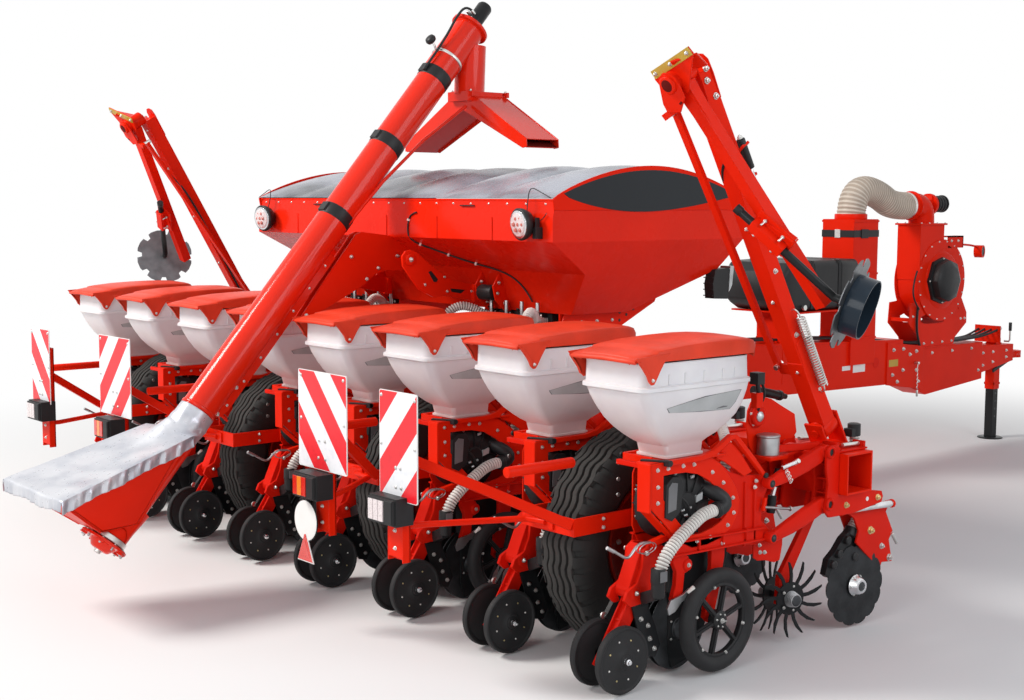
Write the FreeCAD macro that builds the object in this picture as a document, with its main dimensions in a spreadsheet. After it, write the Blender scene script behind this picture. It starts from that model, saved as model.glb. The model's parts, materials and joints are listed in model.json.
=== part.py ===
import FreeCAD, Part
import math
import os
import Sketcher

# Eight-row trailed precision planter, millimetres, +Z up, +Y towards the tractor.
# Lengths along Y are counted from a line just behind the press wheels' axles. Each
# node's Placement then moves it so that the model's origin lies below the middle of
# the whole machine.

Vector = FreeCAD.Vector
ROW_COUNT = 8
OUT_FOLDER = "parts"

SIZES = [
    ("row_spacing", 750),
    # toolbar
    ("bar_size", 200), ("bar_wall", 10), ("bar_centre_y", 1520), ("bar_centre_z", 820),
    ("bar_overhang", 225), ("clamp_plate", 12), ("seat_gap", 0.3),
    # row unit: side plates, linkage, hopper tray
    ("unit_half_width", 110), ("unit_plate", 10), ("meter_centre_y", 430),
    ("meter_centre_z", 770), ("unit_disc_radius", 235), ("unit_front_y", 935),
    ("link_rear_y", 890), ("link_front_y", 1350), ("link_upper_rear_z", 842),
    ("link_lower_rear_z", 588), ("link_rise", 94), ("link_height", 50),
    ("link_thickness", 10), ("link_pin_radius", 13), ("tray_height", 25),
    ("post_width", 40), ("post_y", 190), ("beam_low_z", 520),
    # seed hopper
    ("seed_half_width", 195), ("seed_rear_y", 46), ("seed_front_y", 736),
    ("seed_top_z", 1452), ("seed_ledge_z", 1350), ("seed_neck_z", 1070),
    ("seed_floor_z", 1010), ("seed_neck_rear_y", 285), ("seed_neck_front_y", 545),
    ("seed_neck_half", 112), ("seed_belly_z", 1200), ("seed_belly_half", 167),
    ("seed_belly_rear_y", 128), ("seed_belly_front_y", 700), ("seed_wall", 5),
    ("ledge_width", 10), ("ledge_height", 22),
    # lid
    ("lid_rise", 46), ("lid_bow", 30), ("lid_skirt", 26), ("lid_side_gap", 12),
    ("lid_wall", 5), ("lid_pivot_y", 83), ("lid_pivot_z", 1384), ("lid_pin_radius", 6),
    ("lid_overhang", 42), ("lid_ear", 5),
    # meter and opener
    ("meter_radius", 185), ("meter_half_width", 92),
    ("opener_half_width", 28), ("opener_low_z", 25), ("opener_rear_y", 390),
    ("opener_front_y", 800),
    # gauge wheels
    ("gauge_y", 589), ("gauge_z", 250), ("gauge_radius", 238), ("gauge_width", 68),
    ("gauge_inner_x", 112), ("gauge_hub_radius", 45), ("gauge_axle_radius", 16),
    ("gauge_pivot_ahead", 56), ("gauge_pivot_z", 556),
    # press wheels
    ("press_y", 50), ("press_z", 156), ("press_radius", 150), ("press_width", 34),
    ("press_inner_x", 62), ("press_hub_radius", 38), ("press_axle_radius", 14),
    # star wheels and fertiliser coulters
    ("star_y", 1215), ("star_z", 215), ("star_radius", 190), ("star_x", 55),
    ("blade", 8), ("disc_y", 1660), ("disc_z", 215),
    ("disc_radius", 205), ("disc_x", 120), ("disc_hub_radius", 38),
    ("leg_front_y", 1905),
    # transport wheels
    ("tyre_y", 610), ("tyre_radius", 535), ("tyre_width", 296), ("rim_radius", 300),
    ("rim_width", 210), ("axle_radius", 40), ("fork_gap", 16), ("fork_plate", 12),
    ("fork_height", 130), ("guard_height", 80), ("guard_z", 690), ("guard_gap", 55),
    # warning boards
    ("inner_board_y", -460), ("outer_board_y", -590), ("board_low_z", 820), ("board_height", 482),
    ("inner_board_out", 395), ("inner_board_half", 212), ("outer_board_in", 300),
    ("outer_board_half", 140), ("round_board_x", 980), ("round_board_z", 546),
    ("round_board_radius", 100), ("board_plate", 4), ("board_tube", 30), ("board_foot", 10),
    # fertiliser hopper
    ("bin_half_length", 1470), ("bin_rear_y", 745), ("bin_front_y", 2245),
    ("bin_top_z", 2140), ("bin_wall_z", 1915), ("bin_fold_z", 1735),
    ("bin_fold_rear_y", 1060), ("bin_fold_front_y", 2120), ("bin_floor_z", 1500),
    ("bin_floor_rear_y", 1150), ("bin_floor_front_y", 1590), ("bin_floor_half", 1180),
    ("bin_fold_half", 1380), ("bin_wall", 8), ("tarp_rise", 190), ("tarp_wall", 8),
    ("leg_x", 430), ("outer_leg_x", 1080), ("stand_plate", 12),
    ("manifold_height", 95), ("manifold_half", 1000),
    # auger
    ("auger_foot_y", -1080), ("auger_foot_z", 340), ("auger_length", 3760),
    ("auger_angle", 49.1), ("auger_radius", 98), ("auger_flange", 135),
    ("motor_radius", 62), ("motor_length", 190), ("spout_along", 3560),
    ("chute_y", 1450), ("chute_apex_z", 2790), ("chute_end_z", 2440), ("chute_reach", 600),
    ("chute_half_width", 130), ("chute_depth", 110), ("rail_start", 900),
    ("rail_end", 2050), ("rail_depth", 46), ("rail_half", 22),
    ("trough_rear_y", -1450), ("trough_rear_z", 660), ("trough_rear_half", 350),
    ("trough_front_y", -700), ("trough_front_z", 890), ("trough_front_half", 255),
    ("trough_wall", 4), ("cover_height", 34), ("cover_hem", 12),
    # drawbar
    ("beam_half", 130), ("beam_rear_low_z", 722), ("beam_rear_top_z", 1170),
    ("beam_front_low_z", 640), ("beam_front_top_z", 1000), ("beam_front_y", 5850),
    ("adapter_front_y", 6130), ("nose_half", 110), ("nose_front_y", 7080),
    ("nose_low_z", 510), ("nose_top_z", 905), ("tongue_front_y", 7640),
    ("tongue_low_z", 640), ("tongue_top_z", 850), ("tongue_half", 80),
    ("coupler_y", 7790), ("coupler_z", 745), ("eye_radius", 62), ("eye_bore", 26),
    ("eye_height", 62),
    # jack
    ("jack_y", 7440), ("jack_tube_half", 45), ("jack_wall", 6), ("slide_gap", 0.5),
    ("jack_foot_radius", 110), ("jack_foot", 12),
    # fan
    ("fan_y", 6400), ("fan_z", 1470), ("fan_radius", 345), ("fan_half", 130),
    ("fan_outlet_z", 2095), ("fan_cover_radius", 205), ("fan_cover_length", 120),
    ("duct_rear_y", 5110), ("duct_front_y", 5430), ("duct_half", 150), ("duct_top_z", 1990),
    ("hose_radius", 115), ("hose_top_z", 2170), ("tank_rear_y", 4100),
    ("tank_front_y", 4990), ("tank_half", 300), ("tank_low_z", 1310), ("tank_top_z", 1690),
    # markers
    ("marker_out", 15), ("marker_back", 20), ("marker_rise", 108), ("marker_lean", 30),
    ("marker_lower", 1960), ("marker_splay", 17.5), ("marker_upper", 1211),
    ("marker_tube", 80), ("marker_slim_tube", 62), ("marker_apart", 110), ("marker_boss", 58),
    ("marker_clear", 1), ("marker_pin_radius", 20), ("marker_clamp_at", 800),
    ("marker_clamp_length", 200), ("marker_clamp_width", 150), ("marker_clamp_depth", 26),
    ("marker_rod_radius", 19), ("marker_rod_above", 190), ("marker_rod_below", 395),
    ("marker_rod_angle", 40), ("marker_spindle", 70), ("marker_disc_dip", 27),
    ("marker_disc_cant", 9), ("marker_disc_radius", 210), ("marker_drum_radius", 135),
    ("marker_drum_length", 90), ("marker_drum_wall", 6), ("marker_link_in", 150),
    ("marker_link_tube", 34), ("marker_link_low", 330),
    # hoses
    ("hose_small_radius", 27), ("hose_side_gap", 32),
]

doc = FreeCAD.newDocument("precision_planter")
sheet = doc.addObject("Spreadsheet::Sheet", "sizes")


class Size:
    """A number together with the sheet formula that gives it."""

    def __init__(self, value, text):
        self.value = float(value)
        self.text = text

    def __add__(self, other):
        other = as_size(other)
        return Size(self.value + other.value, f"({self.text} + {other.text})")

    def __sub__(self, other):
        other = as_size(other)
        return Size(self.value - other.value, f"({self.text} - {other.text})")

    def __mul__(self, other):
        other = as_size(other)
        return Size(self.value * other.value, f"({self.text} * {other.text})")

    def __truediv__(self, other):
        other = as_size(other)
        return Size(self.value / other.value, f"({self.text} / {other.text})")

    def __neg__(self):
        return Size(-self.value, f"(0 - {self.text})")

    def __radd__(self, other):
        return as_size(other) + self

    def __rsub__(self, other):
        return as_size(other) - self

    def __rmul__(self, other):
        return as_size(other) * self


def as_size(number):
    """A plain number becomes a Size, and a Size stays as it is."""
    if isinstance(number, Size):
        return number
    return Size(number, f"({number:.6f})")


def sine(angle):
    """The sine of an angle in degrees."""
    return Size(math.sin(math.radians(angle.value)), f"sin({angle.text})")


def cosine(angle):
    """The cosine of an angle in degrees."""
    return Size(math.cos(math.radians(angle.value)), f"cos({angle.text})")


def fill_sheet():
    """Writes each driving size and its alias, and returns them by name."""
    names = {}
    for line, (alias, number) in enumerate(SIZES, start=1):
        sheet.set(f"A{line}", alias)
        sheet.set(f"B{line}", str(number))
        sheet.setAlias(f"B{line}", alias)
        names[alias] = Size(number, f"sizes.{alias}")
    doc.recompute()
    return type("Driving", (), names)


S = fill_sheet()
MIDDLE_Y = (S.coupler_y + S.eye_radius + S.trough_rear_y - S.cover_hem) / 2
ROW_X = [S.row_spacing * (row - (ROW_COUNT - 1) / 2) for row in range(ROW_COUNT)]
TYRE_X = [S.row_spacing * side for side in (-3, -1, 1, 3)]
BAR_HALF = ROW_X[-1] + S.bar_overhang
MARKER_X = ROW_X[-1] + S.marker_out
MARKER_Y = S.bar_centre_y - S.marker_back
MARKER_Z = S.bar_centre_z + S.bar_size / 2 + S.marker_rise
HOSE_X = S.unit_half_width + S.unit_plate + S.hose_side_gap


def bind(item, prop, amount):
    """Ties one property of an object to the sheet."""
    item.setExpression(prop, as_size(amount).text)


def box(name, x, y, z):
    """A block between pairs of sizes along X, Y and Z."""
    block = doc.addObject("Part::Box", name)
    for side, prop, place in ((x, "Length", "x"), (y, "Width", "y"), (z, "Height", "z")):
        bind(block, prop, as_size(side[1]) - side[0])
        bind(block, f"Placement.Base.{place}", side[0])
    return block


TURNS = {
    "X": FreeCAD.Rotation(Vector(0, 1, 0), 90),
    "Y": FreeCAD.Rotation(Vector(1, 0, 0), -90),
    "Z": FreeCAD.Rotation(),
}


def rod(name, axis, start, radius, length):
    """A round bar that starts at a point and runs along +X, +Y or +Z."""
    bar = doc.addObject("Part::Cylinder", name)
    bar.Placement = FreeCAD.Placement(Vector(), TURNS[axis])
    bind(bar, "Radius", radius)
    bind(bar, "Height", length)
    for place, amount in zip("xyz", start):
        bind(bar, f"Placement.Base.{place}", amount)
    return bar


def vector(point):
    """The point's position now."""
    return Vector(*[as_size(amount).value for amount in point])


def strut(name, start, end, radius):
    """A round bar between two points."""
    bar = doc.addObject("Part::Cylinder", name)
    first, last = vector(start), vector(end)
    squares = [(as_size(b) - a) * (as_size(b) - a) for a, b in zip(start, end)]
    total = squares[0] + squares[1] + squares[2]
    bind(bar, "Radius", radius)
    bar.setExpression("Height", f"sqrt({total.text})")
    bar.Placement = FreeCAD.Placement(first, FreeCAD.Rotation(Vector(0, 0, 1), last - first))
    return bar


def sketch_outline(body, plane, outline):
    """A closed outline of straight sides on one of the body's own planes."""
    sketch = body.newObject("Sketcher::SketchObject", body.Name + "_outline")
    support = [item for item in body.Origin.OriginFeatures if item.Role == plane][0]
    sketch.AttachmentSupport = [(support, "")]
    sketch.MapMode = "FlatFace"
    corners = [(as_size(u), as_size(v)) for u, v in outline]
    count = len(corners)
    for index, (u, v) in enumerate(corners):
        after = corners[(index + 1) % count]
        start = Vector(u.value, v.value, 0)
        sketch.addGeometry(Part.LineSegment(start, Vector(after[0].value, after[1].value, 0)), False)
    for index in range(count):
        sketch.addConstraint(Sketcher.Constraint("Coincident", index, 2, (index + 1) % count, 1))
    for index, (u, v) in enumerate(corners):
        for kind, amount in (("DistanceX", u), ("DistanceY", v)):
            number = sketch.addConstraint(Sketcher.Constraint(kind, index, 1, amount.value))
            sketch.setExpression(f"Constraints[{number}]", amount.text)
    return sketch


def plate(name, x, outline):
    """A flat piece with its outline in Y and Z, between two sizes along X."""
    body = doc.addObject("PartDesign::Body", name)
    pad = body.newObject("PartDesign::Pad", name + "_pad")
    pad.Profile = sketch_outline(body, "YZ_Plane", outline)
    bind(pad, "Length", as_size(x[1]) - x[0])
    body.Tip = pad
    bind(body, "Placement.Base.x", x[0])
    return body


def sheet_plate(name, y, outline):
    """A flat piece with its outline in X and Z, between two sizes along Y."""
    body = doc.addObject("PartDesign::Body", name)
    pad = body.newObject("PartDesign::Pad", name + "_pad")
    pad.Profile = sketch_outline(body, "XZ_Plane", outline)
    bind(pad, "Length", as_size(y[1]) - y[0])
    body.Tip = pad
    bind(body, "Placement.Base.y", y[1])
    return body


def turned(name, outline):
    """A piece turned about the X axis: its outline gives x and radius."""
    body = doc.addObject("PartDesign::Body", name)
    revolution = body.newObject("PartDesign::Revolution", name + "_turn")
    revolution.Profile = sketch_outline(body, "XY_Plane", outline)
    axis = [item for item in body.Origin.OriginFeatures if item.Role == "X_Axis"][0]
    revolution.ReferenceAxis = (axis, [""])
    revolution.Angle = 360
    body.Tip = revolution
    return body


def fuse(name, pieces):
    """Pieces welded into one solid."""
    joined = doc.addObject("Part::MultiFuse", name)
    joined.Shapes = pieces
    return joined


def cut(name, base, tool):
    """One piece with another taken out of it."""
    opened = doc.addObject("Part::Cut", name)
    opened.Base = base
    opened.Tool = tool
    return opened


def group(name, pieces):
    """Pieces that belong together and don't touch."""
    together = doc.addObject("Part::Compound", name)
    together.Links = pieces
    return together


NODES = []


def node(label, item):
    """Names a finished sub-part and moves it into the model's frame."""
    item.Label = label
    bind(item, "Placement.Base.y", -MIDDLE_Y)
    NODES.append(item)
    return item


def along_bar(name, source, places):
    """A copy of the piece at each place along the bar, held together as one object."""
    doc.recompute()
    copies = []
    for place in places:
        for solid in source.Shape.Solids:
            moved = solid.copy()
            moved.translate(Vector(place.value, 0, 0))
            copies.append(moved)
    feature = doc.addObject("Part::Feature", name)
    feature.Shape = Part.makeCompound(copies)
    return feature


def at_each(label, source, places):
    """A node of its own for each place along the bar."""
    for number, place in enumerate(places, start=1):
        name = f"{label}_{number}"
        node(name, along_bar(name, source, [place]))


def mirrored(label, source):
    """The left-hand twin of a right-hand piece."""
    twin = doc.addObject("Part::Mirroring", label)
    twin.Source = source
    twin.Normal = Vector(1, 0, 0)
    return twin


def both_sides(name, x, maker):
    """The piece that maker builds between two sizes along X, and its twin across x = 0."""
    right = maker(name + "_right", x)
    left = maker(name + "_left", (-as_size(x[1]), -as_size(x[0])))
    return [right, left]


# ---- toolbar, hopper stand and wheel arms ----------------------------------

BAR_REAR_Y = S.bar_centre_y - S.bar_size / 2
BAR_FRONT_Y = S.bar_centre_y + S.bar_size / 2
BAR_LOW_Z = S.bar_centre_z - S.bar_size / 2
BAR_TOP_Z = S.bar_centre_z + S.bar_size / 2


def toolbar():
    """The square tube with open ends that carries every row."""
    inset = S.bar_wall
    tube = box("bar_outside", (-BAR_HALF, BAR_HALF),
               (BAR_REAR_Y, BAR_FRONT_Y), (BAR_LOW_Z, BAR_TOP_Z))
    room = box("bar_inside", (-BAR_HALF - inset, BAR_HALF + inset),
               (BAR_REAR_Y + inset, BAR_FRONT_Y - inset), (BAR_LOW_Z + inset, BAR_TOP_Z - inset))
    base = marker_base()
    node("toolbar", group("toolbar", [cut("bar", tube, room), base, mirrored("marker_base_twin", base)]))


def marker_base():
    """The foot plate, two ears and pivot pin that carry the right-hand marker."""
    low = BAR_TOP_Z + S.clamp_plate
    reach = S.marker_tube / 2 + S.clamp_plate
    foot = box("marker_foot", (MARKER_X - reach * 1.5, MARKER_X + reach * 1.5),
               (BAR_REAR_Y, BAR_FRONT_Y), (low, low + S.clamp_plate))
    gap = S.marker_boss + S.marker_clear
    pieces = [foot]
    for name, near in (("front", gap), ("rear", -gap - S.clamp_plate)):
        drop = MARKER_Z - low + near * LEAN_Y
        pieces.append(marker_block(f"marker_ear_{name}", (-reach, reach), (-drop / LEAN_Z, reach),
                                   (near, near + S.clamp_plate)))
    ends = [on_marker(as_size(0), as_size(0), -gap - S.clamp_plate * 1.5),
            on_marker(as_size(0), as_size(0), gap + S.clamp_plate * 1.5)]
    pieces.append(strut("marker_pin", ends[0], ends[1], S.marker_pin_radius))
    return fuse("marker_base", pieces)


def hopper_stand():
    """Four plate legs from the toolbar up to the fertiliser hopper's floor."""
    legs = []
    foot = BAR_TOP_Z + S.clamp_plate
    outline = [
        (BAR_REAR_Y, foot), (BAR_FRONT_Y, foot),
        (S.bin_floor_front_y, S.bin_floor_z), (S.bin_floor_rear_y, S.bin_floor_z),
        (S.bin_floor_rear_y, S.bin_floor_z - S.manifold_height / 2),
    ]
    for number, reach in enumerate((S.leg_x, S.outer_leg_x)):
        for side in (1, -1):
            near = reach * side - S.stand_plate / 2
            legs.append(plate(f"stand_leg_{number}_{side + 1}", (near, near + S.stand_plate), outline))
    return legs


FORK_INNER = S.tyre_width / 2 + S.fork_gap
FORK_OUTER = FORK_INNER + S.fork_plate
GUARD_REAR_Y = S.tyre_y - S.tyre_radius - S.guard_gap + S.fork_plate


def wheel_arm():
    """The fork of one transport wheel, its axle and the flat guard bar behind the tyre."""
    half = S.fork_height / 2
    side_plate = [
        (S.tyre_y - half, S.tyre_radius - half), (S.tyre_y + half, S.tyre_radius - half),
        (BAR_REAR_Y, BAR_LOW_Z), (BAR_REAR_Y, BAR_TOP_Z),
        (S.tyre_y + half, S.tyre_radius + half), (S.tyre_y - half, S.tyre_radius + half),
    ]
    guard_front = (S.tyre_y + BAR_REAR_Y) / 2
    guard_side = [
        (GUARD_REAR_Y, S.guard_z - S.guard_height / 2), (guard_front, S.guard_z - S.guard_height / 2),
        (guard_front, S.guard_z + S.guard_height / 2), (GUARD_REAR_Y, S.guard_z + S.guard_height / 2),
    ]
    pieces = []
    pieces += both_sides("fork", (FORK_INNER, FORK_OUTER), lambda name, x: plate(name, x, side_plate))
    pieces += both_sides("guard_side", (FORK_INNER, FORK_OUTER), lambda name, x: plate(name, x, guard_side))
    pieces.append(box("guard_rear", (-FORK_OUTER, FORK_OUTER), (GUARD_REAR_Y - S.fork_plate, GUARD_REAR_Y),
                      (S.guard_z - S.guard_height / 2, S.guard_z + S.guard_height / 2)))
    pieces.append(rod("wheel_axle", "X", (-FORK_OUTER, S.tyre_y, S.tyre_radius), S.axle_radius,
                      FORK_OUTER * 2))
    return fuse("wheel_arm", pieces)


def wheel_arms():
    """One fork for each transport wheel."""
    node("wheel_arms", along_bar("wheel_arms", wheel_arm(), TYRE_X))


def transport_wheels():
    """The four big tyres and the rims that they sit on."""
    half = S.tyre_width / 2
    shoulder = S.tyre_radius - 45
    tyre = turned("tyre_ring", [
        (-half + 60, S.rim_radius + S.seat_gap), (half - 60, S.rim_radius + S.seat_gap),
        (half - 12, S.rim_radius + 50), (half, (S.rim_radius + S.tyre_radius) / 2),
        (half - 10, shoulder), (half - 50, S.tyre_radius), (-half + 50, S.tyre_radius),
        (-half + 10, shoulder), (-half, (S.rim_radius + S.tyre_radius) / 2),
        (-half + 12, S.rim_radius + 50),
    ])
    rim_half = S.rim_width / 2
    rim = turned("rim_ring", [
        (-rim_half, S.rim_radius - 22), (-rim_half, S.rim_radius), (rim_half, S.rim_radius),
        (rim_half, S.rim_radius - 22), (30, S.rim_radius - 40), (18, S.axle_radius + 60),
        (rim_half * 0.8, S.axle_radius + 50), (rim_half * 0.8, S.axle_radius + 1),
        (-rim_half * 0.8, S.axle_radius + 1), (-rim_half * 0.8, S.axle_radius + 50),
        (-18, S.axle_radius + 60), (-30, S.rim_radius - 40),
    ])
    for item in (tyre, rim):
        bind(item, "Placement.Base.y", S.tyre_y)
        bind(item, "Placement.Base.z", S.tyre_radius)
    at_each("tyre", tyre, TYRE_X)
    at_each("wheel_rim", rim, TYRE_X)


# ---- row units ---------------------------------------------------------------

LINK_X = S.unit_half_width + S.unit_plate + S.link_thickness
PIN_ENDS = LINK_X + S.link_thickness + 4


def pivot_pin(name, y, z, radius, reach):
    """A cross pin through the unit, centred on the row line."""
    return rod(name, "X", (-reach, y, z), radius, reach * 2)


def row_frame():
    """Side plates, head plate, hopper tray, linkage and press wheel arm of one row."""
    y0 = S.meter_centre_y
    side = [
        (y0 - 190, S.beam_low_z + 40), (y0 + 60, S.beam_low_z), (S.unit_front_y, S.link_lower_rear_z - 40),
        (S.unit_front_y, S.link_upper_rear_z + 40), (y0 + 190, S.meter_centre_z + 120),
        (y0 - 190, S.meter_centre_z + 120),
    ]
    x = (S.unit_half_width, S.unit_half_width + S.unit_plate)
    pieces = both_sides("unit_side", x, lambda name, span: plate(name, span, side))
    for number, start in enumerate((S.unit_half_width, -S.unit_half_width - S.unit_plate)):
        pieces.append(rod(f"unit_round_{number}", "X", (start, y0, S.meter_centre_z),
                          S.unit_disc_radius, S.unit_plate))
    tray_low = S.seed_floor_z - S.tray_height
    tray = [
        (S.post_y - S.post_width / 2, tray_low), (y0 - 120, tray_low), (y0, S.meter_centre_z + 100),
        (y0 + 120, tray_low), (S.seed_neck_front_y + 60, tray_low),
        (S.seed_neck_front_y + 60, S.seed_floor_z - S.seat_gap),
        (S.post_y - S.post_width / 2, S.seed_floor_z - S.seat_gap),
    ]
    pieces += both_sides("tray_side", x, lambda name, span: plate(name, span, tray))
    pieces.append(box("tray_rear", (-S.unit_half_width, S.unit_half_width),
                      (S.post_y - S.post_width / 2, S.post_y + S.post_width / 2),
                      (tray_low, S.seed_floor_z - S.seat_gap)))
    pieces.append(box("rear_post", (-S.post_width / 2, S.post_width / 2),
                      (S.post_y - S.post_width / 2, S.post_y + S.post_width / 2),
                      (S.meter_centre_z, tray_low)))
    pieces.append(box("rear_beam", (-S.post_width / 2, S.post_width / 2),
                      (S.post_y - S.post_width / 2, y0 - S.meter_radius - 5),
                      (S.meter_centre_z - 40, S.meter_centre_z)))
    for number, (y, z) in enumerate(((S.link_rear_y, S.link_upper_rear_z),
                                     (S.link_rear_y, S.link_lower_rear_z))):
        pieces.append(pivot_pin(f"rear_pin_{number}", y, z, S.link_pin_radius, PIN_ENDS))
    return pieces


def linkage():
    """The upper and lower arms and the head plate that hold one row to the bar."""
    pieces = []
    reach = S.link_height / 2
    for number, rear_z in enumerate((S.link_upper_rear_z, S.link_lower_rear_z)):
        arm = [
            (S.link_rear_y - reach, rear_z - reach), (S.link_front_y + reach, rear_z + S.link_rise - reach),
            (S.link_front_y + reach, rear_z + S.link_rise + reach), (S.link_rear_y - reach, rear_z + reach),
        ]
        pieces += both_sides(f"link_{number}", (LINK_X, LINK_X + S.link_thickness),
                             lambda name, span: plate(name, span, arm))
        pieces.append(pivot_pin(f"front_pin_{number}", S.link_front_y, rear_z + S.link_rise,
                                S.link_pin_radius, PIN_ENDS))
    head_low = S.link_lower_rear_z + S.link_rise - 60
    head_top = S.link_upper_rear_z + S.link_rise + 50
    ears = [
        (S.link_front_y - 35, head_low), (BAR_REAR_Y - S.clamp_plate, head_low),
        (BAR_REAR_Y - S.clamp_plate, head_top), (S.link_front_y - 35, head_top),
    ]
    pieces += both_sides("head_ear", (S.unit_half_width, S.unit_half_width + S.unit_plate),
                         lambda name, span: plate(name, span, ears))
    reach = S.unit_half_width + S.unit_plate
    pieces.append(box("head_plate", (-reach, reach), (BAR_REAR_Y - S.clamp_plate, BAR_REAR_Y),
                      (head_low, BAR_TOP_Z + S.clamp_plate)))
    pieces.append(box("clamp_top", (-reach, reach), (BAR_REAR_Y - S.clamp_plate, BAR_FRONT_Y + S.clamp_plate),
                      (BAR_TOP_Z, BAR_TOP_Z + S.clamp_plate)))
    pieces.append(box("clamp_low", (-reach, reach), (BAR_REAR_Y - S.clamp_plate, BAR_FRONT_Y + S.clamp_plate),
                      (BAR_LOW_Z - S.clamp_plate, BAR_LOW_Z)))
    pieces.append(box("clamp_front", (-reach, reach), (BAR_FRONT_Y, BAR_FRONT_Y + S.clamp_plate),
                      (BAR_LOW_Z - S.clamp_plate, BAR_TOP_Z + S.clamp_plate)))
    return pieces


def press_arm():
    """The arm from the unit down to the press wheels, and their axle."""
    y0 = S.meter_centre_y
    beam = [
        (S.press_y - 40, S.press_z - 40), (S.press_y + 40, S.press_z - 40),
        (y0 - 60, S.beam_low_z - 40), (y0 - 60, S.beam_low_z + 60),
        (y0 - 190, S.beam_low_z + 60), (S.press_y - 40, S.press_z + 40),
    ]
    reach = S.press_inner_x + S.press_width
    return [
        plate("press_beam", (-S.opener_half_width, S.opener_half_width), beam),
        box("press_bridge", (-S.unit_half_width, S.unit_half_width), (y0 - 190, y0 - 60),
            (S.beam_low_z + 40, S.beam_low_z + 60)),
        pivot_pin("press_axle", S.press_y, S.press_z, S.press_axle_radius, reach),
    ]


def gauge_arm():
    """The arms and axle of the gauge wheels."""
    reach = S.gauge_inner_x + S.gauge_width
    half = as_size(28)
    arm = [
        (S.gauge_y - half, S.gauge_z - half), (S.gauge_y + half, S.gauge_z - half),
        (S.gauge_y + S.gauge_pivot_ahead + half, S.gauge_pivot_z + 15),
        (S.gauge_y - half, S.gauge_pivot_z + 15),
    ]
    x = (S.gauge_inner_x - 22, S.gauge_inner_x - 10)
    pieces = both_sides("gauge_arm", x, lambda name, span: plate(name, span, arm))
    pieces.append(pivot_pin("gauge_axle", S.gauge_y, S.gauge_z, S.gauge_axle_radius, reach))
    pieces.append(pivot_pin("gauge_pivot", S.gauge_y + S.gauge_pivot_ahead, S.gauge_pivot_z,
                            S.link_pin_radius, S.unit_half_width + S.unit_plate))
    return pieces


def star_arm():
    """The arm from the bar's underside down to the two star wheels, with their axle."""
    half = as_size(30)
    outline = [
        (S.star_y - half, S.star_z - half), (S.star_y + half, S.star_z - half),
        (BAR_REAR_Y + 70, BAR_LOW_Z - S.clamp_plate), (BAR_REAR_Y - S.clamp_plate, BAR_LOW_Z - S.clamp_plate),
    ]
    reach = S.star_x - S.blade * 2.5
    return [
        plate("star_arm", (-S.clamp_plate, S.clamp_plate), outline),
        pivot_pin("star_axle", S.star_y, S.star_z, S.link_pin_radius, reach),
    ]


def row_frames():
    """Every red steel piece of a row, welded or pinned together, once for each row."""
    pieces = row_frame() + linkage() + press_arm() + gauge_arm() + star_arm() + [fertiliser_leg()]
    node("row_frames", along_bar("row_frames", fuse("row_frame", pieces), ROW_X))


def tapered(name, sections):
    """A solid lofted through level rectangles: each is x half width, rear y, front y, z."""
    wires = []
    for half, rear, front, level in sections:
        half, rear, front, level = [as_size(item).value for item in (half, rear, front, level)]
        corners = [Vector(-half, rear, level), Vector(half, rear, level),
                   Vector(half, front, level), Vector(-half, front, level)]
        wires.append(Part.makePolygon(corners + corners[:1]))
    faces = []
    for low, high in zip(wires, wires[1:]):
        for side in range(4):
            a, b = low.OrderedVertexes[side].Point, low.OrderedVertexes[(side + 1) % 4].Point
            c, d = high.OrderedVertexes[(side + 1) % 4].Point, high.OrderedVertexes[side].Point
            faces.append(Part.Face(Part.makePolygon([a, b, c, d, a])))
    faces.append(Part.Face(wires[0]))
    faces.append(Part.Face(wires[-1]))
    feature = doc.addObject("Part::Feature", name)
    feature.Shape = Part.makeSolid(Part.makeShell(faces))
    return feature


def seed_hoppers():
    """Plastic seed hoppers, open at the top, with a ledge band round them."""
    t = S.seed_wall
    outside = tapered("seed_outside", [
        (S.seed_neck_half, S.seed_neck_rear_y, S.seed_neck_front_y, S.seed_floor_z),
        (S.seed_neck_half, S.seed_neck_rear_y, S.seed_neck_front_y, S.seed_neck_z),
        (S.seed_belly_half, S.seed_belly_rear_y, S.seed_belly_front_y, S.seed_belly_z),
        (S.seed_half_width, S.seed_rear_y, S.seed_front_y, S.seed_ledge_z),
        (S.seed_half_width, S.seed_rear_y, S.seed_front_y, S.seed_top_z),
    ])
    inside = tapered("seed_inside", [
        (S.seed_neck_half - t, S.seed_neck_rear_y + t, S.seed_neck_front_y - t, S.seed_floor_z + t),
        (S.seed_neck_half - t, S.seed_neck_rear_y + t, S.seed_neck_front_y - t, S.seed_neck_z),
        (S.seed_belly_half - t, S.seed_belly_rear_y + t, S.seed_belly_front_y - t, S.seed_belly_z),
        (S.seed_half_width - t, S.seed_rear_y + t, S.seed_front_y - t, S.seed_ledge_z),
        (S.seed_half_width - t, S.seed_rear_y + t, S.seed_front_y - t, S.seed_top_z + 1),
    ])
    grow = S.ledge_width
    ledge = box("seed_ledge", (-S.seed_half_width - grow, S.seed_half_width + grow),
                (S.seed_rear_y - grow, S.seed_front_y + grow),
                (S.seed_ledge_z - S.ledge_height, S.seed_ledge_z))
    pin = pivot_pin("lid_pin", S.lid_pivot_y, S.lid_pivot_z, S.lid_pin_radius,
                    S.seed_half_width + S.lid_side_gap + S.lid_ear + 3)
    banded = fuse("seed_banded", [outside, ledge, pin])
    node("seed_hoppers", along_bar("seed_hoppers", cut("seed_hopper", banded, inside), ROW_X))


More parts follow.
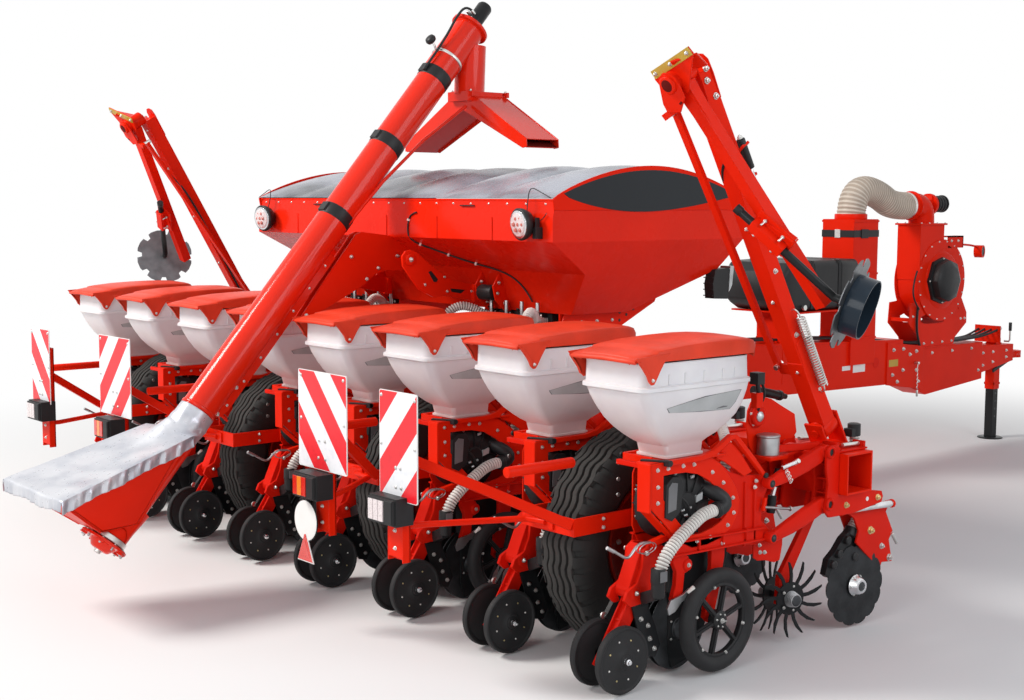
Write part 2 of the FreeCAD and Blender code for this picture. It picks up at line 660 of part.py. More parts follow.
def lid():
    """A bowed lid with side skirts, a rear lip and an ear each side on its pivot."""
    low = S.seed_top_z + S.seat_gap
    rear = S.seed_rear_y - S.lid_overhang
    front = S.seed_front_y + S.lid_side_gap + S.lid_wall
    reach = S.seed_half_width + S.lid_side_gap
    crown = low + S.lid_rise
    top = [
        (rear, low + 8), (S.lid_pivot_y + 40, crown), (S.meter_centre_y, crown + S.lid_bow),
        (front, crown + S.lid_bow - 8), (front, crown + S.lid_bow - 20),
        (S.meter_centre_y, crown + S.lid_bow - S.lid_wall * 2),
        (S.lid_pivot_y + 40, crown - S.lid_wall * 2), (rear, low),
    ]
    crust = [
        (rear, low - S.lid_skirt / 2), (S.lid_pivot_y, low - S.lid_skirt), (front, low - S.lid_skirt),
        (front, crown + S.lid_bow - 8), (S.meter_centre_y, crown + S.lid_bow),
        (S.lid_pivot_y + 40, crown), (rear, low + 8),
    ]
    ear = [
        (S.lid_pivot_y - 55, low - S.lid_skirt / 2), (S.lid_pivot_y - 16, S.lid_pivot_z - 14),
        (S.lid_pivot_y + 16, S.lid_pivot_z - 14), (S.lid_pivot_y + 26, low - S.lid_skirt / 2),
    ]
    pieces = [plate("lid_top", (-reach, reach), top)]
    pieces += both_sides("lid_skirt", (reach, reach + S.lid_wall), lambda name, x: plate(name, x, crust))
    pieces.append(box("lid_front", (-reach, reach), (front - S.lid_wall, front),
                      (low - S.lid_skirt, crown + S.lid_bow - 15)))
    pieces += both_sides("lid_ear", (reach, reach + S.lid_ear), lambda name, x: plate(name, x, ear))
    bore = pivot_pin("lid_bore", S.lid_pivot_y, S.lid_pivot_z, S.lid_pin_radius + S.seat_gap,
                     reach + S.lid_ear * 2)
    return cut("lid_shape", fuse("lid_body", pieces), bore)


def lids():
    """A lid for each row."""
    at_each("seed_lid", lid(), ROW_X)


def seed_meters():
    """The round meter housing below each hopper, its side cover and its outlet."""
    pieces = [
        rod("meter_drum", "X", (-S.meter_half_width, S.meter_centre_y, S.meter_centre_z),
            S.meter_radius, S.meter_half_width * 2),
        box("meter_inlet", (-S.meter_half_width, S.meter_half_width),
            (S.seed_neck_rear_y + 20, S.seed_neck_front_y - 20),
            (S.meter_centre_z, S.seed_floor_z - S.seat_gap)),
    ]
    near = S.unit_half_width + S.unit_plate
    elbow = rod("meter_elbow", "X", (near, 592, 760), S.hose_small_radius, HOSE_X + 28 - near)
    cuff = rod("hose_cuff", "X", (S.opener_half_width, 192, 400), S.hose_small_radius + 3,
               HOSE_X + 28 - S.opener_half_width)
    meter = group("seed_meter_set", [fuse("seed_meter", pieces), cuff, elbow])
    node("seed_meters", along_bar("seed_meters", meter, ROW_X))


def openers():
    """The opener shoe that cuts each seed furrow."""
    outline = [
        (S.opener_rear_y, S.opener_low_z + 60), (S.opener_rear_y + 80, S.opener_low_z),
        (S.opener_front_y - 120, S.opener_low_z), (S.opener_front_y, S.opener_low_z + 180),
        (S.opener_front_y - 40, S.beam_low_z + 60), (S.opener_rear_y + 40, S.beam_low_z + 60),
    ]
    shoe = plate("opener_shoe", (-S.opener_half_width, S.opener_half_width), outline)
    bore = pivot_pin("opener_bore", S.gauge_y, S.gauge_z, S.gauge_axle_radius + S.seat_gap, S.unit_half_width)
    pivot = pivot_pin("opener_pivot", S.gauge_y + S.gauge_pivot_ahead, S.gauge_pivot_z,
                      S.link_pin_radius + S.seat_gap, S.unit_half_width)
    bored = cut("opener_bored", cut("opener_cut", shoe, bore), pivot)
    node("seed_openers", along_bar("seed_openers", bored, ROW_X))


def wheel_pair(name, inner, width, radius, hub, bore, tread):
    """Twin wheels on one axle, as two solids of one body."""
    wheels = []
    for number, side in enumerate((1, -1)):
        near = inner if side == 1 else -inner - width
        wheels.append(turned(f"{name}_{number}", [
            (near, radius - 18), (near + 10, radius), (near + width - 10, radius),
            (near + width, radius - 18),
            (near + width, radius - tread), (near + width * 0.62, radius - tread), (near + width * 0.62, hub),
            (near + width, hub), (near + width, bore), (near, bore), (near, hub),
            (near + width * 0.38, hub), (near + width * 0.38, radius - tread), (near, radius - tread),
        ]))
    return group(name, wheels)


def gauge_wheels():
    """The twin depth wheels either side of each opener."""
    pair = wheel_pair("gauge_pair", S.gauge_inner_x, S.gauge_width, S.gauge_radius, S.gauge_hub_radius,
                      S.gauge_axle_radius + S.seat_gap, 46)
    bind(pair, "Placement.Base.y", S.gauge_y)
    bind(pair, "Placement.Base.z", S.gauge_z)
    at_each("gauge_wheels", pair, ROW_X)


def press_wheels():
    """The twin press wheels that close each furrow."""
    pair = wheel_pair("press_pair", S.press_inner_x, S.press_width, S.press_radius, S.press_hub_radius,
                      S.press_axle_radius + S.seat_gap, 34)
    bind(pair, "Placement.Base.y", S.press_y)
    bind(pair, "Placement.Base.z", S.press_z)
    at_each("press_wheels", pair, ROW_X)


def toothed(name, hub, radius, teeth, thickness):
    """A disc with notches cut round its rim, centred on the X axis."""
    disc = rod(name + "_blank", "X", (-thickness / 2, 0, 0), radius, thickness)
    bite = rod(name + "_bite", "X", (-thickness, 0, radius + radius * 0.02), radius * 0.11, thickness * 2)
    doc.recompute()
    shape = disc.Shape
    for tooth in range(teeth):
        notch = bite.Shape.copy()
        notch.rotate(Vector(), Vector(1, 0, 0), 360.0 * tooth / teeth)
        shape = shape.cut(notch)
    feature = doc.addObject("Part::Feature", name)
    boss = Part.makeCylinder(hub.value, thickness.value * 5, Vector(-thickness.value * 2.5, 0, 0),
                             Vector(1, 0, 0))
    feature.Shape = shape.fuse(boss)
    return feature


def ground_discs():
    """Star wheels ahead of each opener and the notched fertiliser disc beside it."""
    star = toothed("star", S.disc_hub_radius, S.star_radius, 12, S.blade)
    disc = toothed("notched", S.disc_hub_radius, S.disc_radius, 14, S.blade)
    doc.recompute()
    solids = []
    for row in ROW_X:
        for shape, x, y, z in ((star, S.star_x, S.star_y, S.star_z), (star, -S.star_x, S.star_y, S.star_z),
                               (disc, S.disc_x, S.disc_y, S.disc_z)):
            blade = shape.Shape.copy()
            blade.translate(vector((row + x, y, z)))
            solids.append(blade)
    feature = doc.addObject("Part::Feature", "ground_discs")
    feature.Shape = Part.makeCompound(solids)
    node("ground_discs", feature)


def fertiliser_leg():
    """The red leg in front of the toolbar that carries each fertiliser disc."""
    near = S.disc_x - S.blade * 2.5 - S.clamp_plate
    return plate("fertiliser_leg", (near, near + S.clamp_plate), [
        (S.disc_y - 30, S.disc_z - 40), (S.disc_y + 40, S.disc_z - 40), (S.leg_front_y, BAR_LOW_Z - 160),
        (S.leg_front_y, BAR_TOP_Z), (BAR_FRONT_Y + S.clamp_plate, BAR_TOP_Z),
        (BAR_FRONT_Y + S.clamp_plate, BAR_LOW_Z - 100),
    ])


# ---- fertiliser hopper ---------------------------------------------------------

def bin_sections(inset):
    """The level outlines of the fertiliser hopper, from its floor to its rim."""
    top = S.bin_top_z + (1 if inset.value else 0)
    return [
        (S.bin_floor_half - inset, S.bin_floor_rear_y + inset, S.bin_floor_front_y - inset,
         S.bin_floor_z + inset),
        (S.bin_fold_half - inset, S.bin_fold_rear_y + inset, S.bin_fold_front_y - inset, S.bin_fold_z),
        (S.bin_half_length - inset, S.bin_rear_y + inset, S.bin_front_y - inset, S.bin_wall_z),
        (S.bin_half_length - inset, S.bin_rear_y + inset, S.bin_front_y - inset, top),
    ]


def fertiliser_hopper():
    """The faceted steel hopper, open at the top."""
    outside = tapered("bin_outside", bin_sections(as_size(0)))
    inside = tapered("bin_inside", bin_sections(S.bin_wall))
    node("fertiliser_hopper", cut("fertiliser_hopper", outside, inside))


def arch(rise, gap):
    """Points of the tarp's arch from rear to front, above the hopper's rim."""
    steps = 12
    middle = (S.bin_rear_y + S.bin_front_y) / 2
    half = (S.bin_front_y - S.bin_rear_y) / 2
    points = []
    for step in range(steps + 1):
        angle = math.pi * step / steps
        lift = math.sin(angle) ** 0.8
        points.append((middle - half * math.cos(angle), S.bin_top_z + gap + rise * lift))
    return points


def hopper_tarp():
    """The closed cover over the fertiliser hopper: an arched skin and its two end walls."""
    over = arch(S.tarp_rise, S.seat_gap)
    whole = plate("tarp_whole", (-S.bin_half_length, S.bin_half_length), over)
    under = arch(S.tarp_rise - S.tarp_wall * 1.5, S.seat_gap - S.tarp_wall)
    room = plate("tarp_room", (-S.bin_half_length + S.tarp_wall, S.bin_half_length - S.tarp_wall), under)
    node("hopper_tarp", cut("hopper_tarp", whole, room))


def meters_and_hoses():
    """The black metering units below the fertiliser hopper and a hose to each row."""
    top = S.bin_floor_z - S.seat_gap
    pieces = []
    for number, side in enumerate((-1, 1)):
        inner = S.leg_x + S.stand_plate
        span = (inner, S.manifold_half) if side == 1 else (-S.manifold_half, -inner)
        pieces.append(box(f"manifold_{number}", span, (S.bin_floor_rear_y + 20, S.bin_floor_front_y - 60),
                          (top - S.manifold_height, top)))
    node("fertiliser_meters", group("fertiliser_meters", pieces))


# ---- auger -----------------------------------------------------------------------

AUGER_Y = cosine(S.auger_angle)
AUGER_Z = sine(S.auger_angle)


def on_auger(distance, lift=0):
    """The point this far up the auger's axis and this far above it, as y and z."""
    return (S.auger_foot_y + distance * AUGER_Y - as_size(lift) * AUGER_Z,
            S.auger_foot_z + distance * AUGER_Z + as_size(lift) * AUGER_Y)


def auger_rod(name, start, end, radius):
    """A round bar on the auger's axis."""
    first, last = on_auger(as_size(start)), on_auger(as_size(end))
    return strut(name, (0, first[0], first[1]), (0, last[0], last[1]), radius)


def auger_tube():
    """The slanted tube, its motor, spout and roof-shaped chute over the hopper."""
    spout = on_auger(S.spout_along)
    half = S.chute_half_width
    pieces = [
        auger_rod("auger_pipe", S.trough_wall, S.auger_length, S.auger_radius),
        auger_rod("auger_foot", 0, 16, S.auger_flange),
        auger_rod("auger_head", S.auger_length - 20, S.auger_length, S.auger_flange * 0.9),
        auger_rod("auger_motor", S.auger_length, S.auger_length + S.motor_length, S.motor_radius),
        box("spout", (-half * 0.75, half * 0.75), (spout[0] - 20, S.chute_y + half * 0.75),
            (S.chute_apex_z - 60, spout[1])),
    ]
    outline = [
        (-S.chute_reach, S.chute_end_z), (-S.chute_reach + 40, S.chute_end_z - 6),
        (0, S.chute_apex_z - S.chute_depth),
        (S.chute_reach - 40, S.chute_end_z - 6), (S.chute_reach, S.chute_end_z),
        (S.chute_reach, S.chute_end_z + 50),
        (60, S.chute_apex_z), (-60, S.chute_apex_z), (-S.chute_reach, S.chute_end_z + 50),
    ]
    pieces.append(sheet_plate("chute", (S.chute_y - half, S.chute_y + half), outline))
    rail = [on_auger(S.rail_start, -S.auger_radius + 20), on_auger(S.rail_end, -S.auger_radius + 20),
            on_auger(S.rail_end, -S.auger_radius - S.rail_depth),
            on_auger(S.rail_start, -S.auger_radius - S.rail_depth)]
    pieces.append(plate("auger_rail", (-S.rail_half, S.rail_half), rail))
    node("auger_tube", fuse("auger_tube", pieces))


def auger_trough():
    """The funnel at the auger's foot, and its fabric cover."""
    t = S.trough_wall

    def funnel(name, inset, lift):
        rim = [
            (-S.trough_rear_half + inset, S.trough_rear_y + inset, S.trough_rear_z + lift),
            (S.trough_rear_half - inset, S.trough_rear_y + inset, S.trough_rear_z + lift),
            (S.trough_front_half - inset, S.trough_front_y - inset, S.trough_front_z + lift),
            (-S.trough_front_half + inset, S.trough_front_y - inset, S.trough_front_z + lift),
        ]
        low = S.auger_radius + 30 - inset
        base = [
            (-low, S.auger_foot_y - 70 + inset, S.auger_foot_z + 90 + inset),
            (low, S.auger_foot_y - 70 + inset, S.auger_foot_z + 90 + inset),
            (low, S.auger_foot_y + 150 - inset, S.auger_foot_z - 90 + 190 + inset),
            (-low, S.auger_foot_y + 150 - inset, S.auger_foot_z - 90 + 190 + inset),
        ]
        return hexahedron(name, base, rim)

    outside = funnel("trough_outside", as_size(0), as_size(0))
    inside = funnel("trough_inside", t, t)
    tube = auger_rod("trough_bore", 0, S.auger_length, S.auger_radius + S.seat_gap)
    foot = auger_rod("trough_foot", -1, 17, S.auger_flange + S.seat_gap)
    hollow = cut("trough_hollow", outside, inside)
    node("auger_trough", cut("auger_trough", cut("trough_open", hollow, tube), foot))
    gap = S.seat_gap
    rise = S.cover_height
    low = [
        (-S.trough_rear_half - S.cover_hem, S.trough_rear_y - S.cover_hem, S.trough_rear_z + gap + t),
        (S.trough_rear_half + S.cover_hem, S.trough_rear_y - S.cover_hem, S.trough_rear_z + gap + t),
        (S.trough_front_half + S.cover_hem, S.trough_front_y + S.cover_hem, S.trough_front_z + gap + t),
        (-S.trough_front_half - S.cover_hem, S.trough_front_y + S.cover_hem, S.trough_front_z + gap + t),
    ]
    high = [(x * 0.9, y, z + rise) for x, y, z in low]
    cover = hexahedron("cover_block", low, high)
    bore = auger_rod("cover_bore", 0, S.auger_length, S.auger_radius + 2)
    node("trough_cover", cut("trough_cover", cover, bore))


def hexahedron(name, low, high):
    """A solid between two four-sided faces; each side is split so that it is flat."""
    a = [vector(point) for point in low]
    b = [vector(point) for point in high]
    faces = []
    for side in range(4):
        after = (side + 1) % 4
        faces.append(Part.Face(Part.makePolygon([a[side], a[after], b[after], a[side]])))
        faces.append(Part.Face(Part.makePolygon([a[side], b[after], b[side], a[side]])))
    for ring in (a, b):
        faces.append(Part.Face(Part.makePolygon([ring[0], ring[1], ring[2], ring[0]])))
        faces.append(Part.Face(Part.makePolygon([ring[0], ring[2], ring[3], ring[0]])))
    shell = Part.makeShell(faces)
    shell.sewShape()
    feature = doc.addObject("Part::Feature", name)
    solid = Part.makeSolid(shell)
    if solid.Volume < 0:
        solid.reverse()
    feature.Shape = solid
    return feature


def auger_bracket():
    """Two cheeks from the hopper's rear wall that hold the auger's rail."""
    upper = on_auger(S.rail_end - 120, -S.auger_radius)
    lower = on_auger(S.rail_start + 350, -S.auger_radius)
    outline = [
        (lower[0] + 20, lower[1] - 20), upper,
        (S.bin_rear_y, S.bin_top_z - 60), (S.bin_rear_y, S.bin_wall_z),
        (S.bin_rear_y + 160, S.bin_wall_z - 92 * 1), (lower[0] + 330, lower[1] + 60),
    ]
    x = (S.rail_half + S.seat_gap, S.rail_half + S.seat_gap + S.clamp_plate)
    return both_sides("auger_cheek", x, lambda name, span: plate(name, span, outline))


# ---- drawbar, hitch and jack -------------------------------------------------------

def drawbar():
    """The long tapered beam, its bolted adapter and the lower front box."""
    beam = [
        (BAR_FRONT_Y, S.beam_rear_low_z), (S.beam_front_y, S.beam_front_low_z),
        (S.beam_front_y, S.beam_front_top_z), (BAR_FRONT_Y, S.beam_rear_top_z),
    ]
    adapter = [
        (S.beam_front_y - 230, S.beam_front_low_z), (S.adapter_front_y, S.beam_front_low_z - 70),
        (S.adapter_front_y, S.nose_top_z + 25), (S.beam_front_y - 230, S.beam_front_top_z - 10),
    ]
    nose = [
        (S.beam_front_y, S.nose_low_z + 130), (S.adapter_front_y + 90, S.nose_low_z),
        (S.nose_front_y, S.nose_low_z + 70),
        (S.nose_front_y, S.nose_top_z), (S.beam_front_y, S.nose_top_z),
    ]
    pieces = [
        plate("main_beam", (-S.beam_half, S.beam_half), beam),
        plate("nose_box", (-S.nose_half, S.nose_half), nose),
    ]
    adapter_x = (S.beam_half, S.beam_half + S.clamp_plate)
    pieces += both_sides("adapter", adapter_x, lambda name, x: plate(name, x, adapter))
    pieces.append(box("duct", (-S.duct_half, S.duct_half), (S.duct_rear_y, S.duct_front_y),
                      (S.beam_front_low_z + 200, S.duct_top_z)))
    pieces.append(box("shelf_post", (-S.beam_half, S.beam_half), (S.tank_rear_y + 200, S.tank_rear_y + 320),
                      (S.beam_front_low_z + 200, S.tank_low_z - S.seat_gap - S.clamp_plate)))
    pieces.append(box("tank_shelf", (-S.tank_half, S.tank_half), (S.tank_rear_y + 100, S.duct_rear_y),
                      (S.tank_low_z - S.seat_gap - S.clamp_plate, S.tank_low_z - S.seat_gap)))
    node("drawbar", fuse("drawbar", pieces))


def hitch():
    """The tongue with its coupling eye and the jack's outer tube."""
    t = S.jack_wall
    tongue = [
        (S.nose_front_y, S.tongue_low_z - 20), (S.tongue_front_y, S.tongue_low_z + 60),
        (S.tongue_front_y, S.tongue_top_z), (S.nose_front_y, S.tongue_top_z + 20),
    ]
    eye = rod("eye_ring", "Z", (0, S.coupler_y, S.coupler_z - S.eye_height / 2), S.eye_radius, S.eye_height)
    stem = box("eye_stem", (-S.eye_radius * 0.7, S.eye_radius * 0.7), (S.tongue_front_y - 10, S.coupler_y),
               (S.coupler_z - S.eye_height / 2, S.coupler_z + S.eye_height / 2))
    bore = rod("eye_hole", "Z", (0, S.coupler_y, S.coupler_z - S.eye_height), S.eye_bore, S.eye_height * 2)
    outer = S.jack_tube_half
    tube = box("jack_outside", (-outer, outer), (S.jack_y - outer, S.jack_y + outer),
               (S.tongue_low_z - 190, S.tongue_top_z + 60))
    room = box("jack_inside", (-outer + t, outer - t), (S.jack_y - outer + t, S.jack_y + outer - t),
               (S.tongue_low_z - 191, S.tongue_top_z + 61))
    body = fuse("hitch_body", [plate("tongue", (-S.tongue_half, S.tongue_half), tongue), eye, stem, tube])
    node("hitch", cut("hitch", cut("hitch_bored", body, bore), room))


def jack_leg():
    """The square inner leg and its round foot, let down to the ground."""
    half = S.jack_tube_half - S.jack_wall - S.slide_gap
    leg = box("jack_bar", (-half, half), (S.jack_y - half, S.jack_y + half),
              (S.jack_foot / 2, S.tongue_top_z))
    foot = rod("jack_foot_plate", "Z", (0, S.jack_y, 0), S.jack_foot_radius, S.jack_foot)
    node("jack_leg", fuse("jack_leg", [leg, foot]))


# ---- fan, duct and tank --------------------------------------------------------------

def fan_housing():
    """The fan's scroll housing on its stand, with the outlet box and elbow on top."""
    r = S.fan_radius
    scroll = rod("fan_scroll", "X", (-S.fan_half, S.fan_y, S.fan_z), r, S.fan_half * 2)
    outlet = box("fan_outlet", (-S.fan_half, S.fan_half), (S.fan_y - r, S.fan_y + r * 0.3),
                 (S.fan_z, S.fan_outlet_z - 110))
    elbow = rod("fan_elbow", "Y", (0, S.fan_y - r - 60, S.fan_outlet_z), S.hose_radius - 6, r + 120)
    stand = plate("fan_stand", (-S.fan_half, S.fan_half), [
        (S.fan_y - 130, S.nose_top_z), (S.nose_front_y - 20, S.nose_top_z),
        (S.nose_front_y + 160, S.fan_z - 150),
        (S.nose_front_y - 60, S.fan_z + 160), (S.fan_y, S.fan_z), (S.fan_y - 260, S.fan_z - 230),
    ])
    cover = rod("fan_cover_drum", "X", (S.fan_half, S.fan_y - 40, S.fan_z), S.fan_cover_radius,
                S.fan_cover_length)
    node("fan_housing", fuse("fan_housing", [scroll, outlet, elbow, stand, cover]))


def fan_hose():
    """The clear hose from the fan's elbow to the square duct on the drawbar."""
    middle = (S.duct_rear_y + S.duct_front_y) / 2
    end_y = S.fan_y - S.fan_radius - 60 - S.seat_gap
    route = [
        vector((0, middle, S.duct_top_z + S.seat_gap)), vector((0, middle, S.hose_top_z - 50)),
        vector((0, middle + 120, S.hose_top_z + 65)), vector((0, middle + 350, S.hose_top_z + 20)),
        vector((0, end_y - 195, S.fan_outlet_z)), vector((0, end_y, S.fan_outlet_z)),
    ]
    node("fan_hose", tube_along("fan_hose", route, S.hose_radius))


def row_hoses():
    """A clear side hose on each row, and an air hose from the metering units to each row."""
    x = HOSE_X.value
    solids = []
    side_route = [(564.7, 760), (490, 760), (400, 715), (300, 655), (225, 590), (192, 510), (192, 430.3)]
    radius = S.hose_small_radius.value
    for number, row in enumerate(ROW_X, 1):
        route = [Vector(row.value + x, y, z) for y, z in side_route]
        solids.append(bent_tube(f"side_hose_{number}", route, radius))
    rear = S.bin_floor_rear_y.value + 20 - S.seat_gap.value
    level = S.bin_floor_z.value - S.manifold_height.value / 2
    drop_y = S.seed_front_y.value + 64
    meter_front = S.meter_centre_y.value + S.meter_radius.value + S.seat_gap.value
    spacing = S.row_spacing.value
    for side in (1, -1):
        starts = {0.5: 520, 1.5: 940, 2.5: 800, 3.5: 660}
        for row, start in starts.items():
            end = row * spacing
            across = end - start
            route = [(start, rear, level), (start, rear - 70, level)]
            if row == 2.5:
                route += [(830, rear - 130, level - 60), (925, rear - 150, level - 170),
                          (1190, rear - 140, level - 250), (end - 260, rear - 190, level - 260)]
            elif row == 3.5:
                route += [(680, rear - 120, level - 80), (750, rear - 110, level - 220),
                          (1050, rear - 90, level - 340), (1600, rear - 75, level - 355),
                          (end - 500, rear - 90, level - 350), (end - 220, rear - 190, level - 350)]
            else:
                route += [(start + across * 0.3, rear - 135, level + 50),
                          (start + across * 0.6, rear - 215, level + 72),
                          (start + across * 0.85, rear - 295, level + 20),
                          (end, rear - 345, level - 95)]
            route += [(end, drop_y, 1020), (end, drop_y - 5, 900), (end, drop_y - 70, 785),
                      (end, meter_front, 785)]
            points = [Vector(px * side, py, pz) for px, py, pz in route]
            solids.append(bent_tube(f"air_hose_{row * side}", points, radius))
    feature = doc.addObject("Part::Feature", "clear_hoses")
    feature.Shape = Part.makeCompound(solids)
    node("clear_hoses", feature)


def tube_along(name, route, radius):
    """A tube of straight runs joined by tangent arcs."""
    feature = doc.addObject("Part::Feature", name)
    feature.Shape = bent_tube(name, route, radius.value)
    return feature


def bent_tube(name, route, radius):
    """The solid of a tube whose path turns with as large an arc as its runs allow."""
    edges = []
    bends = []
    here = route[0]
    for index in range(1, len(route) - 1):
        before, corner, after = route[index - 1], route[index], route[index + 1]
        inward, outward = (corner - before), (after - corner)
        turn = inward.getAngle(outward)
        reach = 0.45 * min(inward.Length, outward.Length)
        bend = reach / math.tan(turn / 2)
        bends.append(round(bend))
        first = corner - inward.normalize() * reach
        last = corner + outward.normalize() * reach
        bisector = (last - corner) + (first - corner)
        bisector.normalize()
        middle = corner + bisector * (bend / math.cos(turn / 2) - bend)
        edges.append(Part.LineSegment(here, first).toShape())
        edges.append(Part.Arc(first, middle, last).toShape())
        here = last
    edges.append(Part.LineSegment(here, route[-1]).toShape())
    print(name, "bend radii", bends, "mm on a tube of", 2 * radius, "mm")
    path = Part.Wire(edges)
    start = route[1] - route[0]
    ring = Part.Wire([Part.makeCircle(radius, route[0], start)])
    return path.makePipeShell([ring], True, True)


def water_tank():
    """The black tank on its shelf above the drawbar."""
    outline = [
        (S.tank_rear_y, S.tank_low_z + 90), (S.tank_rear_y + 130, S.tank_low_z),
        (S.tank_front_y, S.tank_low_z),
        (S.tank_front_y, S.tank_top_z), (S.tank_rear_y + 60, S.tank_top_z - 10),
        (S.tank_rear_y, S.tank_top_z - 80),
    ]
    tank = plate("tank_block", (-S.tank_half, S.tank_half), outline)
    node("water_tank", group("water_tank", [tank]))


# ---- markers -----------------------------------------------------------------------------

LEAN_Y = sine(S.marker_lean)
LEAN_Z = cosine(S.marker_lean)


def on_marker(out, up, ahead=0):
    """A point in the marker's leaning plane, from its lower pivot: outward, upward and ahead."""
    ahead = as_size(ahead)
    return (MARKER_X + out, MARKER_Y - up * LEAN_Y + ahead * LEAN_Z,
            MARKER_Z + up * LEAN_Z + ahead * LEAN_Y)


def marker_block(name, out, up, ahead):
    """A block in the marker's leaning frame, between pairs of sizes."""
    low = [as_size(side[0]).value for side in (out, ahead, up)]
    high = [as_size(side[1]).value for side in (out, ahead, up)]
    block = Part.makeBox(high[0] - low[0], high[1] - low[1], high[2] - low[2], Vector(*low))
    lean = FreeCAD.Rotation(Vector(1, 0, 0), S.marker_lean.value)
    block.Placement = FreeCAD.Placement(vector(on_marker(as_size(0), as_size(0))), lean)
    feature = doc.addObject("Part::Feature", name)
    feature.Shape = block
    return feature


def marker_beam(name, start, end, width, depth, ahead):
    """A square tube in the marker's plane between two (out, up) points."""
    first = vector(on_marker(start[0], start[1], ahead))
    last = vector(on_marker(end[0], end[1], ahead))
    along = last - first
    length = along.Length
    width, depth = as_size(width).value, as_size(depth).value
    block = Part.makeBox(width, depth, length, Vector(-width / 2, -depth / 2, 0))
    forward = Vector(0, LEAN_Z.value, LEAN_Y.value)
    side = forward.cross(along.normalize())
    turn = FreeCAD.Rotation(side, forward, along, "ZYX")
    block.Placement = FreeCAD.Placement(first, turn)
    feature = doc.addObject("Part::Feature", name)
    feature.Shape = block
    return feature


def marker_drum(name, out, up, ahead, radius, half):
    """A round boss on one of the marker's pivot lines."""
    ends = [on_marker(out, up, as_size(ahead) - half), on_marker(out, up, as_size(ahead) + half)]
    return strut(name, ends[0], ends[1], radius)


UPPER_AHEAD = -S.marker_apart
ROD_AHEAD = UPPER_AHEAD - S.marker_slim_tube / 2 - S.marker_clamp_depth - S.marker_rod_radius * 0.5
CLAMP_OUT = S.marker_clamp_at * sine(S.marker_splay)
CLAMP_UP = S.marker_lower - S.marker_clamp_at * cosine(S.marker_splay)
BEND_OUT = CLAMP_OUT + S.marker_rod_below * sine(S.marker_rod_angle)
BEND_UP = CLAMP_UP - S.marker_rod_below * cosine(S.marker_rod_angle)


def marker_lower():
    """The leaning lower arm with its foot boss, upper pin, top plate and control link."""
    top = S.marker_lower
    tube = S.marker_tube
    reach = S.marker_apart * 2 - tube / 2
    link = -S.marker_link_in
    arm = fuse("marker_lower_arm", [
        marker_beam("lower_beam", (as_size(0), as_size(0)), (as_size(0), top + tube * 0.4), tube, tube, 0),
        marker_drum("lower_foot", as_size(0), as_size(0), 0, tube * 0.65, S.marker_boss),
        strut("upper_pin", on_marker(0, top, 0), on_marker(0, top, -reach), S.marker_pin_radius),
        marker_beam("top_neck", (as_size(0), top), (as_size(0), top + tube * 1.6), tube, tube * 0.5,
                    -tube / 4),
        marker_beam("top_shelf", (as_size(0), top + tube), (as_size(0), top + tube * 1.2), tube * 0.5,
                    S.marker_apart + tube, -S.marker_apart / 2 - tube * 0.25),
        marker_beam("top_plate", (-tube * 1.9, top + tube * 0.8), (tube * 1.4, top + tube * 1.9), tube * 0.75,
                    S.clamp_plate, -S.marker_apart - tube / 2),
        marker_beam("control_link", (link, top - tube * 3), (link, S.marker_link_low), S.marker_link_tube,
                    S.marker_link_tube, 0),
        marker_beam("control_lug", (as_size(0), top - tube * 3),
                    (link - S.marker_link_tube / 2, top - tube * 3),
                    tube * 0.8, S.marker_link_tube, 0),
    ])
    bore = marker_drum("lower_bore", as_size(0), as_size(0), 0, S.marker_pin_radius + S.seat_gap,
                       S.marker_boss * 2)
    return cut("marker_lower", arm, bore)


def marker_upper(spin, bend, hub):
    """The upper arm folded down and outward, its clamp and the bent rod that carries the disc."""
    top = S.marker_lower
    tube = S.marker_slim_tube
    end = (S.marker_upper * sine(S.marker_splay), top - S.marker_upper * cosine(S.marker_splay))
    along = (sine(S.marker_rod_angle), -cosine(S.marker_rod_angle))
    half = S.marker_clamp_length / 2
    boss_half = S.marker_apart - S.marker_tube / 2 - S.marker_clear
    clamp_ahead = UPPER_AHEAD - tube / 2 - S.marker_clamp_depth / 2
    rod_start = vector(on_marker(CLAMP_OUT - S.marker_rod_above * along[0],
                                 CLAMP_UP - S.marker_rod_above * along[1], ROD_AHEAD))
    feature = doc.addObject("Part::Feature", "marker_rod")
    radius = S.marker_rod_radius.value
    straight = Part.makeCylinder(radius, (bend - rod_start).Length, rod_start, bend - rod_start)
    spindle = Part.makeCylinder(radius, (hub - bend).Length - S.seat_gap.value, bend, spin)
    elbow = Part.makeSphere(radius, bend)
    feature.Shape = straight.fuse([elbow, spindle])
    arm = fuse("marker_upper_arm", [
        marker_beam("upper_beam", (as_size(0), top), end, tube, tube, UPPER_AHEAD),
        marker_drum("upper_boss", as_size(0), top, UPPER_AHEAD, S.marker_tube * 0.6, boss_half),
        marker_beam("marker_clamp", (CLAMP_OUT - half * along[0], CLAMP_UP - half * along[1]),
                    (CLAMP_OUT + half * along[0], CLAMP_UP + half * along[1]),
                    S.marker_clamp_width, S.marker_clamp_depth, clamp_ahead),
        feature,
    ])
    bore = marker_drum("upper_bore", as_size(0), top, UPPER_AHEAD, S.marker_pin_radius + S.seat_gap,
                       boss_half * 2)
    return cut("marker_upper", arm, bore)


